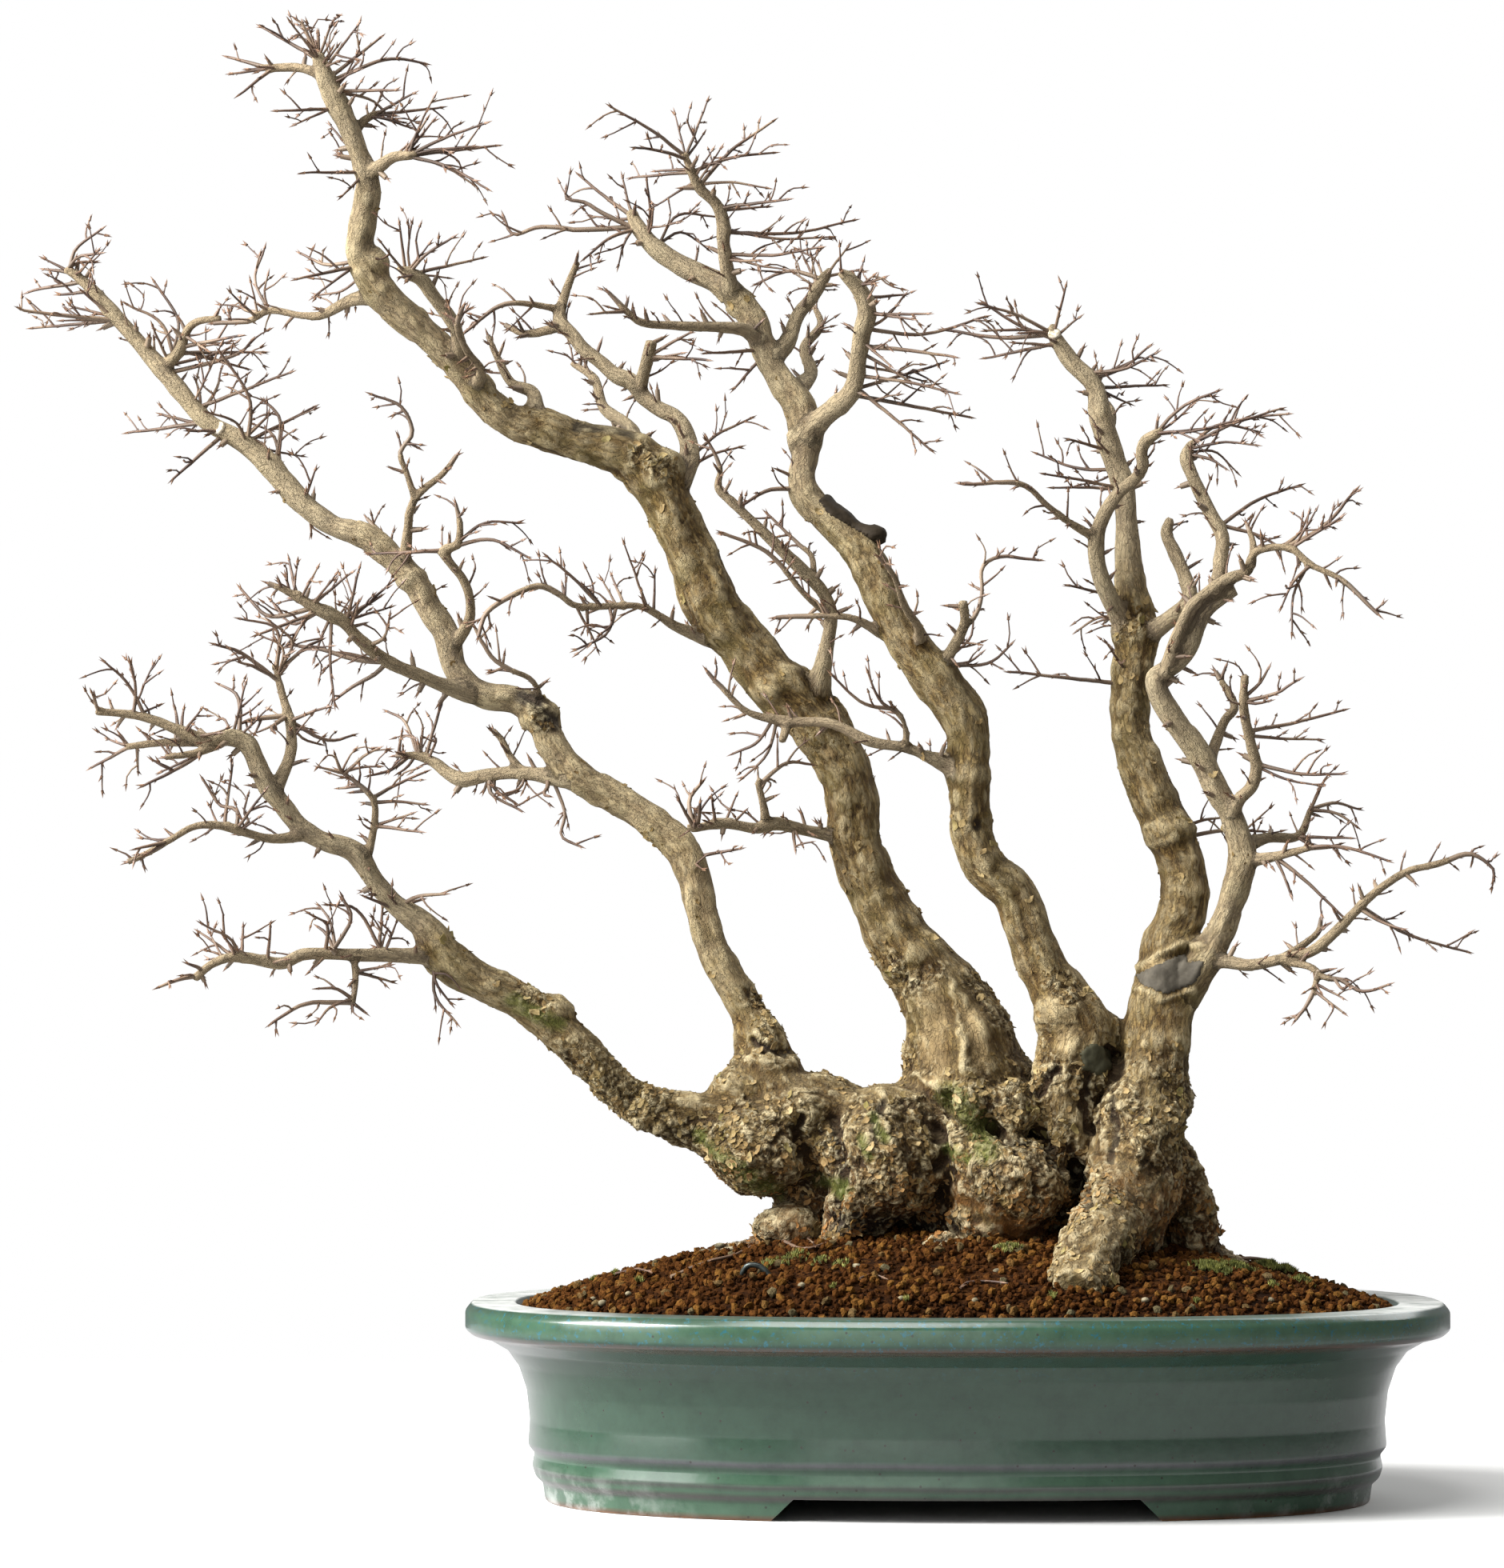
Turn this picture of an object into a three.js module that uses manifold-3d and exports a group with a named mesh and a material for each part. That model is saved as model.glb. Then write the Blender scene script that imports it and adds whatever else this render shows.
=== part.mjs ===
// A Korean hornbeam bonsai: five leaning trunks on one burled base, in soil, in a glazed oval pot.
// Millimetres, +Z up, the long way of the pot along X, the viewing side towards -Y.
import * as THREE from 'three';
import { mergeVertices } from 'three/addons/utils/BufferGeometryUtils.js';
import Module from 'manifold-3d';

const wasm = await Module();
wasm.setup();

// Driving dimensions of the pot
const potLength = 610;
const potDepth = 460;
const potHeight = 122;
const ovalPower = 2.4; // 2 is a true ellipse, more is squarer
const lipWidth = 33;
const footHeight = 13.5;
const footRingWidth = 18;
const floorThickness = 12;
const footGapTop = 205; // length of the opening in the foot ring, front and back
const footGapBottom = 234;
const drainHoleRadius = 18;
const drainHoleOffset = 130; // from the middle of the pot, each way
const potSides = 48;

// Driving dimensions of the filling
const soilEdgeBelowLip = 5;
const soilRise = 46; // from the edge to the middle of the mound
const screenSize = 52;
const screenThickness = 1.6;
const screenHole = 9;
const screenHolesPerRow = 3;
const wireRadius = 1.75;

const gap = 0.35; // between neighbouring pieces
const pasteThickness = 1.8;

// The limbs are drawn in a front elevation, as seen from this point. A station in front of the
// middle plane is drawn in towards the sight line, and one behind it is let out.
const eyeDistance = 3500;
const eyeX = -127;
const eyeZ = 305;

function place(x, z, y) {
  const k = (eyeDistance + y) / eyeDistance;
  return new THREE.Vector3(eyeX + (x - eyeX) * k, y, eyeZ + (z - eyeZ) * k);
}

// A small seeded generator, so that every build grows the same twigs
let seed = 4217;
function random() {
  seed = (seed * 16807) % 2147483647;
  return seed / 2147483647;
}

// Geometry to solid and back
function solid(geometry) {
  geometry.deleteAttribute('normal');
  geometry.deleteAttribute('uv');
  const merged = mergeVertices(geometry, 1e-4);
  const index = merged.index.array;
  const kept = [];
  for (let i = 0; i < index.length; i += 3) {
    const [a, b, c] = [index[i], index[i + 1], index[i + 2]];
    if (a !== b && b !== c && c !== a) kept.push(a, b, c);
  }
  return new wasm.Manifold(new wasm.Mesh({
    numProp: 3,
    vertProperties: new Float32Array(merged.attributes.position.array),
    triVerts: new Uint32Array(kept),
  }));
}

function geometryOf(body) {
  const mesh = body.getMesh();
  const geometry = new THREE.BufferGeometry();
  geometry.setAttribute('position', new THREE.BufferAttribute(mesh.vertProperties, 3));
  geometry.setIndex(new THREE.BufferAttribute(mesh.triVerts, 1));
  geometry.computeVertexNormals();
  return geometry;
}

function join(bodies) {
  let rest = bodies;
  while (rest.length > 1) {
    const next = [];
    for (let i = 0; i < rest.length; i += 2) {
      next.push(i + 1 < rest.length ? rest[i].add(rest[i + 1]) : rest[i]);
    }
    rest = next;
  }
  return rest[0];
}

// Oval of the pot: the wall keeps one thickness all round, so the narrow way is the long way less
// a constant, and towards the middle of the floor it closes in proportion.
const ovalDifference = (potLength - potDepth) / 2;
const ovalInner = 200;

function ovalDepth(r) {
  if (r > ovalInner) return r - ovalDifference;
  return r * (ovalInner - ovalDifference) / ovalInner;
}

function ovalPoint(r, angle) {
  const c = Math.cos(angle);
  const s = Math.sin(angle);
  const x = r * Math.sign(c) * Math.abs(c) ** (2 / ovalPower);
  const y = ovalDepth(r) * Math.sign(s) * Math.abs(s) ** (2 / ovalPower);
  return [x, y];
}

function ovalSolid(profile, sides) {
  const points = profile.map(([r, z]) => new THREE.Vector2(r, z));
  const geometry = new THREE.LatheGeometry(points, sides);
  geometry.rotateX(Math.PI / 2);
  const position = geometry.attributes.position;
  for (let i = 0; i < position.count; i += 1) {
    const r = Math.hypot(position.getX(i), position.getY(i));
    const angle = Math.atan2(position.getY(i), position.getX(i));
    const [x, y] = ovalPoint(r, angle);
    position.setXY(i, r < 0.01 ? 0 : x, r < 0.01 ? 0 : y);
  }
  return solid(geometry);
}

// Pot: outside from the foot up, over the lip, down the inside and under the floor
function makePot() {
  const half = potLength / 2;
  const innerFloor = footHeight + floorThickness;
  const profile = [
    [0, footHeight],
    [half - 68, footHeight],
    [half - 49.5 - footRingWidth, 0],
    [half - 49.5, 0],
    [half - 48, 11],
    [half - 43.5, 15],
    [half - 41.5, 21],
    [half - 43, 29],
    [half - 39, 34],
    [half - 40, 50],
    [half - 38, 68],
    [half - 33, 83],
    [half - 26, 93],
    [half - 14, 100],
    [half - 4, 102.5],
    [half, 106],
    [half, 117],
    [half - 4, potHeight],
    [half - lipWidth + 2, potHeight],
    [half - lipWidth, potHeight - 2],
    [half - lipWidth - 4, 112],
    [half - 49, 85],
    [half - 54, 55],
    [half - 60, 34],
    [half - 78, innerFloor],
    [0, innerFloor],
  ];
  let body = ovalSolid(profile, potSides);
  const opening = new THREE.Shape();
  opening.moveTo(-footGapBottom / 2, -1);
  opening.lineTo(footGapBottom / 2, -1);
  opening.lineTo(footGapTop / 2, footHeight);
  opening.lineTo(-footGapTop / 2, footHeight);
  const through = new THREE.ExtrudeGeometry(opening, { depth: potDepth, bevelEnabled: false });
  through.translate(0, 0, -potDepth / 2);
  through.rotateX(Math.PI / 2);
  body = body.subtract(solid(through));
  for (const side of [-1, 1]) {
    const drill = new THREE.CylinderGeometry(drainHoleRadius, drainHoleRadius, 40, 20);
    drill.rotateX(Math.PI / 2);
    drill.translate(side * drainHoleOffset, 0, footHeight + floorThickness / 2);
    body = body.subtract(solid(drill));
  }
  return body;
}

// Limbs, each a list of stations: across, up, radius and depth, from the thick end to the tip.
// The first letter is the trunk that they grow from, counted from the left.
const limbs = {
  trunkA: [
    [-112, 222, 30, 2], [-135, 228, 24, 0], [-158, 234, 17, -3], [-188, 240, 14, -8], [-210, 251, 13, -12],
    [-223, 266, 13, -15], [-248, 291, 12.5, -20], [-273, 309, 12, -25], [-298, 321, 12, -30],
    [-318, 335, 13, -34], [-332, 355, 9, -38], [-350, 368, 7, -42], [-362, 382, 6.4, -45],
    [-376, 402, 7, -50], [-396, 408.5, 6, -54], [-410, 417.5, 6.4, -57], [-421, 431, 6, -60],
    [-430, 442, 6.4, -63], [-437, 457, 6, -66], [-443, 469, 6.4, -68], [-454, 473, 5.5, -70],
    [-468, 471, 5, -72], [-485, 477, 3.8, -75], [-502, 484, 3, -77], [-518, 487.5, 2.6, -79],
    [-538, 489, 2.4, -81],
  ],
  branchA1: [
    [-424, 442, 5, -61], [-415.5, 463, 3.8, -52], [-416, 482, 3.2, -46], [-421, 500, 2.6, -42],
    [-425, 516, 2, -40],
  ],
  branchA2: [
    [-404, 412, 4.5, -56], [-428, 409.5, 3.1, -68], [-446, 414, 2.8, -76], [-462, 418, 2.7, -82],
    [-476, 417, 2.4, -86], [-491, 408.5, 2.2, -90], [-503, 401.5, 2.2, -92], [-517, 395, 1.7, -94],
  ],
  branchA3: [
    [-368, 394, 3.2, -48], [-363, 419.5, 2.3, -58], [-363.5, 433, 2.2, -64], [-372, 443, 1.6, -68],
    [-385, 452, 1, -70],
  ],
  branchA4: [
    [-324, 336, 6, -36], [-345, 336.5, 4.8, -46], [-375, 337, 4.2, -58], [-408, 337, 4, -68],
    [-420, 331.5, 4, -72], [-442, 335, 3.8, -78], [-455, 335, 3.2, -82], [-466, 330, 2.8, -84],
    [-475, 322, 2.6, -86],
  ],
  branchA5: [[-376, 337, 2.4, -58], [-374.5, 321, 2.1, -60], [-376.5, 305, 1.8, -62]],
  branchA6: [[-472, 470, 3.4, -72], [-497, 469.5, 2.7, -66], [-519, 467, 2.3, -62]],
  branchA7: [[-462, 468, 3, -72], [-476, 463, 2.4, -78], [-494, 460.5, 1.8, -82]],

  trunkB: [
    [-116, 245, 26, 8], [-120, 277, 19, 12], [-128, 301, 12.5, 14], [-141, 321, 11, 16],
    [-152.5, 344, 10.5, 19], [-159, 366, 11, 21], [-163.5, 388, 10.5, 24], [-170.5, 404, 11, 26],
    [-186, 417.5, 11, 28], [-208, 433, 10, 31], [-235, 448.5, 10, 34], [-253, 469, 10, 37],
    [-260.5, 488, 11.5, 39], [-274, 496, 9, 40], [-296, 500, 8.5, 42], [-312, 515.5, 8, 44],
    [-318.5, 538, 8.5, 46], [-327.5, 551.5, 8.5, 47], [-338.5, 571.5, 8.5, 48], [-352, 585, 8.5, 49],
    [-366, 597, 8.8, 50], [-378, 602, 8, 50], [-389, 605.5, 6.8, 51], [-408.5, 620, 7, 52],
    [-426.5, 640, 7.3, 54], [-447.5, 659, 6.5, 56], [-469, 671.5, 5.6, 58], [-486.5, 691.5, 5.8, 60],
    [-497.5, 704, 6.4, 61], [-516.5, 726.5, 5, 63], [-530, 741.5, 5.2, 64], [-545, 758, 3.7, 66],
    [-557.5, 767.5, 2.5, 67],
  ],
  branchB1: [
    [-494, 707, 4.2, 60], [-486.5, 715, 3.9, 52], [-481, 729, 3, 46], [-475, 734, 2.7, 43],
    [-460, 736, 2.4, 40],
  ],
  branchB2: [
    [-345, 580, 4.5, 46], [-342.5, 604, 3, 34], [-341.5, 614, 2.8, 30], [-336.5, 625, 2.7, 26],
    [-320, 639, 1.9, 22], [-312, 650, 1.4, 20],
  ],
  branchB2left: [
    [-338, 622, 2.4, 27], [-343.5, 639, 2, 24], [-347.5, 651, 1.7, 22], [-340, 664, 1.6, 20],
    [-347.5, 681, 1.3, 18], [-365, 688, 0.9, 17],
  ],
  branchB3: [
    [-314, 530, 5, 42], [-304, 546.5, 3.4, 32], [-304, 561.5, 3, 26], [-308.5, 573, 3, 22],
    [-316.5, 583, 3, 18], [-320, 590, 4, 16], [-311.5, 594, 2.6, 14], [-310, 606.5, 2.2, 12],
    [-312.5, 619, 1.2, 10],
  ],
  branchB4: [
    [-301, 500, 7, 41], [-322.5, 506.5, 4.7, 28], [-337.5, 513, 4.5, 20], [-350, 518, 4.3, 14],
    [-362.5, 525.5, 4.5, 8], [-375, 536.5, 4, 2], [-382.5, 545, 4, -2], [-391, 550, 5.4, -5],
    [-400, 554, 4.2, -8], [-417, 564, 2.4, -12], [-430, 569.5, 1.5, -14],
  ],
  branchB5: [
    [-242, 447, 7, 33], [-262.5, 450, 5, 46], [-277.5, 451, 4.5, 56], [-295, 449, 4.5, 66],
    [-307.5, 446.5, 5.5, 72], [-317, 450.5, 5, 76], [-325, 457, 4.2, 79], [-337.5, 461.5, 2.8, 82],
    [-350, 461.5, 1.6, 84],
  ],
  branchB5up: [[-270, 451, 3, 50], [-278.5, 461.5, 2.3, 56], [-283.5, 471.5, 2.2, 60], [-289, 477, 1.9, 63]],
  branchB6: [
    [-258, 494, 2.6, 40], [-265, 509, 1.8, 30], [-277.5, 515, 1.7, 24], [-288, 521.5, 1.6, 20],
    [-295, 531, 1.5, 17], [-300, 541, 1.2, 15],
  ],

  trunkC: [
    [3, 175, 34, 8], [10, 208, 41, 8], [10, 236, 42, 9], [5, 264, 40, 10], [-3, 297, 31, 11], [-18.5, 326, 24, 12],
    [-34, 346, 19.5, 12], [-45.5, 366, 18, 12], [-54, 384, 17.5, 12], [-63, 411, 16, 12],
    [-64.5, 433, 16.5, 12], [-70, 455.5, 17, 12], [-85.5, 480, 18.5, 12], [-108, 502.5, 18, 12],
    [-132.5, 531.5, 17.5, 11], [-150, 552, 17.8, 10], [-159, 576, 16.5, 8], [-170, 599, 16.5, 6],
    [-187.5, 634, 16.5, 2], [-200, 648, 16, 0], [-217.5, 655, 15, -2], [-237.5, 659, 13, -5],
    [-257.5, 666, 12.5, -8], [-277.5, 671, 11, -11], [-292.5, 683, 11, -14], [-305, 699, 10, -17],
    [-317.5, 713, 9.5, -20], [-337.5, 731.5, 9.5, -24], [-357.5, 750, 10, -28], [-367.5, 764, 10, -30],
    [-373.5, 780, 9, -32], [-371, 796, 8.5, -34], [-368, 820, 7.7, -37], [-374, 840, 6.5, -40],
    [-382, 860, 6.8, -42], [-389, 874, 7.3, -43], [-394, 885, 6.8, -44], [-400, 902, 4, -45],
  ],
  branchC1: [
    [-361, 750, 7, -28], [-377.5, 748, 4.2, -18], [-387.5, 743, 3.6, -12], [-397.5, 738, 2.9, -6],
    [-410, 738, 2.4, 0], [-430, 741, 2.5, 9], [-441.5, 735, 1.9, 13], [-465, 733, 1.2, 20],
  ],
  branchC2: [
    [-309, 703, 6.5, -18], [-310, 714, 5.2, -26], [-311.5, 724, 4.7, -32], [-315, 734, 4.8, -37],
    [-327.5, 751, 4.5, -46], [-335, 761.5, 4.5, -51], [-346, 765, 4, -54],
  ],
  branchC3: [
    [-172, 632, 8, 4], [-166, 649, 6.5, 14], [-168.5, 664, 6, 22], [-175, 674, 5.5, 27], [-185, 679, 5, 31],
    [-195, 686.5, 5, 35], [-202.5, 696, 5.5, 39], [-212.5, 700, 5.3, 42], [-222.5, 709, 4.6, 46],
    [-232.5, 716.5, 4.5, 49], [-240, 726.5, 4.5, 53], [-247.5, 734, 4.8, 56], [-244.5, 751, 3, 61],
    [-236.5, 772, 2.2, 66],
  ],
  branchC3left: [[-246, 731, 3.4, 55], [-270, 726.5, 2.5, 64], [-282, 732, 1.7, 68]],
  branchC3thin: [[-246, 742, 2.4, 58], [-282.5, 745, 1.6, 50], [-307.5, 727, 0.9, 46]],
  branchC3stub: [[-198, 689, 5, 36], [-194, 705, 4.2, 30], [-190, 722, 4, 25]],
  branchC4: [
    [-88, 497, 12, 10], [-83, 514, 6.4, 0], [-80, 530, 4.6, -6], [-77.5, 551, 4.4, -12],
    [-82.5, 564, 4.2, -15], [-92.5, 575, 4.4, -18], [-105, 587, 4, -21], [-125, 606.5, 3.3, -25],
    [-140, 621, 3, -28], [-148, 629, 2.6, -29], [-147, 642, 1.8, -30], [-155, 660, 0.9, -31],
  ],
  branchC4low: [[-78, 549, 3, -12], [-92.5, 561, 1.8, -22], [-117.5, 589, 1.6, -33], [-145, 601, 1.1, -40]],
  branchC4side: [[-88, 572, 2.4, -17], [-90, 587, 1.9, -8], [-97.5, 594, 1.6, -4], [-117, 613, 0.9, 2]],
  branchC5: [[-263.5, 672, 8, -9], [-264, 689, 4.5, -2], [-277.5, 695, 3.2, 6], [-286.5, 711, 2.4, 12],
    [-292.5, 725, 1.8, 16]],
  branchC6: [[-394, 888, 4, -44], [-410, 894, 3.1, -38], [-432.5, 894, 2.8, -30]],
  branchC7: [[-370, 826, 6, -38], [-361, 832, 4.4, -46], [-352, 838, 3.6, -52], [-341, 839, 2.8, -58]],
  branchC8: [[-379, 851, 4, -41], [-370, 861.5, 2.7, -34], [-363, 865, 2.3, -30]],
  branchC9: [
    [-152, 534, 6, 9], [-175, 542.5, 3.4, -2], [-185, 549, 2.8, -8], [-197, 555, 2.4, -14],
    [-237.5, 555.5, 2.2, -30], [-247, 562, 2, -34], [-260, 568, 2, -38], [-277.5, 561.5, 1.8, -43],
    [-294, 550, 1.5, -47], [-298, 536.5, 1.2, -49],
  ],
  branchC10: [
    [-68, 410, 6, 10], [-92.5, 414.5, 3.8, -2], [-113, 419, 4.6, -12], [-123, 416, 3.8, -17],
    [-145, 419, 3.5, -26], [-165, 415.5, 2.3, -33],
  ],
  branchC10up: [[-118, 418, 3.4, -14], [-120, 431, 2.4, -20], [-123.5, 445, 1.9, -25]],

  trunkD: [
    [70, 205, 16, -20], [67.5, 239, 21, -18], [69.5, 267.5, 22, -14], [77, 289, 21, -10], [66, 310, 18.5, -8],
    [55, 328, 15.5, -8], [46, 350, 14, -9], [35, 377, 14, -11], [19.5, 391, 14, -13], [10.5, 411, 13, -15],
    [8.5, 433, 12.5, -17], [8.5, 455.5, 13.5, -18], [6, 482, 15, -19], [-9.5, 507, 15, -19],
    [-29.5, 531.5, 13.5, -18], [-43, 556, 12.5, -16], [-52, 578, 12.5, -14], [-60, 591.5, 12, -12],
    [-72.5, 604, 11, -9], [-92.5, 624, 9.5, -5], [-96, 636, 8.3, -3], [-94, 648, 8.6, -1],
    [-94, 664, 9.6, 2], [-98, 681.5, 9.5, 6], [-107, 694, 9, 9], [-117.5, 711.5, 8.4, 13],
    [-125, 734, 9, 18], [-135, 746.5, 9, 21], [-145, 756.5, 8, 24], [-167.5, 767, 7, 29],
    [-188, 780.5, 6, 34], [-200, 796.5, 4.8, 39], [-203, 804, 3.8, 41],
  ],
  branchD1: [
    [-97, 660, 8.5, 1], [-82.5, 674, 7, -8], [-65, 689, 6, -18], [-60, 714, 5.4, -28], [-58, 728, 6.2, -33],
    [-55, 738, 6.2, -36], [-57, 750, 5.6, -40], [-66, 761.5, 4.6, -44], [-72, 765.5, 2.8, -46],
  ],
  branchD2: [
    [-138, 747, 7, 21], [-142, 762, 4.8, 14], [-145, 784, 4.5, 6], [-145, 797, 5, 2], [-150, 809, 3.6, -2],
    [-160, 818, 3.5, -6], [-166, 831.5, 2.8, -10], [-170, 840, 1.8, -12],
  ],
  branchD3: [
    [-122, 722, 6, 14], [-132.5, 729, 4.5, 4], [-147.5, 730.5, 3.6, -6], [-175, 731.5, 3, -20],
    [-197.5, 734, 2.5, -30], [-207, 742, 2.2, -34], [-217.5, 753, 1.2, -38],
  ],
  branchD4: [
    [-114, 711, 7, 12], [-105, 721, 6, 22], [-97.5, 739, 4.6, 33], [-90, 748, 4.4, 38], [-80, 764, 3.6, 46],
  ],
  branchD5: [
    [3, 452, 7, -20], [-17.5, 461.5, 4.2, -28], [-30, 466.5, 3.7, -31], [-52, 470, 3.5, -33],
    [-77.5, 481.5, 3.2, -32], [-105, 483, 3.6, -30], [-130, 489, 2, -34], [-147.5, 506, 1.6, -38],
    [-155, 514, 1.2, -40],
  ],
  branchD5up: [[-30, 465, 2.8, -31], [-31.5, 482, 2.1, -38], [-39, 492, 1.7, -42]],
  branchD5down: [[-104, 483, 3.4, -30], [-108.5, 470, 2.5, -36]],
  branchD6: [[-10, 515, 6, -19], [-3, 526, 3.8, -30], [6, 544.5, 3.4, -42], [5, 558, 3.3, -50]],
  branchD6thin: [[6, 543, 2.4, -42], [12, 548, 1.8, -38], [17, 562, 1.5, -34], [17.5, 580, 1.4, -30],
    [28, 586, 1.2, -28], [52, 584, 0.9, -24]],
  branchD7: [[-46, 538, 4, -18], [-62.5, 547, 2.3, -26], [-75, 549, 2.1, -28], [-112, 548, 1.3, -28]],

  trunkE: [
    [100, 146, 20, -34], [104, 168, 26, -38], [110, 193, 29, -36], [113, 216, 27.5, -31], [117.5, 238.5, 26, -25],
    [124, 261, 22.5, -19], [126.5, 283, 21.5, -14], [128.5, 305.5, 20, -10], [131.5, 322, 18, -7],
    [133.5, 344, 16, -4], [141, 361, 15, -1], [143.5, 376, 15, 1], [141.5, 394, 15, 3], [134, 414, 15.5, 6],
    [125, 434, 14.5, 9], [117.5, 454, 14, 12], [110, 474, 12.5, 15], [109, 489, 13, 17], [110, 509, 12, 19],
    [114.5, 536, 14, 21], [112.5, 554, 12.6, 22], [110, 569, 10, 23], [108.5, 584, 8.5, 24],
    [107.5, 614, 7.1, 27], [106, 630, 7.4, 28], [100, 647, 7, 30], [92, 673, 7.8, 33], [87.5, 694, 6, 35],
    [73, 709, 5.8, 38], [61, 728, 4, 41],
  ],
  branchE2: [
    [106, 545, 8, 18], [97, 561, 6, 6], [90, 579, 5.5, 0], [88.5, 595, 5.4, -3], [92, 609, 4.9, -6],
    [102.5, 626, 4.5, -11], [113, 635, 4, -14], [118, 643, 4, -17], [117, 652, 4, -20], [120, 659, 4.3, -23],
    [127.5, 664, 3.6, -27],
  ],
  branchE2left: [
    [88, 598, 3.2, -4], [70, 609, 2.2, -14], [57.5, 619, 2, -20], [42.5, 631.5, 1.8, -27], [6, 631.5, 0.9, -40],
  ],
  branchE3: [
    [131, 512, 4.6, -30], [140, 539, 3.8, -36], [148, 555, 4, -37], [160, 565, 4, -36], [171, 572, 3.9, -35],
    [183, 577, 3.4, -34], [188, 589, 2.7, -38], [210, 591.5, 2.4, -48], [222.5, 581.5, 2.2, -54],
    [242.5, 571.5, 1.9, -62], [265, 550, 1.1, -72],
  ],
  branchE4: [
    [118, 536, 8, 18], [133, 546, 5.4, 8], [147, 559, 5, 2], [144, 574, 4.5, 8], [137.5, 589, 4.3, 14],
    [132.5, 601, 4, 19], [135, 610, 2.8, 22],
  ],
  branchE5: [
    [160, 561, 4.6, -34], [165, 574, 4.5, -26], [166.5, 585, 4.9, -20], [167.5, 599, 4.6, -14],
    [160, 614, 4.7, -7], [149, 637, 4.4, 3], [145, 649, 4.4, 8], [149, 658, 2.6, 12],
  ],
  branchE6: [[186, 580, 2.9, -36], [187, 594, 2.2, -28], [183, 607, 1.7, -22]],

  trunkF: [
    [138, 306, 12, -14], [147.5, 321.5, 11, -16], [157.5, 336, 10, -18], [163, 347, 8.3, -19], [170, 364, 8.5, -20],
    [175.5, 380, 9.4, -21], [179.5, 395, 9.3, -22], [177.5, 409, 8, -22], [172, 425, 7.6, -21],
    [162.5, 442, 8.2, -21], [154, 460, 8.2, -21], [140, 479, 7.4, -22], [128, 499, 7, -23], [126, 510, 6.8, -24],
    [134, 516, 6.4, -27], [142.5, 523, 6, -29], [148, 536, 6.8, -30], [153, 549, 6, -30],
    [162.5, 559, 6, -30], [175, 566.5, 5.4, -30],
  ],
  branchF1: [
    [171, 418, 5.6, -22], [177.5, 434, 4, -30], [185, 441.5, 4, -34], [188.5, 454, 3.9, -39],
    [185, 469, 3.6, -44], [180.5, 492, 3.2, -51], [181.5, 512, 2.2, -57],
  ],
  branchF2: [[158, 455, 5, -21], [162.5, 468, 3.8, -10], [169, 484, 3, -2], [175, 492, 2.8, 2], [163, 514, 1.7, 9]],
  branchF3: [[178, 404, 6, -22], [195, 410, 3.7, -8], [215, 411.5, 3, 6], [222.5, 429, 1.8, 14]],
  branchF4: [[181, 395, 5, -22], [202.5, 399, 3, -36], [222.5, 404, 1.8, -46]],
  branchG: [
    [152, 331, 7, -17], [166, 333, 4.6, -24], [182.5, 330.5, 3.8, -32], [202.5, 334, 3.7, -41],
    [222.5, 339, 3.6, -49], [235, 349, 3.5, -53], [247.5, 361.5, 3.3, -56], [260, 374, 3, -58],
    [282.5, 389, 2.4, -61], [302.5, 394, 2, -63], [322.5, 400, 1.5, -64], [341.5, 386.5, 0.8, -66],
  ],
  branchG2: [[203, 334, 3.2, -41], [218.5, 344, 2.4, -30], [227, 352, 2, -24], [228.5, 360, 1.4, -22]],
  branchG3: [[205, 333, 3, -42], [222.5, 329, 2.3, -56], [230, 323, 2, -62], [242.5, 321.5, 1.3, -66]],
  branchG4: [[227, 327, 2, -60], [222, 310, 1.6, -64], [212.5, 296.5, 1, -66]],

  // Branches that grow back and forward, hardly seen from the front
  branchB7: [[-330, 553, 5, 50], [-336, 566, 4, 72], [-350, 578, 3.2, 96], [-356, 596, 2.4, 116], [-368, 610, 1.5, 130]],
  branchC11: [[-196, 650, 8, 8], [-205, 668, 5, 34], [-220, 680, 4, 58], [-226, 698, 3.2, 80], [-240, 708, 2, 98]],
  branchC12: [[-300, 692, 7, -20], [-296, 704, 4.6, -46], [-306, 716, 3.6, -70], [-312, 732, 2.6, -90], [-308, 744, 1.5, -104]],
  branchD8: [[-24, 525, 8, -20], [-24, 541, 4.6, -44], [-34, 556, 3.8, -66], [-38, 574, 3, -86], [-48, 586, 1.8, -102]],
  branchD9: [[-100, 690, 7, 10], [-90, 702, 4.6, 34], [-94, 718, 3.6, 56], [-84, 732, 2.6, 76], [-88, 744, 1.6, 90]],
  branchE7: [[112, 505, 8, 22], [104, 520, 5, 46], [108, 536, 4, 70], [98, 550, 3, 90], [102, 564, 1.8, 106]],
  branchE8: [[95, 664, 5, 34], [98, 676, 3.6, 56], [90, 690, 2.8, 76], [92, 704, 1.6, 90]],

  // Roots
  rootA: [[-95, 178, 20, 12], [-106, 166, 17, 12], [-122, 155, 10, 13], [-142, 149, 7.5, 12], [-168, 138, 5, 10]],
  rootB: [[-62, 196, 16, -18], [-72, 176, 12, -26], [-75, 158, 10.5, -30], [-76, 138, 9, -32], [-78, 118, 6, -34]],
  rootC: [[0, 180, 32, 8], [0, 155, 28, 8], [0, 125, 20, 8], [0, 100, 10, 8]],
  rootD: [[40, 180, 22, -20], [40, 160, 18, -24], [40, 138, 14, -26], [40, 116, 8, -28]],
  rootE: [[104, 186, 25, -44], [96, 170, 22, -56], [84, 155, 19.5, -68], [70, 142, 17, -78], [60, 126, 12, -86],
    [54, 112, 7, -92]],
  rootF: [[128, 214, 18, -20], [142, 196, 16, -14], [151, 176, 15.5, -10], [153, 156, 14, -8], [152, 132, 10, -6],
    [151, 112, 6, -4]],
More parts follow.
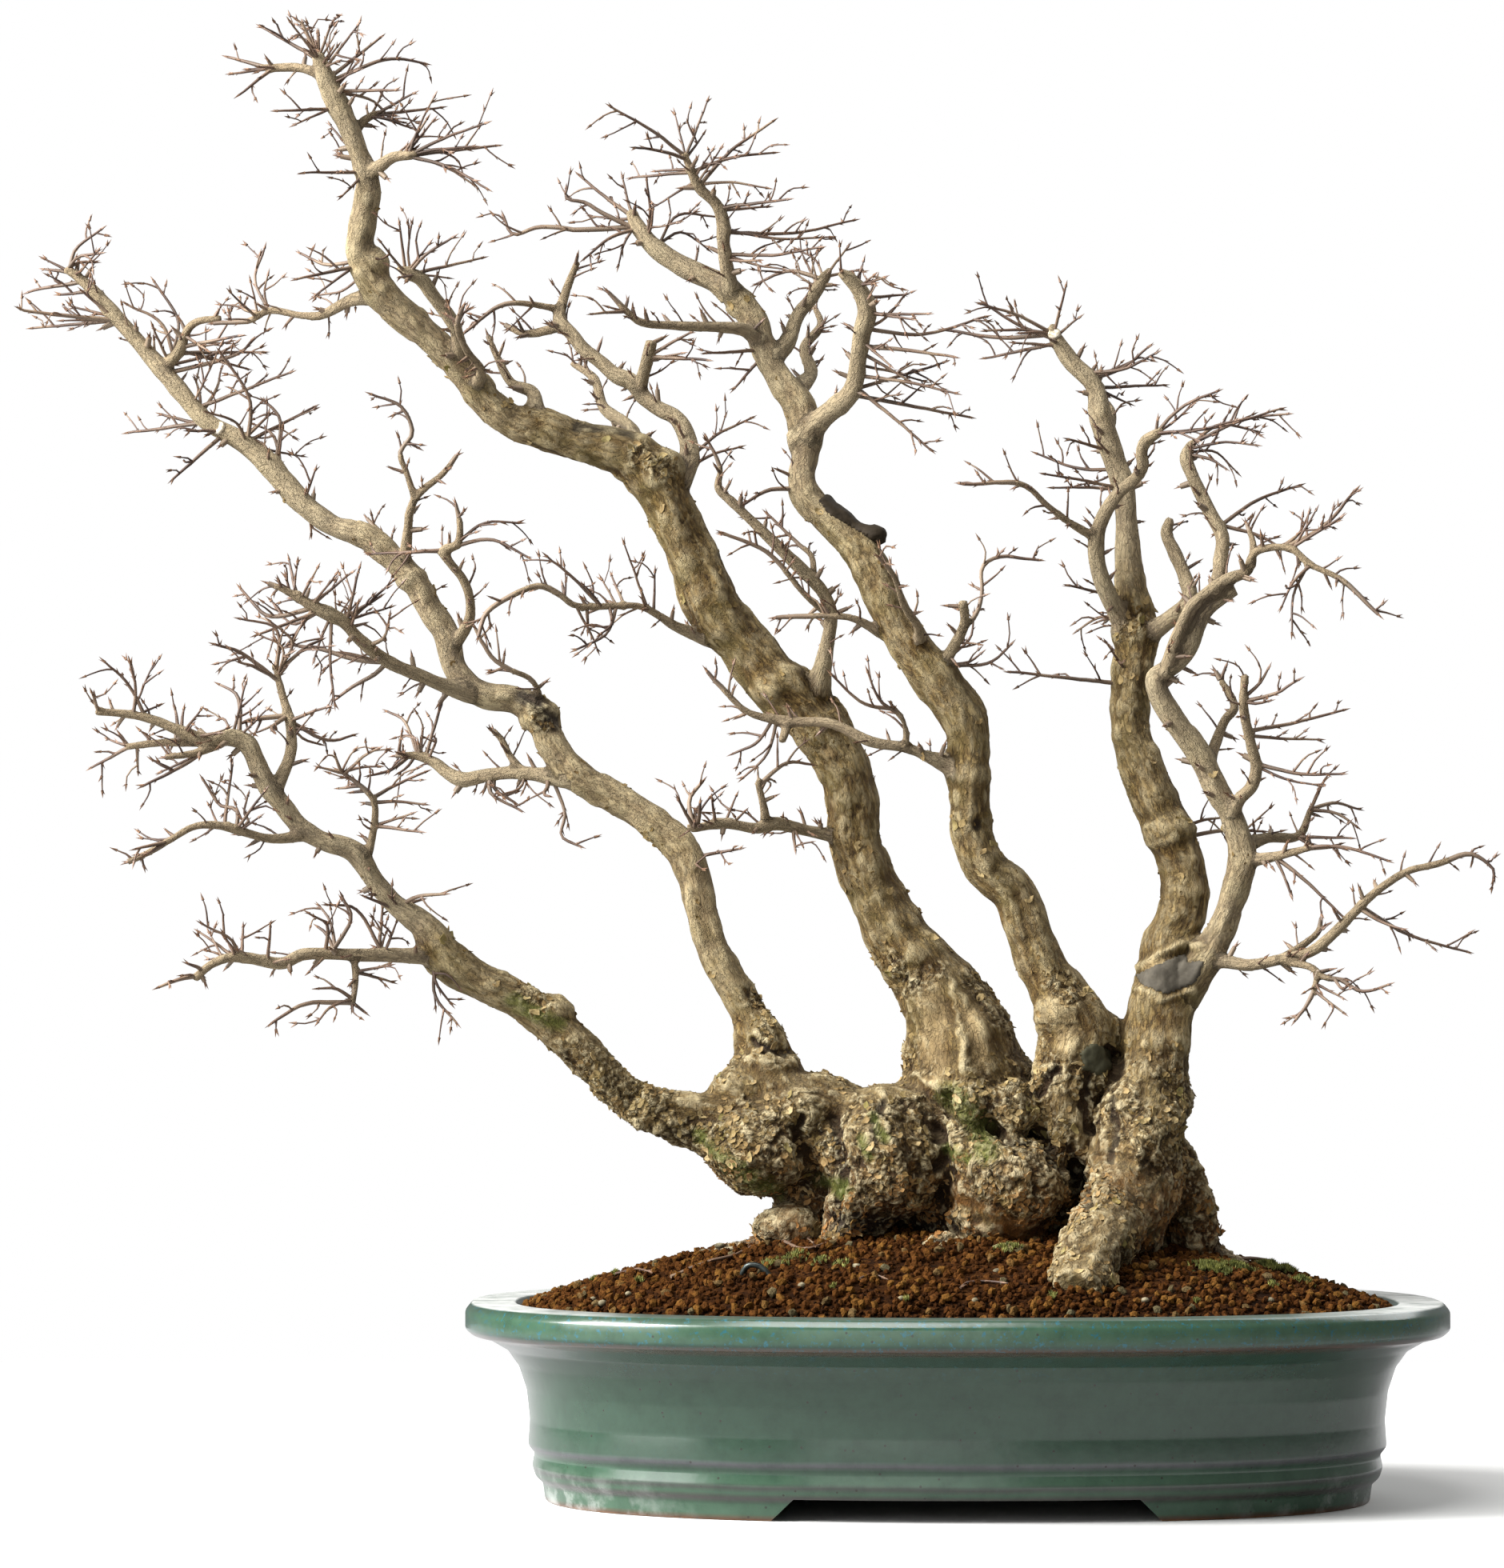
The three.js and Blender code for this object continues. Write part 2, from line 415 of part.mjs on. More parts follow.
  rootG: [[148, 160, 10, -8], [160, 152, 7.5, -4], [176, 144, 5.5, 0], [194, 134, 4, 4], [208, 122, 3, 8]],
  rootH: [[-20, 190, 26, 30], [-26, 172, 20, 48], [-34, 156, 16, 62], [-46, 140, 12, 76], [-58, 122, 7, 90]],
  rootI: [[84, 222, 24, 2], [85, 196, 22, 10], [86, 172, 18, 30], [92, 156, 14, 48], [100, 140, 10, 62], [108, 122, 6, 74]],
};

// Burls of the base: across, up, depth, then the three half sizes across, deep and up
const burls = [
  [-118, 222, 6, 42, 38, 37], // under the first two trunks
  [-84, 232, 4, 34, 34, 32],
  [-45, 214, -12, 44, 42, 40], // the middle lobe, over a hollow
  [-18, 226, 8, 40, 40, 38],
  [33, 240, -26, 18, 14, 17], // small burl at the foot of the third trunk
  [32, 194, -34, 33, 25, 28], // big burl in front
  [5, 200, 20, 44, 38, 40],
  [86, 262, -14, 18, 17, 15], // saddle between the last two trunks
  [88, 232, 2, 30, 28, 30],
  [140, 246, -20, 8, 9, 10],
  [10, 243, -36, 13, 8, 14],
];
const bark = 0.055; // how far the limbs depart from round, as a share of the radius

// A tapered limb: a straight cylinder whose rings are laid along a smooth curve. detail is the
// number of rings for each station, and root is a point to start from in place of the first one.
function limb(stations, sides, grow = 0, detail = 1, root = null) {
  const centres = stations.map(([x, z, , y]) => place(x, z, y));
  if (root) centres[0] = root;
  const curve = new THREE.CatmullRomCurve3(centres, false, 'centripetal');
  const rings = Math.ceil((stations.length - 1) * detail);
  const tube = new THREE.CylinderGeometry(1, 1, 1, sides, rings);
  const normal = new THREE.Vector3();
  const frames = [];
  for (let k = 0; k <= rings; k += 1) {
    const t = k / rings;
    const tangent = curve.getTangent(t);
    if (k === 0) {
      normal.set(0, 1, 0);
      if (Math.abs(tangent.y) > 0.9) normal.set(1, 0, 0);
    }
    normal.addScaledVector(tangent, -normal.dot(tangent)).normalize();
    const binormal = new THREE.Vector3().crossVectors(normal, tangent);
    const at = Math.min(t * (stations.length - 1), stations.length - 1.001);
    const i = Math.floor(at);
    const radius = THREE.MathUtils.lerp(stations[i][2], stations[i + 1][2], at - i);
    frames.push({ centre: curve.getPoint(t), normal: normal.clone(), binormal, radius });
  }
  const position = tube.attributes.position;
  for (let i = 0; i < position.count; i += 1) {
    const k = Math.round((position.getY(i) + 0.5) * rings);
    const { centre, normal: n, binormal: b, radius } = frames[k];
    const angle = Math.atan2(position.getZ(i), position.getX(i));
    const uneven = 1 + bark * Math.sin(3 * angle + centre.z * 0.11) + bark * Math.sin(5 * angle - centre.x * 0.13);
    const r = radius * uneven + grow;
    const vertex = centre.clone();
    vertex.addScaledVector(n, position.getX(i) * r);
    vertex.addScaledVector(b, position.getZ(i) * r);
    position.setXYZ(i, vertex.x, vertex.y, vertex.z);
  }
  return solid(tube);
}

function burl([x, z, y, across, deep, up], grow) {
  const geometry = new THREE.IcosahedronGeometry(1, across > 38 ? 2 : 1);
  const position = geometry.attributes.position;
  const centre = place(x, z, y);
  for (let i = 0; i < position.count; i += 1) {
    const v = new THREE.Vector3().fromBufferAttribute(position, i);
    const wave = Math.sin(5.1 * v.x + x) * Math.sin(4.3 * v.y + 2 * v.z) + Math.sin(6.2 * v.z + z) * 0.6;
    const k = 1 + 0.05 * wave;
    position.setXYZ(
      i,
      centre.x + v.x * (across * k + grow),
      centre.y + v.y * (deep * k + grow),
      centre.z + v.z * (up * k + grow),
    );
  }
  return solid(geometry);
}

function sidesFor(radius) {
  if (radius > 12.5) return 7;
  if (radius > 6.5) return 5;
  if (radius > 3.3) return 4;
  return 3;
}

function detailFor(radius) {
  return radius > 11 ? 0.72 : 0.58;
}

function heavyWood(grow) {
  const bodies = burls.map((values) => burl(values, grow));
  for (const stations of Object.values(limbs)) {
    const radius = stations[0][2];
    bodies.push(limb(stations, sidesFor(radius), grow, detailFor(radius)));
  }
  return join(bodies);
}

// Centre lines of the limbs, as they are built, so that a twig can be rooted in the nearest one
const centreLines = Object.values(limbs).map((stations) => {
  const curve = new THREE.CatmullRomCurve3(stations.map(([x, z, , y]) => place(x, z, y)), false, 'centripetal');
  const line = curve.getPoints(Math.ceil((stations.length - 1) * detailFor(stations[0][2])));
  line[line.length - 1].lerp(line[line.length - 2], 0.25);
  return line;
});

function nearestWood(point) {
  const piece = new THREE.Line3();
  const found = new THREE.Vector3();
  const nearest = point.clone();
  let least = Infinity;
  for (const line of centreLines) {
    for (let i = 0; i + 1 < line.length; i += 1) {
      piece.set(line[i], line[i + 1]).closestPointToPoint(point, true, found);
      if (found.distanceTo(point) < least) {
        least = found.distanceTo(point);
        nearest.copy(found);
      }
    }
  }
  return nearest;
}

// Twigs that show in the outline: radius, depth at the root and at the tip, then across and up for
// each point
const twigs = [
  [1.3, 63, 44, -524, 735, -560, 738, -591, 742],
  [1.1, 63, 78, -525, 734, -578, 730],
  [1.2, 61, 76, -491, 710, -487, 734, -502, 759],
  [1.1, 54, 66, -484, 712, -434, 715],
  [1.2, 60, 38, -494, 702, -449, 714, -441, 722],
  [1.1, 60, 40, -464, 688, -417, 702],
  [1.2, 56, 34, -444, 656, -442, 685, -460, 714],
  [1.1, 56, 84, -445, 658, -402, 680],
  [1.2, 54, 72, -424, 643, -423, 673, -433, 684],
  [1.2, 58, 76, -468, 669, -518, 664],
  [1.2, 57, 36, -458, 660, -490, 635],
  [1.1, -45, -30, -401, 898, -435, 920],
  [1.2, -44, -70, -396, 892, -375, 921],
  [1.1, -44, -30, -394, 886, -361, 913],
  [1.2, -45, -50, -400, 900, -413, 929],
  [1.1, -45, -56, -399, 900, -388, 931],
  [1.1, -44, -62, -391, 880, -351, 880],
  [1.1, -44, -36, -393, 886, -355, 900, -333, 897],
  [1, -43, -60, -388, 868, -425, 867],
  [1, -58, -70, -342, 839, -320, 850, -295, 859],
  [1.1, -58, -44, -342, 839, -288, 845],
  [1, -56, -74, -345, 838, -316, 831, -294, 818],
  [1, -30, -18, -364, 865, -323, 869],
  [1, -38, -60, -372, 828, -408, 828],
  [1.1, -31, -50, -374, 768, -412, 761],
  [1.1, -31, -8, -374, 772, -394, 770, -410, 777],
  [1.2, -53, -70, -342, 765, -332, 776, -315, 787],
  [1, -53, -40, -340, 764, -297, 774],
  [1.1, 9, 30, -430, 741, -439, 761, -433, 780],
  [1.2, 26, 8, -190, 712, -155, 710],
  [1, 14, 26, -166, 648, -150, 662, -128, 673],
  [1.1, -25, -40, -222, 556, -238, 572, -255, 586],
  [1, -12, -30, -192, 554, -207, 594],
  [1.2, -20, -36, -211, 555, -218, 538, -237, 528],
  [1.1, -12, -30, -170, 838, -192, 856, -215, 869],
  [1.1, -12, 6, -169, 838, -155, 873],
  [1.1, -6, 12, -161, 818, -140, 842, -114, 860],
  [1, -9, 8, -165, 828, -202, 825],
  [1.1, -1, -26, -148, 806, -105, 811],
  [1, 4, 26, -144, 790, -100, 790, -64, 798],
  [1, 10, -18, -143, 776, -112, 776, -85, 781],
  [1.2, 40, 56, -202, 800, -217, 811, -235, 826],
  [1.4, 38, 50, -199, 794, -237, 792, -260, 794, -277, 789, -283, 800],
  [1.1, 38, 20, -198, 792, -214, 788, -232, 774],
  [1.1, 36, 22, -193, 786, -191, 802, -193, 823],
  [1, 33, 54, -186, 780, -174, 801, -150, 800],
  [1.2, 44, 60, -82, 762, -104, 766, -124, 758],
  [1.2, -30, -48, -60, 718, -30, 716, -1, 712],
  [1.1, -34, -20, -58, 730, -20, 726, 19, 737],
  [1, -36, -60, -56, 738, -17, 739],
  [1.2, -20, 4, -65, 689, -27, 681, 9, 674],
  [1, -24, -44, -63, 700, -30, 696, 0, 689],
  [1.1, 41, 22, 62, 726, 40, 738, 17, 745],
  [1.1, 40, 60, 66, 720, 20, 711],
  [1.3, 41, 64, 62, 727, 28, 724, -6, 729],
  [1.1, 36, 16, 80, 701, 106, 704, 126, 714],
  [1, 35, 56, 87, 692, 131, 694],
  [1.1, -27, -44, 127, 664, 142, 680, 164, 690],
  [1, -26, -8, 126, 663, 166, 668, 204, 679],
  [1.1, 10, 30, 147, 653, 165, 669, 190, 665],
  [1, 12, -12, 149, 657, 180, 672, 208, 676],
  [1.1, -10, 10, 165, 604, 190, 622, 216, 631],
  [1.3, -48, -30, 208, 591, 232, 606, 251, 628],
  [1, -48, -66, 210, 591, 242, 611],
  [1.1, -54, -70, 222, 582, 212, 562, 211, 539],
  [1.2, 19, 0, 112, 506, 72, 510, 35, 514],
  [1, 30, 50, 102, 641, 76, 642, 52, 651],
  [1, 28, 8, 106, 628, 82, 634, 57, 638],
  [1.1, -52, -70, 181, 496, 200, 500, 215, 509],
  [1.1, -46, -30, 184, 476, 212, 482, 243, 490],
  [1.1, -40, -60, 188, 456, 216, 450, 241, 450],
  [1.1, -44, -62, 220, 403, 244, 404, 270, 396],
  [1.2, 6, 26, 146, 412, 170, 415, 192, 414],
  [1.2, -34, -52, 200, 398, 218, 384, 242, 361],
  [1.1, -57, -40, 254, 367, 282, 350, 319, 339],
  [1.1, -77, -90, -506, 485, -517, 506, -532, 520],
  [1.2, -69, -56, -447, 472, -449, 499, -460, 506],
  [1.2, -73, -90, -468, 468, -485, 454, -507, 443],
  [1.2, -41, -58, -424, 508, -447, 526, -463, 531],
  [1.1, -40, -24, -425, 513, -407, 529, -397, 534],
  [1, -31, -46, -412, 526, -425, 541, -447, 547],
  [1.1, -46, -30, -416, 484, -392, 471, -377, 474],
  [1.2, -78, -64, -450, 415, -449, 427, -460, 431, -470, 446],
  [1.2, -62, -76, -389, 339, -377, 361, -383, 373],
  [1, -46, -66, -358, 348, -375, 366, -392, 368],
  [1.3, -62, -78, -376, 308, -407, 306, -427, 294],
  [1.1, -65, -48, -364, 435, -352, 442, -332, 451],
  [1.1, -34, -48, -324, 330, -325, 312, -312, 295],
  [1.3, -8, 8, -402, 552, -430, 549, -447, 566],
  [1.1, -6, -26, -398, 550, -437, 537],
  [1.5, 12, 26, -354, 520, -372, 521, -397, 528, -415, 531],
  [1, -5, -18, -390, 548, -391, 519, -388, 494],
  [1.1, 81, 66, -331, 459, -323, 489, -321, 495],
  [1.1, 82, 98, -336, 460, -345, 484, -355, 489],
  [1.3, 36, 22, -256, 445, -244, 425, -246, 411, -235, 405],
  [1.2, -25, -10, -123, 443, -105, 457, -90, 456],
  [1.1, -42, -58, -39, 490, -57, 494, -77, 512],
  [1, -18, -34, 0, 516, 22, 520, 35, 531],
  [1.2, -30, -22, -112, 483, -118, 462, -132, 448],
  [1.3, -4, -20, -96, 628, -117, 628, -132, 619],
  [1.1, 16, 34, -321, 590, -345, 589, -366, 588],
  [1.1, 15, 2, -312, 594, -290, 597, -268, 586],
];

// Short spurs, placed along the limbs by a rule: host, how many, and their length
const spurs = [
  ['branchB7', 3, 22, 0.3], ['branchC11', 3, 22, 0.3], ['branchC12', 3, 22, 0.3], ['branchD8', 3, 22, 0.3],
  ['branchD9', 3, 22, 0.3], ['branchE7', 3, 22, 0.3], ['branchE8', 2, 22, 0.3], ['branchG', 2, 18, 0.3],
];
const twigSides = 3;

function twig([radius, rootDepth, tipDepth, ...points]) {
  const count = points.length / 2;
  const stations = [];
  for (let i = 0; i < count; i += 1) {
    const t = i / (count - 1);
    const r = radius * (1 - t);
    stations.push([points[2 * i], points[2 * i + 1], r, THREE.MathUtils.lerp(rootDepth, tipDepth, t)]);
  }
  return limb(stations, twigSides, 0, 1, nearestWood(place(points[0], points[1], rootDepth)));
}

function spur(stations, at, length) {
  const i = Math.min(Math.floor(at), stations.length - 2);
  const [x, z, r, y] = stations[i].map((value, k) => THREE.MathUtils.lerp(value, stations[i + 1][k], at - i));
  const turn = random() * 2 * Math.PI;
  const rise = 0.35 + 0.65 * random();
  const flat = Math.sqrt(1 - rise * rise * 0.7);
  const reach = r * 0.6 + length * (0.6 + 0.8 * random());
  const tip = [x + reach * flat * Math.cos(turn), z + reach * rise, 0, y + reach * flat * Math.sin(turn)];
  return limb([[x, z, Math.min(1.25, r * 0.7), y], tip], twigSides, 0, 1, nearestWood(place(x, z, y)));
}

function makeTree() {
  const bodies = twigs.map(twig);
  for (const [host, count, length, from] of spurs) {
    const stations = limbs[host];
    for (let n = 0; n < count; n += 1) {
      const share = from + (1 - from) * (n + 0.6 * random()) / count;
      bodies.push(spur(stations, share * (stations.length - 1), length));
    }
  }
  return heavyWood(0).add(join(bodies));
}

// Anchor wire: a bar under the left drain hole, up through the soil, an arc over the surface
const wireRoute = [
  [-156, 11.2, 0], [-140, 11.2, 0], [-126, 11.4, 0], [-120, 16, 0], [-119, 26, -2], [-121, 50, -22],
  [-128, 88, -60], [-134, 122, -94], [-134, 140, -108], [-129.5, 148.5, -112], [-122, 148, -114],
  [-115.5, 141, -115], [-111, 130, -114], [-104, 108, -104], [-96, 92, -88],
];

function anchorWire(grow) {
  const points = wireRoute.map(([x, z, y]) => new THREE.Vector3(x, y, z));
  const path = new THREE.CatmullRomCurve3(points, false, 'centripetal');
  const section = new THREE.Shape();
  section.absarc(0, 0, wireRadius + grow, 0, 2 * Math.PI);
  const tube = new THREE.ExtrudeGeometry(section, { steps: 26, curveSegments: 3, extrudePath: path });
  return solid(tube);
}

function drainScreen(side) {
  const level = footHeight + floorThickness + gap + screenThickness / 2;
  const plate = new THREE.BoxGeometry(screenSize, screenSize, screenThickness);
  plate.translate(side * drainHoleOffset, 0, level);
  const pitch = screenSize / (screenHolesPerRow + 0.4);
  const holes = [];
  for (let i = 0; i < screenHolesPerRow; i += 1) {
    for (let j = 0; j < screenHolesPerRow; j += 1) {
      const hole = new THREE.BoxGeometry(screenHole, screenHole, 3 * screenThickness);
      const x = (i - (screenHolesPerRow - 1) / 2) * pitch;
      const y = (j - (screenHolesPerRow - 1) / 2) * pitch;
      hole.translate(side * drainHoleOffset + x, y, level);
      holes.push(solid(hole));
    }
  }
  return solid(plate).subtract(join(holes));
}

function screenRoom(side) {
  const size = screenSize + 2 * gap;
  const geometry = new THREE.BoxGeometry(size, size, screenThickness + 4 * gap);
  geometry.translate(side * drainHoleOffset, 0, footHeight + floorThickness + screenThickness / 2 + gap);
  return solid(geometry);
}

// Soil: the inside of the pot, heaped up towards the trunks
function soilHeight(x, y) {
  const across = Math.abs(x) / (potLength / 2 - lipWidth);
  const deep = Math.abs(y) / (potDepth / 2 - lipWidth);
  const out = Math.min(1, (across ** ovalPower + deep ** ovalPower) ** (1 / ovalPower));
  const heap = soilRise * (1 - out ** 2.2);
  const uneven = Math.sin(x * 0.052 + 1) * Math.sin(y * 0.061 + x * 0.02) + 0.6 * Math.sin(x * 0.13 - y * 0.11);
  return potHeight - soilEdgeBelowLip + heap + 1.6 * uneven * (1 - out ** 6);
}

function makeSoil(woodRoom) {
  const half = potLength / 2;
  const bottom = footHeight + floorThickness + gap;
  const edge = potHeight - soilEdgeBelowLip;
  const profile = [
    [0, bottom], [half - 78 - gap, bottom], [half - 60.5, 34.2], [half - 54.5, 55], [half - 49.5, 85],
    [half - lipWidth - 4.6, 112], [half - lipWidth - 2.4, edge],
  ];
  const topRings = 7;
  for (let i = topRings - 1; i >= 0; i -= 1) {
    profile.push([(half - lipWidth - 2.4) * i / topRings, edge + 10]);
  }
  const points = profile.map(([r, z]) => new THREE.Vector2(r, z));
  const geometry = new THREE.LatheGeometry(points, 36);
  geometry.rotateX(Math.PI / 2);
  const position = geometry.attributes.position;
  for (let i = 0; i < position.count; i += 1) {
    const r = Math.hypot(position.getX(i), position.getY(i));
    const [x, y] = r < 0.01 ? [0, 0] : ovalPoint(r, Math.atan2(position.getY(i), position.getX(i)));
    const z = position.getZ(i) > edge + 1 ? soilHeight(x, y) : position.getZ(i);
    position.setXYZ(i, x, y, z);
  }
  let body = solid(geometry).subtract(woodRoom).subtract(anchorWire(gap));
  for (const side of [-1, 1]) body = body.subtract(screenRoom(side));
  return body;
}

function coatedLimb(stations) {
  const radius = stations[0][2];
  return limb(stations, sidesFor(radius), pasteThickness, detailFor(radius));
}

// Sealing paste: a coat on the wood inside an outline that is drawn in the front elevation
function paste(outline, hosts, woodRoom, depthFrom, depthTo, lump) {
  const shape = new THREE.Shape(outline.map(([x, z]) => {
    const p = place(x, z, depthFrom);
    return new THREE.Vector2(p.x, p.z);
  }));
  const block = new THREE.ExtrudeGeometry(shape, { depth: depthTo - depthFrom, bevelEnabled: false });
  block.rotateX(Math.PI / 2);
  block.translate(0, depthTo, 0);
  const coats = hosts.map((host) => (
    typeof host === 'string' ? coatedLimb(limbs[host]) : burl(host, pasteThickness)
  ));
  let body = join(coats).intersect(solid(block));
  if (lump) {
    const [x, z, y, r] = lump;
    const ball = new THREE.IcosahedronGeometry(r, 1);
    const centre = place(x, z, y);
    ball.translate(centre.x, centre.y, centre.z);
    body = body.add(solid(ball));
  }
  return body.subtract(woodRoom);
}

// Assembly
const pieces = new THREE.Group();

function addPiece(name, body, color, roughness, metalness = 0) {
  const material = new THREE.MeshStandardMaterial({ color, roughness, metalness });
  const mesh = new THREE.Mesh(geometryOf(body), material);
  mesh.name = name;
  pieces.add(mesh);
}

const woodRoom = heavyWood(gap);
const screens = [-1, 1].map((side) => drainScreen(side).subtract(anchorWire(gap)));
const trunkPatch = [[113, 326], [122, 329], [143, 337], [149, 326], [143, 317], [130, 313]];
const forkPatch = [[77, 276], [85, 283], [97, 278], [98, 266], [90, 261], [79, 265]];
const scarPatch = [[-86, 622], [-78, 628], [-58, 618], [-42, 604], [-46, 592], [-64, 604], [-80, 613]];

addPiece('tree', makeTree(), 0xa89878, 0.85);
addPiece('soil', makeSoil(woodRoom), 0x6a3d20, 0.95);
addPiece('pot', makePot(), 0x557f6c, 0.3);
addPiece('cut_paste_trunk', paste(trunkPatch, ['trunkE'], woodRoom, -50, -8, null), 0x6b6a6c, 0.75);
addPiece('cut_paste_fork', paste(forkPatch, [burls[7]], woodRoom, -50, -14, null), 0x4b4f45, 0.75);
addPiece('cut_paste_scar', paste(scarPatch, ['trunkD'], woodRoom, -40, -8, [-47, 598, -14, 6.5]), 0x3a3836, 0.7);
addPiece('anchor_wire', anchorWire(0), 0x3d403c, 0.45, 1);
addPiece('drain_screen_left', screens[0], 0x2b2d2a, 0.6);
addPiece('drain_screen_right', screens[1], 0x2b2d2a, 0.6);

// The origin is the middle of the underside of the whole box
const box = new THREE.Box3().setFromObject(pieces);
pieces.position.set(-(box.min.x + box.max.x) / 2, -(box.min.y + box.max.y) / 2, -box.min.z);

const bonsai = new THREE.Group();
bonsai.name = 'hornbeam_bonsai';
bonsai.add(pieces);

export default bonsai;
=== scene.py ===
# A leafless hornbeam clump in its oval glazed pot, dressed over the CAD frame.
# The tree's tables are in millimetres from the middle of the pot's underside.
import math
from functools import partial
import bpy
import numpy as np
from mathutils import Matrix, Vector


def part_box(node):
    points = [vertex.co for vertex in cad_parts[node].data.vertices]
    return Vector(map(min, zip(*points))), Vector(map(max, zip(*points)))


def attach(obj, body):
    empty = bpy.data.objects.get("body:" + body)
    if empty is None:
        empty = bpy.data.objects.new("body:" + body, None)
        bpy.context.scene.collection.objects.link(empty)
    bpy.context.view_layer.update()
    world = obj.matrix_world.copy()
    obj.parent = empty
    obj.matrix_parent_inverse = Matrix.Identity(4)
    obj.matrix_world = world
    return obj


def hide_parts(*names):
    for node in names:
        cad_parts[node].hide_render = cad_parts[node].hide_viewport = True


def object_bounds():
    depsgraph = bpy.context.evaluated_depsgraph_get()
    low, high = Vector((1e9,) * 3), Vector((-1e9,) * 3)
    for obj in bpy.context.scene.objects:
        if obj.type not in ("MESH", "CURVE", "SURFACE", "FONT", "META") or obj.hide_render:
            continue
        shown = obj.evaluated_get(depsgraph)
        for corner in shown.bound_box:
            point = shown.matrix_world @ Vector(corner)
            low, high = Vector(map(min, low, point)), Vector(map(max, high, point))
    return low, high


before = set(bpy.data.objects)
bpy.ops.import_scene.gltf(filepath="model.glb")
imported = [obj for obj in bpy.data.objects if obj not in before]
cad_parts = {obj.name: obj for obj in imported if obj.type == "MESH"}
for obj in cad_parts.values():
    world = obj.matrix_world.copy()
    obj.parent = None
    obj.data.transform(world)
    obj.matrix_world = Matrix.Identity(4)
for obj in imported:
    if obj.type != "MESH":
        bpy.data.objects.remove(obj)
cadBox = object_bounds()
print("frame loaded")

mm = 0.001
potLow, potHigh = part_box("pot")
potMiddle = np.array([(potLow.x + potHigh.x) / 2, (potLow.y + potHigh.y) / 2, potLow.z])

# the point that the front elevation is drawn from, in mm
eye = {"across": -127, "distance": 3500, "up": 305}


def toWorld(points):
    return np.asarray(points, float) * mm + potMiddle


def toPot(points):
    return (np.asarray(points, float) - potMiddle) / mm


def place(across, up, depth):
    # a point of the elevation, set back by depth along its sight line
    k = (eye["distance"] + depth) / eye["distance"]
    return np.array([eye["across"] + (across - eye["across"]) * k, depth, eye["up"] + (up - eye["up"]) * k])


def elevation(points):
    # the reverse of place, for many points
    k = (eye["distance"] + points[:, 1]) / eye["distance"]
    across = eye["across"] + (points[:, 0] - eye["across"]) / k
    return across, eye["up"] + (points[:, 2] - eye["up"]) / k


def hashed(cell, seed):
    # one scrambled whole number for each lattice cell
    h = cell[:, 0] * np.int32(73856093) ^ cell[:, 1] * np.int32(19349663) ^ cell[:, 2] * np.int32(83492791)
    h = h ^ np.int32((seed * 15485863) & 0x7fffffff)
    h = (h ^ (h >> 13)) * np.int32(1274126177)
    return (h ^ (h >> 15)) & np.int32(0xffffff)


def noise(points, seed=0):
    # smooth lattice noise from -1 to 1
    points = np.asarray(points, np.float32)
    low = np.floor(points)
    cell = low.astype(np.int32)
    f = points - low
    f = f * f * (3 - 2 * f)
    g = 1 - f
    total = np.zeros(len(points), np.float32)
    for corner in range(8):
        step = (corner & 1, corner >> 1 & 1, corner >> 2 & 1)
        weight = np.where(step[0], f[:, 0], g[:, 0]) * np.where(step[1], f[:, 1], g[:, 1])
        weight *= np.where(step[2], f[:, 2], g[:, 2])
        total += (hashed(cell + np.array(step, np.int32), seed) * np.float32(1 / 0x7fffff) - 1) * weight
    return total.astype(float)


def smoothStep(low, high, value):
    t = np.clip((value - low) / (high - low), 0, 1)
    return t * t * (3 - 2 * t)


def intoScene(name, data):
    # an object for a mesh, a lamp or a camera, in the scene
    holder = bpy.data.objects.new(name, data)
    bpy.context.scene.collection.objects.link(holder)
    return holder


def newMesh(name, vertices, faces, edges=()):
    mesh = bpy.data.meshes.new(name)
    mesh.from_pydata([tuple(v) for v in vertices], edges, [tuple(f) for f in faces])
    mesh.update()
    return intoScene(name, mesh)


def ringFaces(start, rings, sides, flip=False):
    # the faces between rings of points that follow each other from this number on
    made = []
    for j in range(rings - 1):
        for k in range(sides):
            a, b = start + j * sides + k, start + j * sides + (k + 1) % sides
            made.append((a, a + sides, b + sides, b) if flip else (a, b, b + sides, a + sides))
    return made


def valuesOf(items, key, width=1, kind=float):
    # one property of every item, as an array with this many columns
    flat = np.empty(len(items) * width, kind)
    items.foreach_get(key, flat)
    return flat.reshape(-1, width) if width > 1 else flat


def verticesOf(piece):
    return valuesOf(piece.data.vertices, "co", 3)


def normalsOf(piece):
    return valuesOf(piece.data.vertices, "normal", 3)


def setVertices(piece, points):
    piece.data.vertices.foreach_set("co", np.asarray(points, float).ravel())
    piece.data.update()


def attributeOf(piece, name):
    layer = piece.data.attributes[name]
    if layer.data_type == "FLOAT_VECTOR":
        return valuesOf(layer.data, "vector", 3)
    return valuesOf(layer.data, "value")


def setAttribute(piece, name, values):
    flat = np.ndim(values) == 1
    layer = piece.data.attributes.new(name, "FLOAT" if flat else "FLOAT_VECTOR", "POINT")
    layer.data.foreach_set("value" if flat else "vector", np.asarray(values, float).ravel())


def smoothShade(piece):
    piece.data.polygons.foreach_set("use_smooth", [True] * len(piece.data.polygons))


def applied(piece):
    # the evaluated piece as a plain mesh, its modifiers gone
    depsgraph = bpy.context.evaluated_depsgraph_get()
    mesh = bpy.data.meshes.new_from_object(piece.evaluated_get(depsgraph), depsgraph=depsgraph)
    piece.modifiers.clear()
    old = piece.data
    piece.data = mesh
    bpy.data.meshes.remove(old)
    return piece


def dress(piece, material, slotName, *nodes):
    if material and material.name not in [m.name for m in piece.data.materials if m]:
        piece.data.materials.append(material)
    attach(piece, "root")
    if nodes:
        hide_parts(*nodes)


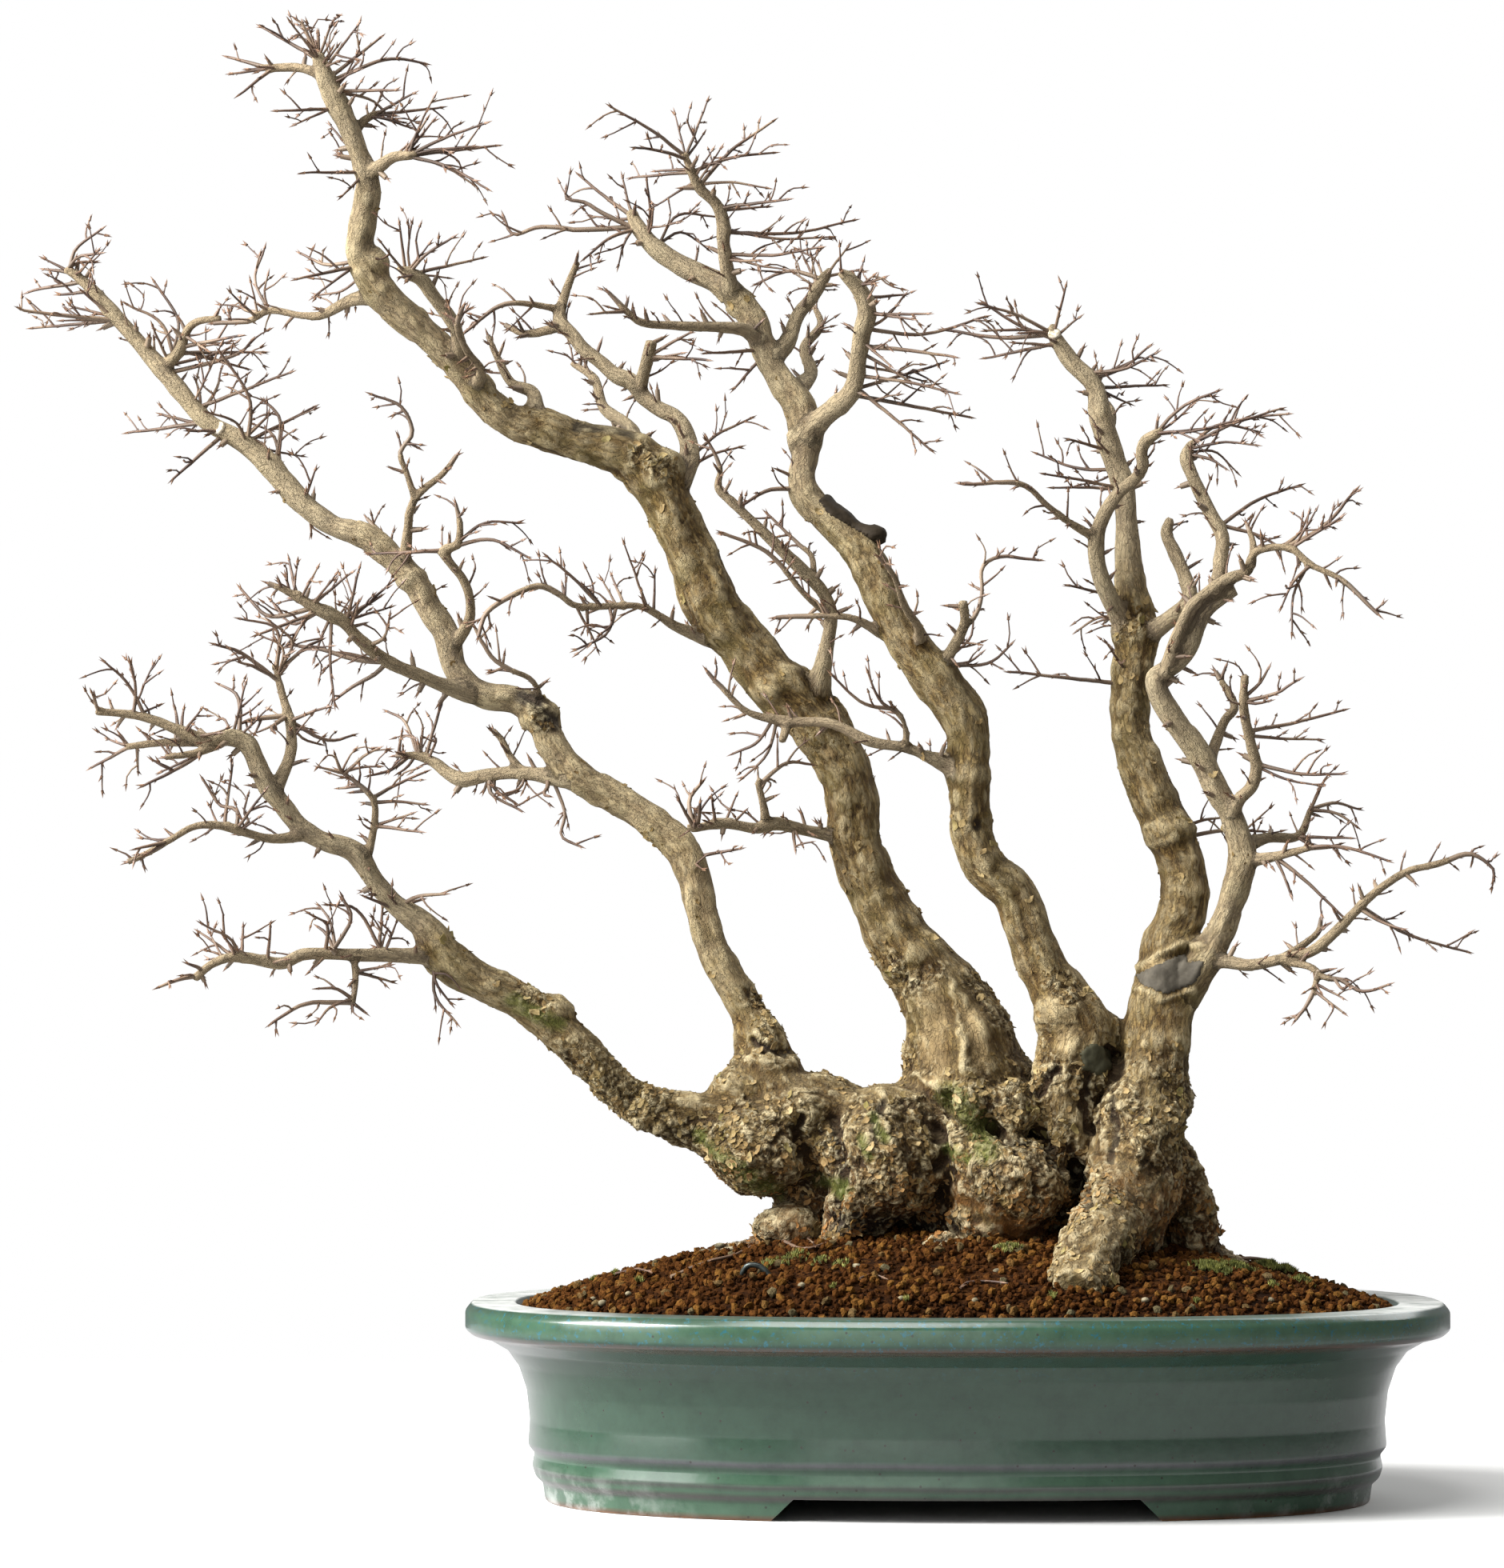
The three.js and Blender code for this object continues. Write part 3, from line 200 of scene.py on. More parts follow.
# Materials
def linear(code):
    # an sRGB hex value as linear colour
    parts = [int(code[i:i + 2], 16) / 255 for i in (1, 3, 5)]
    return tuple(c / 12.92 if c <= 0.04045 else ((c + 0.055) / 1.055) ** 2.4 for c in parts) + (1,)


def feed(made, inputs):
    # an input takes a plain value, or the node or socket that feeds it
    for key, value in inputs.items():
        if isinstance(value, bpy.types.Node):
            value = next(out for out in value.outputs if out.enabled)
        if isinstance(value, bpy.types.NodeSocket):
            made.id_data.links.new(value, made.inputs[key])
        else:
            made.inputs[key].default_value = value


def node(tree, kind, inputs=None, stops=(), **settings):
    # adds a node of this kind with its settings and colour stops, and feeds it
    families = ("ShaderNode",)
    if tree.bl_idname == "GeometryNodeTree":
        families = ("GeometryNode", "FunctionNode", "ShaderNode", "Node")
    made = tree.nodes.new(next(f + kind for f in families if hasattr(bpy.types, f + kind)))
    for key, value in settings.items():
        setattr(made, key, value)
    for _ in stops[2:]:
        made.color_ramp.elements.new(0.5)
    for k, (at, code) in enumerate(stops):
        made.color_ramp.elements[k].position = at
        made.color_ramp.elements[k].color = linear(code)
    feed(made, inputs or {})
    return made


def newMaterial(name):
    # the material, what adds a node to it, and its shader
    material = bpy.data.materials.new(name)
    material.use_nodes = True
    return material, partial(node, material.node_tree), material.node_tree.nodes["Principled BSDF"]


def inMilli(add):
    # the place on the piece, in mm
    return add("VectorMath", {0: add("TexCoord").outputs["Object"], "Scale": 1000.0}, operation="SCALE")


# Geometry trees
def newTree(name, inputs):
    # the tree, what adds a node to it, its inputs by name, and its end; inputs gives their kinds
    tree = bpy.data.node_groups.new(name, "GeometryNodeTree")
    tree.interface.new_socket("Geometry", in_out="INPUT", socket_type="NodeSocketGeometry")
    tree.interface.new_socket("Geometry", in_out="OUTPUT", socket_type="NodeSocketGeometry")
    for title, kind in inputs.items():
        tree.interface.new_socket(title, in_out="INPUT", socket_type="NodeSocket" + kind)
    add = partial(node, tree)
    return tree, add, add("GroupInput").outputs, add("GroupOutput")


def grown(piece, tree, values):
    # runs the tree on the piece, and keeps what it makes as a plain mesh
    modifier = piece.modifiers.new(tree.name, "NODES")
    modifier.node_group = tree
    for item in tree.interface.items_tree:
        if item.item_type == "SOCKET" and item.in_out == "INPUT" and item.name in values:
            modifier[item.identifier] = values[item.name]
    return applied(piece)


# The tree, limb by limb: across, up, radius and depth, from root to tip
limbs = {
    "trunkA": [
        [-112, 222, 30, 2], [-135, 228, 24, 0], [-158, 234, 17, -3], [-188, 240, 14, -8],
        [-210, 251, 13, -12], [-223, 266, 13, -15], [-248, 291, 12.5, -20], [-273, 309, 12, -25],
        [-298, 321, 12, -30], [-318, 335, 13, -34], [-332, 355, 9, -38], [-350, 368, 7, -42],
        [-362, 382, 6.4, -45], [-376, 402, 7, -50], [-396, 408.5, 6, -54], [-410, 417.5, 6.4, -57],
        [-421, 431, 6, -60], [-430, 442, 6.4, -63], [-437, 457, 6, -66], [-443, 469, 6.4, -68],
        [-454, 473, 5.5, -70], [-468, 471, 5, -72], [-485, 477, 3.8, -75], [-502, 484, 3, -77],
        [-518, 487.5, 2.6, -79], [-538, 489, 2.4, -81],
    ],
    "branchA1": [
        [-424, 442, 5, -61], [-415.5, 463, 3.8, -52], [-416, 482, 3.2, -46], [-421, 500, 2.6, -42],
        [-425, 516, 2, -40],
    ],
    "branchA2": [
        [-404, 412, 4.5, -56], [-428, 409.5, 3.1, -68], [-446, 414, 2.8, -76], [-462, 418, 2.7, -82],
        [-476, 417, 2.4, -86], [-491, 408.5, 2.2, -90], [-503, 401.5, 2.2, -92], [-517, 395, 1.7, -94],
    ],
    "branchA3": [
        [-368, 394, 3.2, -48], [-363, 419.5, 2.3, -58], [-363.5, 433, 2.2, -64], [-372, 443, 1.6, -68],
        [-385, 452, 1, -70],
    ],
    "branchA4": [
        [-324, 336, 6, -36], [-345, 336.5, 4.8, -46], [-375, 337, 4.2, -58], [-408, 337, 4, -68],
        [-420, 331.5, 4, -72], [-442, 335, 3.8, -78], [-455, 335, 3.2, -82], [-466, 330, 2.8, -84],
        [-475, 322, 2.6, -86],
    ],
    "branchA5": [[-376, 337, 2.4, -58], [-374.5, 321, 2.1, -60], [-376.5, 305, 1.8, -62]],
    "branchA6": [[-472, 470, 3.4, -72], [-497, 469.5, 2.7, -66], [-519, 467, 2.3, -62]],
    "branchA7": [[-462, 468, 3, -72], [-476, 463, 2.4, -78], [-494, 460.5, 1.8, -82]],

    "trunkB": [
        [-116, 245, 26, 8], [-120, 277, 19, 12], [-128, 301, 12.5, 14], [-141, 321, 11, 16],
        [-152.5, 344, 10.5, 19], [-159, 366, 11, 21], [-163.5, 388, 10.5, 24], [-170.5, 404, 11, 26],
        [-186, 417.5, 11, 28], [-208, 433, 10, 31], [-235, 448.5, 10, 34], [-253, 469, 10, 37],
        [-260.5, 488, 11.5, 39], [-274, 496, 9, 40], [-296, 500, 8.5, 42], [-312, 515.5, 8, 44],
        [-318.5, 538, 8.5, 46], [-327.5, 551.5, 8.5, 47], [-338.5, 571.5, 8.5, 48], [-352, 585, 8.5, 49],
        [-366, 597, 8.8, 50], [-378, 602, 8, 50], [-389, 605.5, 6.8, 51], [-408.5, 620, 7, 52],
        [-426.5, 640, 7.3, 54], [-447.5, 659, 6.5, 56], [-469, 671.5, 5.6, 58], [-486.5, 691.5, 5.8, 60],
        [-497.5, 704, 6.4, 61], [-516.5, 726.5, 5, 63], [-530, 741.5, 5.2, 64], [-545, 758, 3.7, 66],
        [-557.5, 767.5, 2.5, 67],
    ],
    "branchB1": [
        [-494, 707, 4.2, 60], [-486.5, 715, 3.9, 52], [-481, 729, 3, 46], [-475, 734, 2.7, 43],
        [-460, 736, 2.4, 40],
    ],
    "branchB2": [
        [-345, 580, 4.5, 46], [-342.5, 604, 3, 34], [-341.5, 614, 2.8, 30], [-336.5, 625, 2.7, 26],
        [-320, 639, 1.9, 22], [-312, 650, 1.4, 20],
    ],
    "branchB2left": [
        [-338, 622, 2.4, 27], [-343.5, 639, 2, 24], [-347.5, 651, 1.7, 22], [-340, 664, 1.6, 20],
        [-347.5, 681, 1.3, 18], [-365, 688, 0.9, 17],
    ],
    "branchB3": [
        [-314, 530, 5, 42], [-304, 546.5, 3.4, 32], [-304, 561.5, 3, 26], [-308.5, 573, 3, 22],
        [-316.5, 583, 3, 18], [-320, 590, 4, 16], [-311.5, 594, 2.6, 14], [-310, 606.5, 2.2, 12],
        [-312.5, 619, 1.2, 10],
    ],
    "branchB4": [
        [-301, 500, 7, 41], [-322.5, 506.5, 4.7, 28], [-337.5, 513, 4.5, 20], [-350, 518, 4.3, 14],
        [-362.5, 525.5, 4.5, 8], [-375, 536.5, 4, 2], [-382.5, 545, 4, -2], [-391, 550, 5.4, -5],
        [-400, 554, 4.2, -8], [-417, 564, 2.4, -12], [-430, 569.5, 1.5, -14],
    ],
    "branchB5": [
        [-242, 447, 7, 33], [-262.5, 450, 5, 46], [-277.5, 451, 4.5, 56], [-295, 449, 4.5, 66],
        [-307.5, 446.5, 5.5, 72], [-317, 450.5, 5, 76], [-325, 457, 4.2, 79], [-337.5, 461.5, 2.8, 82],
        [-350, 461.5, 1.6, 84],
    ],
    "branchB5up": [
        [-270, 451, 3, 50], [-278.5, 461.5, 2.3, 56], [-283.5, 471.5, 2.2, 60], [-289, 477, 1.9, 63],
    ],
    "branchB6": [
        [-258, 494, 2.6, 40], [-265, 509, 1.8, 30], [-277.5, 515, 1.7, 24], [-288, 521.5, 1.6, 20],
        [-295, 531, 1.5, 17], [-300, 541, 1.2, 15],
    ],

    "trunkC": [
        [3, 175, 34, 8], [10, 208, 41, 8], [10, 236, 42, 9], [5, 264, 40, 10], [-3, 297, 31, 11],
        [-18.5, 326, 24, 12], [-34, 346, 19.5, 12], [-45.5, 366, 18, 12], [-54, 384, 17.5, 12],
        [-63, 411, 16, 12], [-64.5, 433, 16.5, 12], [-70, 455.5, 17, 12], [-85.5, 480, 18.5, 12],
        [-108, 502.5, 18, 12], [-132.5, 531.5, 17.5, 11], [-150, 552, 17.8, 10], [-159, 576, 16.5, 8],
        [-170, 599, 16.5, 6], [-187.5, 634, 16.5, 2], [-200, 648, 16, 0], [-217.5, 655, 15, -2],
        [-237.5, 659, 13, -5], [-257.5, 666, 12.5, -8], [-277.5, 671, 11, -11], [-292.5, 683, 11, -14],
        [-305, 699, 10, -17], [-317.5, 713, 9.5, -20], [-337.5, 731.5, 9.5, -24], [-357.5, 750, 10, -28],
        [-367.5, 764, 10, -30], [-373.5, 780, 9, -32], [-371, 796, 8.5, -34], [-368, 820, 7.7, -37],
        [-374, 840, 6.5, -40], [-382, 860, 6.8, -42], [-389, 874, 7.3, -43], [-394, 885, 6.8, -44],
        [-400, 902, 4, -45],
    ],
    "branchC1": [
        [-361, 750, 7, -28], [-377.5, 748, 4.2, -18], [-387.5, 743, 3.6, -12], [-397.5, 738, 2.9, -6],
        [-410, 738, 2.4, 0], [-430, 741, 2.5, 9], [-441.5, 735, 1.9, 13], [-465, 733, 1.2, 20],
    ],
    "branchC2": [
        [-309, 703, 6.5, -18], [-310, 714, 5.2, -26], [-311.5, 724, 4.7, -32], [-315, 734, 4.8, -37],
        [-327.5, 751, 4.5, -46], [-335, 761.5, 4.5, -51], [-346, 765, 4, -54],
    ],
    "branchC3": [
        [-172, 632, 8, 4], [-166, 649, 6.5, 14], [-168.5, 664, 6, 22], [-175, 674, 5.5, 27],
        [-185, 679, 5, 31], [-195, 686.5, 5, 35], [-202.5, 696, 5.5, 39], [-212.5, 700, 5.3, 42],
        [-222.5, 709, 4.6, 46], [-232.5, 716.5, 4.5, 49], [-240, 726.5, 4.5, 53], [-247.5, 734, 4.8, 56],
        [-244.5, 751, 3, 61], [-236.5, 772, 2.2, 66],
    ],
    "branchC3left": [[-246, 731, 3.4, 55], [-270, 726.5, 2.5, 64], [-282, 732, 1.7, 68]],
    "branchC3thin": [[-246, 742, 2.4, 58], [-282.5, 745, 1.6, 50], [-307.5, 727, 0.9, 46]],
    "branchC3stub": [[-198, 689, 5, 36], [-194, 705, 4.2, 30], [-190, 722, 4, 25]],
    "branchC4": [
        [-88, 497, 12, 10], [-83, 514, 6.4, 0], [-80, 530, 4.6, -6], [-77.5, 551, 4.4, -12],
        [-82.5, 564, 4.2, -15], [-92.5, 575, 4.4, -18], [-105, 587, 4, -21], [-125, 606.5, 3.3, -25],
        [-140, 621, 3, -28], [-148, 629, 2.6, -29], [-147, 642, 1.8, -30], [-155, 660, 0.9, -31],
    ],
    "branchC4low": [
        [-78, 549, 3, -12], [-92.5, 561, 1.8, -22], [-117.5, 589, 1.6, -33], [-145, 601, 1.1, -40],
    ],
    "branchC4side": [
        [-88, 572, 2.4, -17], [-90, 587, 1.9, -8], [-97.5, 594, 1.6, -4], [-117, 613, 0.9, 2],
    ],
    "branchC5": [
        [-263.5, 672, 8, -9], [-264, 689, 4.5, -2], [-277.5, 695, 3.2, 6], [-286.5, 711, 2.4, 12],
        [-292.5, 725, 1.8, 16],
    ],
    "branchC6": [[-394, 888, 4, -44], [-410, 894, 3.1, -38], [-432.5, 894, 2.8, -30]],
    "branchC7": [
        [-370, 826, 6, -38], [-361, 832, 4.4, -46], [-352, 838, 3.6, -52], [-341, 839, 2.8, -58],
    ],
    "branchC8": [[-379, 851, 4, -41], [-370, 861.5, 2.7, -34], [-363, 865, 2.3, -30]],
    "branchC9": [
        [-152, 534, 6, 9], [-175, 542.5, 3.4, -2], [-185, 549, 2.8, -8], [-197, 555, 2.4, -14],
        [-237.5, 555.5, 2.2, -30], [-247, 562, 2, -34], [-260, 568, 2, -38], [-277.5, 561.5, 1.8, -43],
        [-294, 550, 1.5, -47], [-298, 536.5, 1.2, -49],
    ],
    "branchC10": [
        [-68, 410, 6, 10], [-92.5, 414.5, 3.8, -2], [-113, 419, 4.6, -12], [-123, 416, 3.8, -17],
        [-145, 419, 3.5, -26], [-165, 415.5, 2.3, -33],
    ],
    "branchC10up": [[-118, 418, 3.4, -14], [-120, 431, 2.4, -20], [-123.5, 445, 1.9, -25]],

    "trunkD": [
        [70, 205, 16, -20], [67.5, 239, 21, -18], [69.5, 267.5, 22, -14], [77, 289, 21, -10],
        [66, 310, 18.5, -8], [55, 328, 15.5, -8], [46, 350, 14, -9], [35, 377, 14, -11],
        [19.5, 391, 14, -13], [10.5, 411, 13, -15], [8.5, 433, 12.5, -17], [8.5, 455.5, 13.5, -18],
        [6, 482, 15, -19], [-9.5, 507, 15, -19], [-29.5, 531.5, 13.5, -18], [-43, 556, 12.5, -16],
        [-52, 578, 12.5, -14], [-60, 591.5, 12, -12], [-72.5, 604, 11, -9], [-92.5, 624, 9.5, -5],
        [-96, 636, 8.3, -3], [-94, 648, 8.6, -1], [-94, 664, 9.6, 2], [-98, 681.5, 9.5, 6],
        [-107, 694, 9, 9], [-117.5, 711.5, 8.4, 13], [-125, 734, 9, 18], [-135, 746.5, 9, 21],
        [-145, 756.5, 8, 24], [-167.5, 767, 7, 29], [-188, 780.5, 6, 34], [-200, 796.5, 4.8, 39],
        [-203, 804, 3.8, 41],
    ],
    "branchD1": [
        [-97, 660, 8.5, 1], [-82.5, 674, 7, -8], [-65, 689, 6, -18], [-60, 714, 5.4, -28],
        [-58, 728, 6.2, -33], [-55, 738, 6.2, -36], [-57, 750, 5.6, -40], [-66, 761.5, 4.6, -44],
        [-72, 765.5, 2.8, -46],
    ],
    "branchD2": [
        [-138, 747, 7, 21], [-142, 762, 4.8, 14], [-145, 784, 4.5, 6], [-145, 797, 5, 2],
        [-150, 809, 3.6, -2], [-160, 818, 3.5, -6], [-166, 831.5, 2.8, -10], [-170, 840, 1.8, -12],
    ],
    "branchD3": [
        [-122, 722, 6, 14], [-132.5, 729, 4.5, 4], [-147.5, 730.5, 3.6, -6], [-175, 731.5, 3, -20],
        [-197.5, 734, 2.5, -30], [-207, 742, 2.2, -34], [-217.5, 753, 1.2, -38],
    ],
    "branchD4": [
        [-114, 711, 7, 12], [-105, 721, 6, 22], [-97.5, 739, 4.6, 33], [-90, 748, 4.4, 38],
        [-80, 764, 3.6, 46],
    ],
    "branchD5": [
        [3, 452, 7, -20], [-17.5, 461.5, 4.2, -28], [-30, 466.5, 3.7, -31], [-52, 470, 3.5, -33],
        [-77.5, 481.5, 3.2, -32], [-105, 483, 3.6, -30], [-130, 489, 2, -34], [-147.5, 506, 1.6, -38],
        [-155, 514, 1.2, -40],
    ],
    "branchD5up": [[-30, 465, 2.8, -31], [-31.5, 482, 2.1, -38], [-39, 492, 1.7, -42]],
    "branchD5down": [[-104, 483, 3.4, -30], [-108.5, 470, 2.5, -36]],
    "branchD6": [[-10, 515, 6, -19], [-3, 526, 3.8, -30], [6, 544.5, 3.4, -42], [5, 558, 3.3, -50]],
    "branchD6thin": [
        [6, 543, 2.4, -42], [12, 548, 1.8, -38], [17, 562, 1.5, -34], [17.5, 580, 1.4, -30],
        [28, 586, 1.2, -28], [52, 584, 0.9, -24],
    ],
    "branchD7": [[-46, 538, 4, -18], [-62.5, 547, 2.3, -26], [-75, 549, 2.1, -28], [-112, 548, 1.3, -28]],

    "trunkE": [
        [100, 146, 20, -34], [104, 168, 26, -38], [110, 193, 29, -36], [113, 216, 27.5, -31],
        [117.5, 238.5, 26, -25], [124, 261, 22.5, -19], [126.5, 283, 21.5, -14], [128.5, 305.5, 20, -10],
        [131.5, 322, 18, -7], [133.5, 344, 16, -4], [141, 361, 15, -1], [143.5, 376, 15, 1],
        [141.5, 394, 15, 3], [134, 414, 15.5, 6], [125, 434, 14.5, 9], [117.5, 454, 14, 12],
        [110, 474, 12.5, 15], [109, 489, 13, 17], [110, 509, 12, 19], [114.5, 536, 14, 21],
        [112.5, 554, 12.6, 22], [110, 569, 10, 23], [108.5, 584, 8.5, 24], [107.5, 614, 7.1, 27],
        [106, 630, 7.4, 28], [100, 647, 7, 30], [92, 673, 7.8, 33], [87.5, 694, 6, 35],
        [73, 709, 5.8, 38], [61, 728, 4, 41],
    ],
    "branchE2": [
        [106, 545, 8, 18], [97, 561, 6, 6], [90, 579, 5.5, 0], [88.5, 595, 5.4, -3], [92, 609, 4.9, -6],
        [102.5, 626, 4.5, -11], [113, 635, 4, -14], [118, 643, 4, -17], [117, 652, 4, -20],
        [120, 659, 4.3, -23], [127.5, 664, 3.6, -27],
    ],
    "branchE2left": [
        [88, 598, 3.2, -4], [70, 609, 2.2, -14], [57.5, 619, 2, -20], [42.5, 631.5, 1.8, -27],
        [6, 631.5, 0.9, -40],
    ],
    "branchE3": [
        [131, 512, 4.6, -30], [140, 539, 3.8, -36], [148, 555, 4, -37], [160, 565, 4, -36],
        [171, 572, 3.9, -35], [183, 577, 3.4, -34], [188, 589, 2.7, -38], [210, 591.5, 2.4, -48],
        [222.5, 581.5, 2.2, -54], [242.5, 571.5, 1.9, -62], [265, 550, 1.1, -72],
    ],
    "branchE4": [
        [118, 536, 8, 18], [133, 546, 5.4, 8], [147, 559, 5, 2], [144, 574, 4.5, 8],
        [137.5, 589, 4.3, 14], [132.5, 601, 4, 19], [135, 610, 2.8, 22],
    ],
    "branchE5": [
        [160, 561, 4.6, -34], [165, 574, 4.5, -26], [166.5, 585, 4.9, -20], [167.5, 599, 4.6, -14],
        [160, 614, 4.7, -7], [149, 637, 4.4, 3], [145, 649, 4.4, 8], [149, 658, 2.6, 12],
    ],
    "branchE6": [[186, 580, 2.9, -36], [187, 594, 2.2, -28], [183, 607, 1.7, -22]],

    "trunkF": [
        [138, 306, 12, -14], [147.5, 321.5, 11, -16], [157.5, 336, 10, -18], [163, 347, 8.3, -19],
        [170, 364, 8.5, -20], [175.5, 380, 9.4, -21], [179.5, 395, 9.3, -22], [177.5, 409, 8, -22],
        [172, 425, 7.6, -21], [162.5, 442, 8.2, -21], [154, 460, 8.2, -21], [140, 479, 7.4, -22],
        [128, 499, 7, -23], [126, 510, 6.8, -24], [134, 516, 6.4, -27], [142.5, 523, 6, -29],
        [148, 536, 6.8, -30], [153, 549, 6, -30], [162.5, 559, 6, -30], [175, 566.5, 5.4, -30],
    ],
    "branchF1": [
        [171, 418, 5.6, -22], [177.5, 434, 4, -30], [185, 441.5, 4, -34], [188.5, 454, 3.9, -39],
        [185, 469, 3.6, -44], [180.5, 492, 3.2, -51], [181.5, 512, 2.2, -57],
    ],
    "branchF2": [
        [158, 455, 5, -21], [162.5, 468, 3.8, -10], [169, 484, 3, -2], [175, 492, 2.8, 2],
        [163, 514, 1.7, 9],
    ],
    "branchF3": [[178, 404, 6, -22], [195, 410, 3.7, -8], [215, 411.5, 3, 6], [222.5, 429, 1.8, 14]],
    "branchF4": [[181, 395, 5, -22], [202.5, 399, 3, -36], [222.5, 404, 1.8, -46]],
    "branchG": [
        [152, 331, 7, -17], [166, 333, 4.6, -24], [182.5, 330.5, 3.8, -32], [202.5, 334, 3.7, -41],
        [222.5, 339, 3.6, -49], [235, 349, 3.5, -53], [247.5, 361.5, 3.3, -56], [260, 374, 3, -58],
        [282.5, 389, 2.4, -61], [302.5, 394, 2, -63], [322.5, 400, 1.5, -64], [341.5, 386.5, 0.8, -66],
    ],
    "branchG2": [
        [203, 334, 3.2, -41], [218.5, 344, 2.4, -30], [227, 352, 2, -24], [228.5, 360, 1.4, -22],
    ],
    "branchG3": [
        [205, 333, 3, -42], [222.5, 329, 2.3, -56], [230, 323, 2, -62], [242.5, 321.5, 1.3, -66],
    ],
    "branchG4": [[227, 327, 2, -60], [222, 310, 1.6, -64], [212.5, 296.5, 1, -66]],

    # Branches that grow back and forward, hardly seen from the front
    "branchB7": [
        [-330, 553, 5, 50], [-336, 566, 4, 72], [-350, 578, 3.2, 96], [-356, 596, 2.4, 116],
        [-368, 610, 1.5, 130],
    ],
    "branchC11": [
        [-196, 650, 8, 8], [-205, 668, 5, 34], [-220, 680, 4, 58], [-226, 698, 3.2, 80],
        [-240, 708, 2, 98],
    ],
    "branchC12": [
        [-300, 694, 4.4, -20], [-297, 704, 2.8, -46], [-306, 716, 2.4, -70], [-312, 732, 1.9, -90],
        [-308, 744, 1.2, -104],
    ],
    "branchD8": [
        [-22, 530, 4.4, -20], [-23, 542, 2.8, -44], [-32, 556, 2.4, -66], [-38, 574, 2, -86],
        [-48, 586, 1.2, -102],
    ],
    "branchD9": [
        [-100, 690, 7, 10], [-90, 702, 4.6, 34], [-94, 718, 3.6, 56], [-84, 732, 2.6, 76],
        [-88, 744, 1.6, 90],
    ],
    "branchE7": [
        [112, 505, 8, 22], [104, 520, 5, 46], [108, 536, 4, 70], [98, 550, 3, 90], [102, 564, 1.8, 106],
    ],
    "branchE8": [[95, 664, 5, 34], [98, 676, 3.6, 56], [90, 690, 2.8, 76], [92, 704, 1.6, 90]],

    # Roots
    "rootA": [
        [-95, 178, 20, 12], [-106, 166, 17, 12], [-122, 155, 10, 13], [-142, 149, 7.5, 12],
        [-168, 138, 5, 10],
    ],
    "rootB": [
        [-62, 196, 16, -18], [-72, 176, 12, -26], [-75, 158, 10.5, -30], [-76, 138, 9, -32],
        [-78, 118, 6, -34],
    ],
    "rootC": [[0, 180, 32, 8], [0, 155, 28, 8], [0, 125, 20, 8], [0, 100, 10, 8]],
    "rootD": [[40, 180, 22, -20], [40, 160, 18, -24], [40, 138, 14, -26], [40, 116, 8, -28]],
    "rootE": [
        [110, 202, 27, -30], [103, 184, 26, -52], [94, 167, 23, -80], [86, 151, 21, -106],
        [79, 136, 20, -130], [75, 125, 16, -150],
    ],
    "rootF": [
        [128, 214, 18, -20], [141, 196, 16, -14], [147, 176, 15, -10], [149, 156, 13.5, -8],
        [149, 132, 10, -6], [148, 112, 6, -4],
    ],
    "rootG": [
        [148, 160, 10, -8], [160, 152, 7.5, -4], [176, 144, 5.5, 0], [194, 134, 4, 4], [208, 122, 3, 8],
    ],
    "rootH": [
        [-20, 190, 26, 30], [-26, 172, 20, 48], [-34, 156, 16, 62], [-46, 140, 12, 76],
        [-58, 122, 7, 90],
    ],
    "rootI": [
        [84, 222, 24, 2], [85, 196, 22, 10], [86, 172, 18, 30], [92, 156, 14, 48], [100, 140, 10, 62],
        [108, 122, 6, 74],
    ],
}

# The large burls of the base: across, up, depth, half sizes
burls = [
    [-118, 222, 6, 42, 38, 37],   # under the first two trunks
    [-84, 232, 4, 34, 34, 32],
    [-45, 214, -12, 44, 42, 40],  # the middle lobe, over a hollow
    [-18, 226, 8, 40, 40, 38],
    [33, 240, -26, 18, 14, 17],   # small burl at the foot of the third trunk
    [34, 196, -38, 36, 27, 29],   # big burl in front
    [5, 200, 20, 44, 38, 40],
    [86, 262, -14, 18, 17, 15],   # saddle between the last two trunks
    [88, 232, 2, 30, 28, 30],
    [140, 246, -20, 8, 9, 10],
    [10, 243, -36, 13, 8, 14],
]
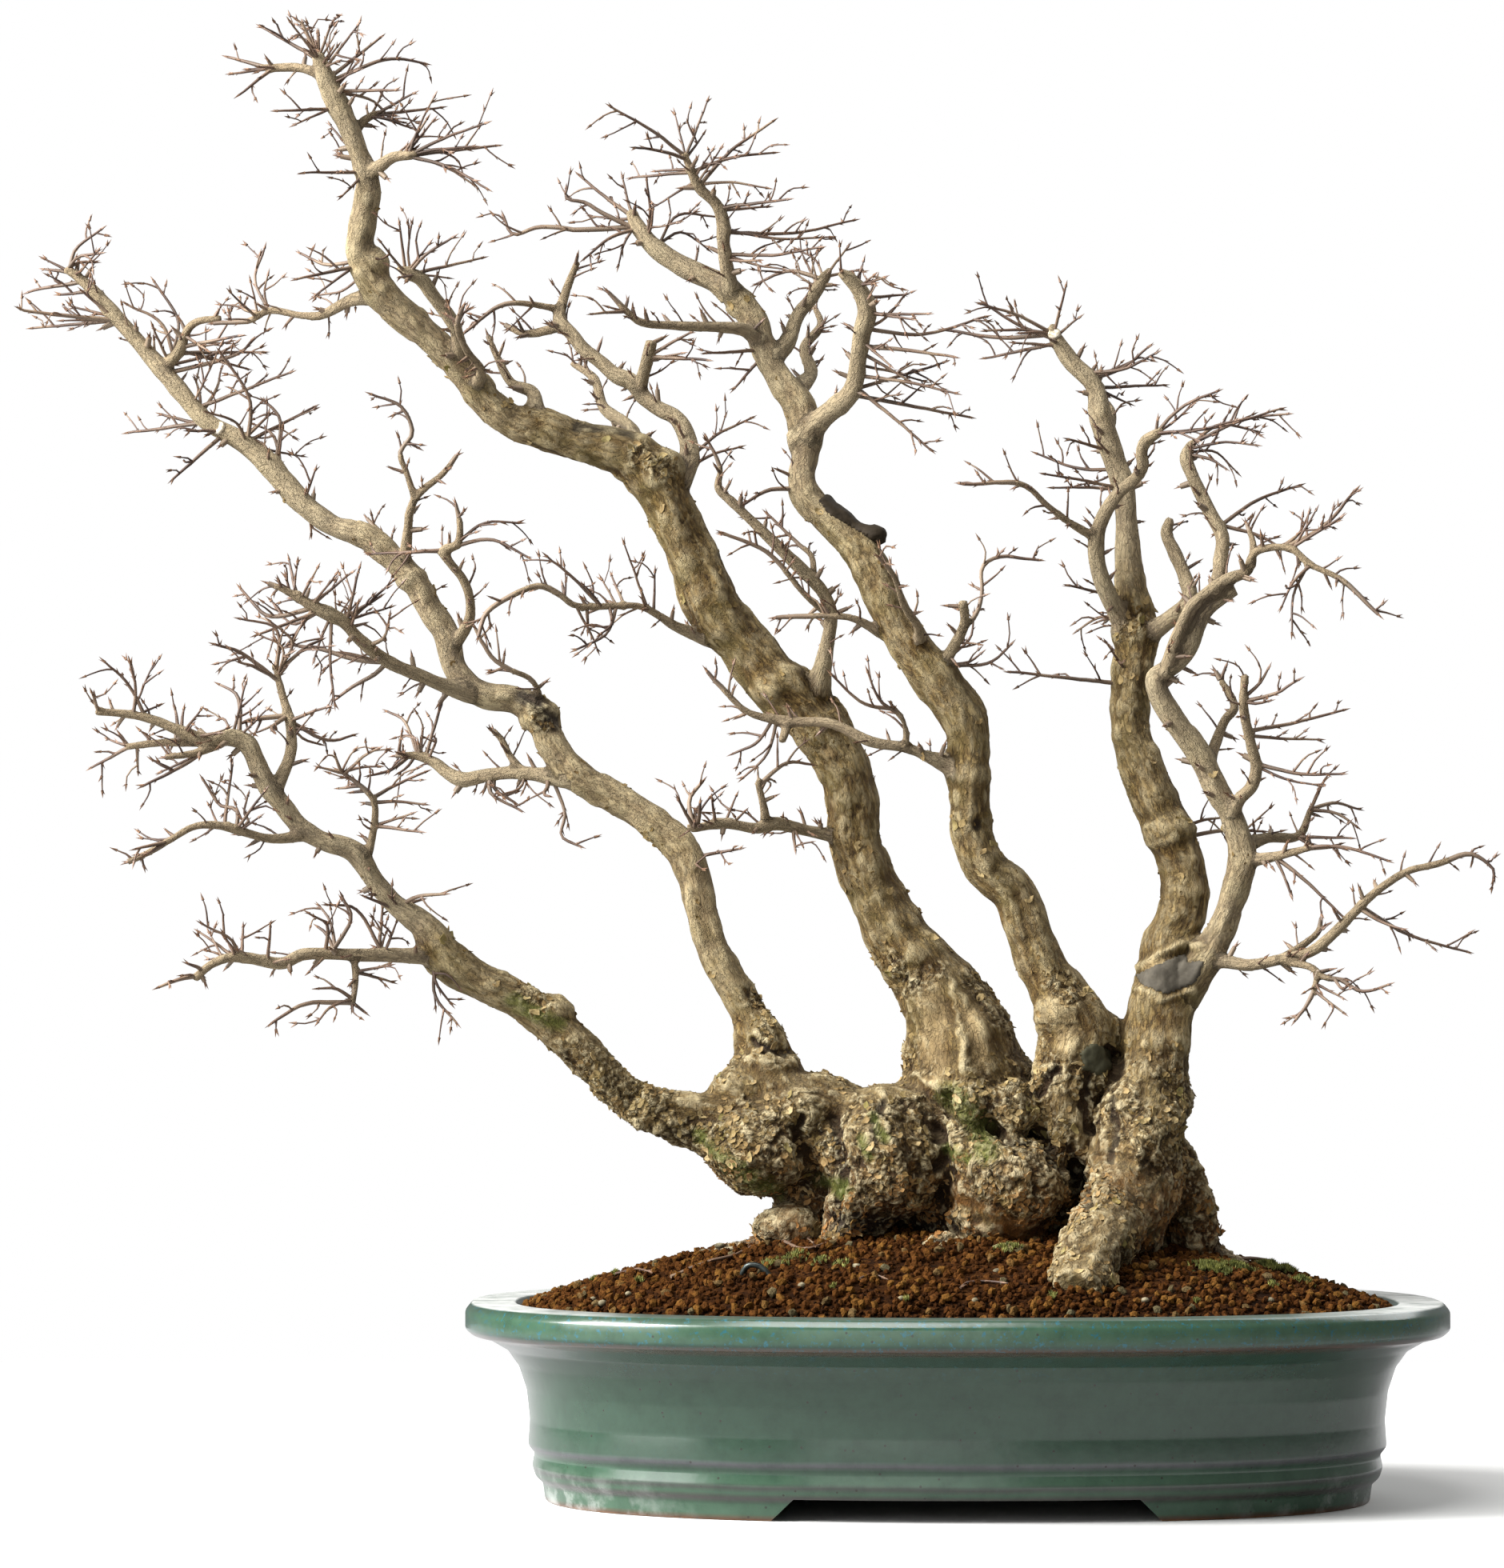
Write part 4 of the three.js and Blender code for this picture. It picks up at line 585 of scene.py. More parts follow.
# Smaller swellings of the base and the trunks, seen in the photograph: across, up, depth, half sizes
lumps = [
    [-122, 217, -10, 34, 30, 31], [-142, 226, -8, 22, 20, 20], [-98, 236, -14, 24, 20, 20],
    [-44, 205, -24, 38, 33, 37], [-42, 236, -12, 36, 27, 20], [-60, 180, -30, 24, 20, 20],
    [6, 212, -24, 22, 22, 32], [22, 172, -36, 28, 20, 18], [14, 246, -30, 12, 10, 13],
    [34, 240, -30, 17, 14, 16], [38, 194, -40, 34, 28, 29], [77, 131, -136, 23, 19, 15],
    [34, 147, -76, 18, 15, 11], [-10, 156, -62, 14, 13, 10], [-82, 190, 4, 14, 16, 22],
    [120, 190, -24, 25, 22, 19], [128, 160, 14, 22, 16, 26], [101, 276, 8, 10, 9, 14],
    [47, 224, 4, 12, 12, 14], [-92, 182, 6, 14, 14, 12], [-104, 168, -8, 23, 17, 14],
    [-20, 176, 34, 66, 26, 26], [76, 186, 26, 44, 26, 44], [66, 300, -16, 18, 17, 18],
    [90, 287, -8, 18, 15, 16], [120, 258, -18, 25, 19, 22], [112, 210, -26, 29, 24, 30],
    [138, 245, -18, 8, 9, 10], [-32, 330, 3, 12, 12, 12], [-130, 254, 0, 24, 20, 13],
    [-108, 252, 0, 24, 20, 14], [-252, 302, -22, 15, 13, 12], [-318, 334, -34, 15, 13, 13],
    [-260, 486, 38, 14, 12, 12], [-110, 506, 8, 20, 20, 16], [-186, 640, 0, 19, 18, 17],
    [156, 338, -12, 12, 12, 12], [134, 414, 2, 18, 16, 14], [113, 538, 20, 16, 15, 13],
    [8, 450, -19, 15, 15, 14], [-94, 660, 0, 12, 11, 13], [150, 162, -8, 15, 13, 16],
    [-340, 572, 48, 11, 10, 9], [-366, 770, -30, 12, 11, 12],
]
# Twigs as drawn: radius, depth at the root and at the tip, then points across and up
twigs = [
    [1.2, 67, 70, -555, 766, -552, 779, -536, 792], [1, 66, 50, -549, 765, -538, 778],
    [1.1, 66, 80, -554, 766, -571, 767], [1.2, 65, 84, -548, 757, -582, 753],
    [1.3, 63, 44, -524, 735, -560, 738, -591, 742], [1.1, 63, 78, -525, 734, -578, 730],
    [1.2, 61, 76, -491, 710, -487, 734, -502, 759], [1.1, 60, 42, -493, 712, -503, 731],
    [1.2, 50, 30, -482, 718, -449, 725], [1.1, 54, 66, -484, 712, -434, 715],
    [1.2, 60, 38, -494, 702, -449, 714, -441, 722], [1.2, 58, 80, -474, 673, -463, 691, -460, 704],
    [1.1, 60, 40, -464, 688, -417, 702], [1.2, 56, 34, -444, 656, -442, 685, -460, 714],
    [1.1, 56, 84, -445, 658, -402, 680], [1.2, 54, 72, -424, 643, -423, 673, -433, 684],
    [1.2, 58, 76, -468, 669, -518, 664], [1.2, 57, 36, -458, 660, -490, 635],
    [1, 52, 40, -406, 622, -401, 640], [1, 52, 66, -404, 618, -403, 601],
    [1.2, -30, -18, -431, 894, -456, 901], [1, -32, -44, -428, 894, -449, 877],
    [1.1, -45, -30, -401, 898, -435, 920], [1.1, -45, -64, -401, 899, -417, 923],
    [1.2, -45, -50, -400, 900, -413, 929], [1.1, -45, -34, -400, 900, -400, 916],
    [1.1, -45, -56, -399, 900, -388, 931], [1.2, -44, -70, -396, 892, -375, 921],
    [1.1, -44, -30, -394, 886, -361, 913], [1.1, -44, -62, -391, 880, -351, 880],
    [1.1, -44, -36, -393, 886, -355, 900, -333, 897], [1, -43, -60, -388, 868, -425, 867],
    [1, -58, -70, -342, 839, -320, 850, -295, 859], [1.1, -58, -44, -342, 839, -288, 845],
    [1, -56, -74, -345, 838, -316, 831, -294, 818], [1, -30, -18, -364, 865, -323, 869],
    [1, -30, -46, -364, 865, -340, 878], [1, -32, -20, -366, 864, -360, 876],
    [1, -38, -60, -372, 828, -408, 828], [1, -38, -14, -373, 836, -384, 848, -392, 858],
    [1.1, -31, -50, -374, 768, -412, 761], [1.1, -31, -8, -374, 772, -394, 770, -410, 777],
    [1.2, -53, -70, -342, 765, -332, 776, -315, 787], [1, -53, -40, -340, 764, -297, 774],
    [1.1, -52, -76, -345, 766, -360, 784], [1, -53, -60, -344, 766, -348, 795],
    [1.1, 9, 30, -430, 741, -439, 761, -433, 780], [1, 12, -6, -438, 737, -454, 752],
    [1.2, 26, 8, -190, 712, -155, 710], [1, 14, 26, -166, 648, -150, 662, -128, 673],
    [1.1, -25, -40, -222, 556, -238, 572, -255, 586], [1, -12, -30, -192, 554, -207, 594],
    [1, -18, 0, -206, 556, -215, 574], [1.2, -20, -36, -211, 555, -218, 538, -237, 528],
    [1, -29, -12, -236, 555, -228, 538, -224, 528], [1.1, -12, -30, -170, 838, -192, 856, -215, 869],
    [1.1, -12, 6, -169, 838, -155, 873], [1, -6, -24, -162, 820, -147, 843],
    [1.1, -6, 12, -161, 818, -140, 842, -114, 860], [1, -9, 8, -165, 828, -202, 825],
    [1.1, -1, -26, -148, 806, -105, 811], [1, 4, 26, -144, 790, -100, 790, -64, 798],
    [1, 10, -18, -143, 776, -112, 776, -85, 781], [1.2, 40, 56, -202, 800, -217, 811, -235, 826],
    [1.4, 38, 50, -199, 794, -237, 792, -260, 794, -277, 789, -283, 800],
    [1.1, 38, 20, -198, 792, -214, 788, -232, 774], [1.1, 36, 22, -193, 786, -191, 802, -193, 823],
    [1, 33, 54, -186, 780, -174, 801, -150, 800], [1, -36, -50, -205, 741, -227, 739],
    [1.1, 13, -8, -121, 716, -155, 714], [1.2, 44, 60, -82, 762, -104, 766, -124, 758],
    [1.1, 46, 30, -80, 763, -67, 781], [1, 42, 64, -86, 755, -96, 778],
    [1.2, -30, -48, -60, 718, -30, 716, -1, 712], [1.1, -34, -20, -58, 730, -20, 726, 19, 737],
    [1, -36, -60, -56, 738, -17, 739], [1, -40, -24, -57, 748, -32, 751],
    [1.2, -20, 4, -65, 689, -27, 681, 9, 674], [1, -24, -44, -63, 700, -30, 696, 0, 689],
    [1, -42, -60, -62, 757, -44, 762], [1.1, 41, 22, 62, 726, 40, 738, 17, 745],
    [1.1, 40, 60, 66, 720, 20, 711], [1.3, 41, 64, 62, 727, 28, 724, -6, 729],
    [1, 41, 20, 63, 727, 70, 756], [1.1, 36, 16, 80, 701, 106, 704, 126, 714],
    [1, 35, 56, 87, 692, 131, 694], [1.1, -27, -44, 127, 664, 142, 680, 164, 690],
    [1, -26, -8, 126, 663, 166, 668, 204, 679], [1.1, 10, 30, 147, 653, 165, 669, 190, 665],
    [1, 12, -12, 149, 657, 180, 672, 208, 676], [1.1, -10, 10, 165, 604, 190, 622, 216, 631],
    [1.3, -48, -30, 208, 591, 232, 606, 251, 628], [1, -48, -66, 210, 591, 242, 611],
    [1.1, -54, -70, 222, 582, 212, 562, 211, 539], [1.2, 19, 0, 112, 506, 72, 510, 35, 514],
    [1.1, 31, 12, 98, 652, 72, 660], [1, 30, 50, 102, 641, 76, 642, 52, 651],
    [1, 28, 8, 106, 628, 82, 634, 57, 638], [1.1, 22, 4, 104, 558, 72, 568],
    [1, 22, 42, 104, 552, 90, 548, 77, 540], [1.1, -52, -70, 181, 496, 200, 500, 215, 509],
    [1.1, -46, -30, 184, 476, 212, 482, 243, 490], [1.1, -40, -60, 188, 456, 216, 450, 241, 450],
    [1.1, 12, 30, 222, 427, 238, 432, 252, 428], [1, 4, -14, 213, 411, 247, 410],
    [1.1, -44, -62, 220, 403, 244, 404, 270, 396], [1, 14, -8, 222, 426, 230, 444],
    [1.2, 6, 26, 146, 412, 170, 415, 192, 414], [1.2, -34, -52, 200, 398, 218, 384, 242, 361],
    [1.1, -65, -80, 240, 321, 254, 314, 270, 318], [1.1, -57, -40, 254, 367, 282, 350, 319, 339],
    [1, -63, -80, 224, 314, 242, 301], [1.1, -77, -90, -506, 485, -517, 506, -532, 520],
    [1, -80, -60, -513, 500, -502, 518], [1, -80, -96, -536, 489, -540, 501],
    [1.1, -75, -60, -485, 477, -488, 491], [1.1, -74, -92, -482, 476, -472, 490],
    [1.2, -69, -56, -447, 472, -449, 499, -460, 506], [1, -60, -80, -449, 498, -444, 506],
    [1.2, -73, -90, -468, 468, -485, 454, -507, 443], [1.1, -62, -46, -516, 467, -540, 454],
    [1.2, -41, -58, -424, 508, -447, 526, -463, 531], [1.1, -40, -24, -425, 513, -407, 529, -397, 534],
    [1, -31, -46, -412, 526, -425, 541, -447, 547], [1.1, -46, -60, -416, 482, -407, 487, -393, 492],
    [1.1, -46, -30, -416, 484, -392, 471, -377, 474], [1.4, -42, -60, -422, 484, -440, 484, -446, 482],
    [1.2, -78, -64, -450, 415, -449, 427, -460, 431, -470, 446], [1, -66, -50, -458, 430, -452, 455],
    [1, -70, -88, -449, 426, -432, 439], [1.1, -90, -104, -492, 407, -512, 403],
    [1.2, -62, -48, -388, 338, -391, 359, -397, 367], [1.2, -62, -76, -389, 339, -377, 361, -383, 373],
    [1.1, -52, -38, -360, 337, -358, 366], [1, -46, -66, -358, 348, -375, 366, -392, 368],
    [1.3, -80, -94, -447, 335, -452, 346, -470, 356], [1, -82, -68, -449, 338, -472, 351],
    [1, -79, -62, -446, 336, -445, 354], [1, -76, -92, -430, 334, -428, 354],
    [1.3, -62, -78, -376, 308, -407, 306, -427, 294], [1, -60, -44, -374, 326, -352, 320],
    [1.3, -86, -98, -473, 323, -484, 322, -497, 317], [1.1, -70, -84, -384, 451, -388, 462],
    [1, -68, -54, -372, 442, -385, 441], [1.1, -65, -48, -364, 435, -352, 442, -332, 451],
    [1, -58, -72, -364, 418, -335, 414], [1, -70, -84, -382, 451, -370, 461, -361, 466],
    [1.3, -42, -56, -348, 367, -337, 373, -320, 375], [1.2, -40, -56, -340, 366, -368, 373],
    [1.1, -34, -48, -324, 330, -325, 312, -312, 295], [1.3, -8, 8, -402, 552, -430, 549, -447, 566],
    [1.1, -6, -26, -398, 550, -437, 537], [1.5, 12, 26, -354, 520, -372, 521, -397, 528, -415, 531],
    [1, -5, -18, -390, 548, -391, 519, -388, 494], [1.2, 5, -12, -368, 531, -357, 536, -354, 549],
    [1.2, -3, 12, -384, 548, -360, 561], [1.1, 0, -16, -372, 555, -373, 579],
    [1, 2, 18, -368, 557, -352, 571], [1.1, -11, 4, -412, 560, -417, 584],
    [1, -10, -26, -409, 560, -399, 579], [1, -8, -24, -404, 556, -378, 576],
    [1.1, 82, 96, -334, 460, -333, 478], [1.1, 81, 66, -331, 459, -323, 489, -321, 495],
    [1.1, 82, 98, -336, 460, -345, 484, -355, 489], [1, 84, 70, -348, 461, -346, 476],
    [1.1, 82, 66, -340, 461, -354, 452, -366, 449], [1.4, 64, 50, -291, 448, -290, 438, -273, 428],
    [1.3, 36, 22, -256, 445, -244, 425, -246, 411, -235, 405],
    [1.1, 52, 40, -268, 450, -272, 441, -284, 437], [1.4, -33, -48, -164, 416, -173, 434],
    [1.4, -33, -18, -162, 416, -166, 434, -158, 445], [1, -28, -42, -149, 420, -152, 434],
    [1, -27, -12, -143, 420, -137, 436], [1.2, -25, -10, -123, 443, -105, 457, -90, 456],
    [1.1, -6, -20, -104, 413, -100, 403], [1.1, 24, 8, -160, 401, -135, 403],
    [1.1, -42, -58, -39, 490, -57, 494, -77, 512], [1, -18, -34, 0, 516, 22, 520, 35, 531],
    [1.2, -30, -22, -112, 483, -118, 462, -132, 448], [1.3, -4, -20, -96, 628, -117, 628, -132, 619],
    [1.1, 16, 34, -321, 590, -345, 589, -366, 588], [1.1, 15, 2, -312, 594, -290, 597, -268, 586],
]


# Wood
wood = {
    "voxel": 1.35,        # mm, of the remesh that grows the limbs together
    "thinnest": 1.7,      # mm, limbs are carried by the remesh down to this radius
    "fillRounds": 45,     # rounds of filling the valleys where limbs and lobes meet
    "evenRounds": 5,      # rounds of smoothing all over
    "triangles": 190000,  # after thinning, each of the two wood pieces
}


def curvePoints(controls, count):
    # centripetal Catmull-Rom through the controls, evenly spaced in the parameter
    p = np.asarray(controls, float)
    p = np.vstack([2 * p[0] - p[1], p, 2 * p[-1] - p[-2]])
    made = []
    for k in range(count + 1):
        at = k / count * (len(controls) - 1)
        i = min(int(at), len(controls) - 2)
        w = at - i
        p0, p1, p2, p3 = p[i:i + 4]
        d0, d1, d2 = [max(np.linalg.norm(b - a) ** 0.5, 1e-4) for a, b in ((p0, p1), (p1, p2), (p2, p3))]
        t1 = ((p1 - p0) / d0 - (p2 - p0) / (d0 + d1) + (p2 - p1) / d1) * d1
        t2 = ((p2 - p1) / d1 - (p3 - p1) / (d1 + d2) + (p3 - p2) / d2) * d1
        made.append(p1 + w * t1 + w * w * (3 * (p2 - p1) - 2 * t1 - t2) + w ** 3 * (2 * (p1 - p2) + t1 + t2))
    return np.array(made)


def centreLine(stations, spacing):
    # points, radii and a frame that doesn't twist, about every spacing mm
    centres = np.array([place(x, z, y) for x, z, _, y in stations])
    length = np.linalg.norm(np.diff(centres, axis=0), axis=1).sum()
    count = max(2, int(length / spacing))
    points = curvePoints(centres, count)
    at = np.linspace(0, len(stations) - 1, count + 1)
    radii = np.interp(at, range(len(stations)), [s[2] for s in stations])
    # a limb swells and narrows a little along its way
    along = np.linspace(0, length, count + 1) + 7 * stations[0][0]
    radii = radii * (1 + 0.03 * np.sin(0.083 * along) + 0.03 * np.sin(0.29 * along + 1))
    tangent = np.gradient(points, axis=0)
    tangent /= np.linalg.norm(tangent, axis=1)[:, None]
    normal = np.zeros_like(points)
    n = np.array([1.0, 0, 0]) if abs(tangent[0][1]) > 0.9 else np.array([0, 1.0, 0])
    for k, t in enumerate(tangent):
        n = n - n.dot(t) * t
        n /= np.linalg.norm(n)
        normal[k] = n
    return points, radii, normal, np.cross(normal, tangent)


def tube(line, sides, vertices, faces):
    # a closed tube along a centre line, added to the lists
    points, radii, normal, across = line
    start = len(vertices)
    for p, r, n, b in zip(points, radii, normal, across):
        for k in range(sides):
            a = 2 * math.pi * k / sides
            uneven = 1 + 0.05 * math.sin(3 * a + p[2] * 0.11) + 0.05 * math.sin(5 * a - p[0] * 0.13)
            vertices.append(p + (n * math.cos(a) + b * math.sin(a)) * r * uneven)
    faces += ringFaces(start, len(points), sides)
    vertices += [points[0], points[-1]]
    last = start + (len(points) - 1) * sides
    for k in range(sides):
        faces.append((start + (k + 1) % sides, start + k, len(vertices) - 2))
        faces.append((last + k, last + (k + 1) % sides, len(vertices) - 1))


def ball(centre, across, deep, up, vertices, faces, turns=14):
    # an uneven burl, added to the lists
    x, _, z = centre
    start = len(vertices)
    rings = turns // 2
    for j in range(1, rings):
        for k in range(turns):
            a, e = 2 * math.pi * k / turns, math.pi * j / rings
            v = np.array([math.sin(e) * math.cos(a), math.sin(e) * math.sin(a), math.cos(e)])
            wave = math.sin(5.1 * v[0] + x) * math.sin(4.3 * v[1] + 2 * v[2]) + math.sin(6.2 * v[2] + z) * 0.6
            vertices.append(centre + v * np.array([across, deep, up]) * (1 + 0.05 * wave))
    faces += ringFaces(start, rings - 1, turns, True)
    vertices += [centre + np.array([0, 0, up]), centre - np.array([0, 0, up])]
    last = start + (rings - 2) * turns
    for k in range(turns):
        faces.append((start + k, start + (k + 1) % turns, len(vertices) - 2))
        faces.append((last + (k + 1) % turns, last + k, len(vertices) - 1))


def limbCentres():
    lines = [centreLine(stations, 4) for stations in limbs.values()]
    return np.vstack([line[0] for line in lines]), np.concatenate([line[1] for line in lines])


def joinedWood():
    vertices, faces = [], []
    for stations in limbs.values():
        points, radii, normal, across = centreLine(stations, 4)
        thick = np.nonzero(radii >= wood["thinnest"])[0]
        if len(thick) < 2:
            continue
        end = thick[-1] + 1
        # thin ends are carried a little fatter, so that the remesh keeps them
        line = (points[:end], np.maximum(radii[:end], 1.9), normal[:end], across[:end])
        tube(line, 14 if radii[0] > 8 else 9, vertices, faces)
    for x, z, y, across, deep, up in burls + lumps:
        ball(place(x, z, y), across, deep, up, vertices, faces)
    # a knuckle where each twig springs
    centres, radii = limbCentres()
    for _, rootDepth, tipDepth, x, z, nextX, nextZ, *_ in twigs:
        start, ahead = place(x, z, rootDepth), place(nextX, nextZ, (rootDepth + tipDepth) / 2)
        nearest = np.linalg.norm(centres - start, axis=1).argmin()
        if wood["thinnest"] < radii[nearest] < 12:
            size = 1.7 + 0.2 * radii[nearest]
            towards = (ahead - start) / max(np.linalg.norm(ahead - start), 1e-6)
            ball(centres[nearest] + towards * radii[nearest] * 0.75, size, size, size, vertices, faces, 8)
    piece = newMesh("wood", toWorld(vertices), faces)
    remesh = piece.modifiers.new("grow together", "REMESH")
    remesh.mode = "VOXEL"
    remesh.voxel_size = wood["voxel"] * mm
    return applied(piece)


# Marks on the wood, as strokes of a brush in the elevation. Each is how wide, how far it
# stands out or is sunk (mm), and its points across and up.
marks = {
    # the dark strokes sink the wood into crevices, and there paint it near black as painted shade
    "dark": [
        [3.5, -6, (-97, 236), (-98, 226), (-95, 212)], [5, -9, (70, 216), (76, 202), (79, 184)],
        [9, -6, (-74, 172), (-50, 164), (-22, 162), (-6, 166)],
        [4, -5, (97, 278), (101, 270), (100, 263)], [3, -1.5, (-46, 244), (-52, 232), (-50, 222)],
        [3, -5, (-12, 232), (-6, 218), (-10, 204)], [6, -3, (-270, 500), (-258, 492), (-248, 484)],
        [4, -1.5, (-237, 668), (-218, 668), (-202, 664)], [3.5, -3, (14, 419), (14, 417)],
        [4, -1, (-145, 590), (-144, 586)], [2.5, -3, (-126, 284), (-118, 278), (-106, 276), (-98, 280)],
        [2.5, -3, (52, 250), (58, 262), (66, 268)], [3.5, -6, (20, 232), (30, 222), (46, 221)],
        [4, -5, (-76, 236), (-74, 214), (-72, 202), (-74, 184)],
        [3, -4, (-3, 214), (-5, 196), (-10, 184)], [4, -5, (52, 226), (62, 212), (74, 196)],
        [2.5, -1.5, (98, 246), (100, 226), (96, 208)], [3, -4, (82, 262), (80, 244), (84, 228)],
    ],
    "bare": [
        [9, -0.6, (-18, 318), (-12, 300), (-16, 280), (-12, 262)],
        [7, -0.6, (12, 298), (15, 280), (16, 264)], [8, 0.6, (64, 306), (68, 294), (70, 282)],
        [5, 0.4, (-134, 230), (-128, 226)], [4, 0.4, (-118, 220), (-112, 216)],
        [4, -0.5, (-81, 465), (-79, 463)], [5, 0.3, (124, 330), (136, 330)],
        [5, 0, (-30, 232), (-24, 226)], [4, 0, (36, 204), (40, 196)], [4, 0.3, (106, 232), (110, 220)],
        [4, 0, (-60, 226), (-54, 218)],
    ],
    "mossy": [
        [10, 0.3, (-4, 250), (8, 240), (16, 226), (20, 214)],
        [7, 0.2, (-276, 308), (-262, 300), (-248, 294)], [6, 0.2, (-84, 196), (-70, 190)],
        [7, 0.2, (20, 156), (34, 150), (46, 146)], [4, 0.2, (-52, 236), (-44, 222)],
        [5, 0.2, (-160, 226), (-150, 214), (-134, 206)], [5, 0.3, (-58, 222), (-54, 212)],
        [5, 0.3, (-6, 217), (8, 209)], [8, 0, (-142, 206), (-128, 196), (-112, 190)],
    ],
    "ridge": [
        [3, 2.2, (-2, 316), (2, 300), (6, 284), (4, 266)],
        [2.6, 3.2, (116, 329), (128, 337), (142, 344), (153, 343)],
        [2.2, 1.8, (114, 316), (130, 309), (148, 314)], [3, 1.8, (-24, 262), (-10, 254), (4, 256)],
        [4, 2, (-140, 268), (-128, 272), (-112, 268), (-100, 270)],
        [2.5, 1.6, (84, 240), (92, 228), (94, 214)],
    ],
}


# Where the bark is smooth on the base, and where it flakes higher up
barkKinds = {
    "smooth": [
        [14, 0, (-14, 312), (-8, 292), (-2, 270)], [13, 0, (14, 300), (18, 284), (24, 268)],
        [9, 0, (66, 304), (70, 284)], [13, 0, (96, 216), (112, 196), (128, 186)],
        [9, 0, (64, 250), (80, 232), (84, 214)],
        [15, 0, (-168, 246), (-140, 254), (-104, 258), (-70, 250)],
        [17, 0, (96, 172), (84, 152), (74, 136)], [11, 0, (0, 188), (20, 172), (44, 164)],
        [10, 0, (-104, 176), (-98, 164)], [10, 0, (106, 168), (124, 168)],
        [8, 0, (4, 262), (-30, 256), (-60, 250)], [9, 0, (118, 262), (124, 244)],
    ],
    "flaky": [
        [9, 0, (-118, 284), (-112, 300), (-124, 312)], [8, 0, (-40, 334), (-28, 318), (-12, 326)],
        [8, 0, (12, 322), (26, 306), (36, 290)], [7, 0, (-200, 262), (-188, 252)],
        [7, 0, (-258, 304), (-270, 312)], [7, 0, (-262, 490), (-254, 480)], [8, 0, (62, 322), (72, 312)],
        [8, 0, (-196, 652), (-180, 640)], [7, 0, (110, 540), (116, 548)], [7, 0, (-24, 480), (-16, 470)],
    ],
}


def strokeWeight(across, up, stroke):
    # 1 on the stroke's path, falling off over its width
    width, path = stroke[0], stroke[2:]
    nearest = np.full(len(across), 1e9)
    for (x0, z0), (x1, z1) in zip(path, path[1:]):
        dx, dz = x1 - x0, z1 - z0
        t = np.clip(((across - x0) * dx + (up - z0) * dz) / (dx * dx + dz * dz), 0, 1)
        nearest = np.minimum(nearest, np.hypot(across - x0 - t * dx, up - z0 - t * dz))
    return np.exp(-(nearest / width) ** 2)


def strokes(kind, across, up, points):
    # where the bark is of this kind, from 0 to 1
    wobble = noise(points / 6, 13) * 3
    found = np.zeros(len(points))
    for stroke in barkKinds[kind]:
        found = np.maximum(found, strokeWeight(across + wobble, up + wobble, stroke))
    return found


def nearestLimb(points):
    # for each point: place in the frame of the nearest limb, and that limb's radius, in mm
    centres, radii, tangents, normals, acrosses, lengths = [], [], [], [], [], []
    for number, stations in enumerate(limbs.values()):
        p, r, n, b = centreLine(stations, 6)
        step = np.linalg.norm(np.diff(p, axis=0), axis=1)
        centres.append(p)
        radii.append(r)
        normals.append(n)
        acrosses.append(b)
        tangents.append(np.cross(b, n))
        lengths.append(np.concatenate([[0], np.cumsum(step)]) + 173 * number)
    centres, radii, lengths = np.vstack(centres), np.concatenate(radii), np.concatenate(lengths)
    tangents, normals, acrosses = np.vstack(tangents), np.vstack(normals), np.vstack(acrosses)
    # searched once for each small cell, not for each point
    cells, back = np.unique(np.round(points / 2.5).astype(int), axis=0, return_inverse=True)
    back = back.ravel()
    squares = (centres ** 2).sum(1)
    nearest = np.empty(len(cells), int)
    for i in range(0, len(cells), 20000):
        part = cells[i:i + 20000] * 2.5
        away = np.sqrt(np.maximum((part ** 2).sum(1)[:, None] + squares - 2 * part @ centres.T, 0)) - radii
        nearest[i:i + 20000] = away.argmin(1)
    found = nearest[back]
    offset = points - centres[found]
    along = lengths[found] + (offset * tangents[found]).sum(1)
    local = np.stack([(offset * normals[found]).sum(1), (offset * acrosses[found]).sum(1), along], 1)
    return local, radii[found]


def neighbourMean(piece):
    # gives the mean of each point's neighbours, for points of this piece
    edges = valuesOf(piece.data.edges, "vertices", 2, int)
    one, other = np.concatenate([edges, edges[:, ::-1]]).T
    size = len(piece.data.vertices)
    count = np.maximum(np.bincount(one, minlength=size), 1)[:, None]
    return lambda points: np.stack([np.bincount(one, points[other, k], size) for k in range(3)], 1) / count


def smoothed(piece, points, share, rounds):
    # each point moves towards the mean of its neighbours, by its own share
    mean = neighbourMean(piece)
    for _ in range(rounds):
        points = points + (mean(points) - points) * share[:, None]
    return points


def valleysFilled(piece, points, share, rounds):
    # hollows creep outwards and nothing shrinks, so that limbs and lobes run into each other
    mean = neighbourMean(piece)
    for turn in range(rounds):
        if turn % 10 == 0:
            setVertices(piece, toWorld(points))
            normals = normalsOf(piece)
        out = np.maximum(((mean(points) - points) * normals).sum(1), 0)
        points = points + normals * (out * share)[:, None]
    return points


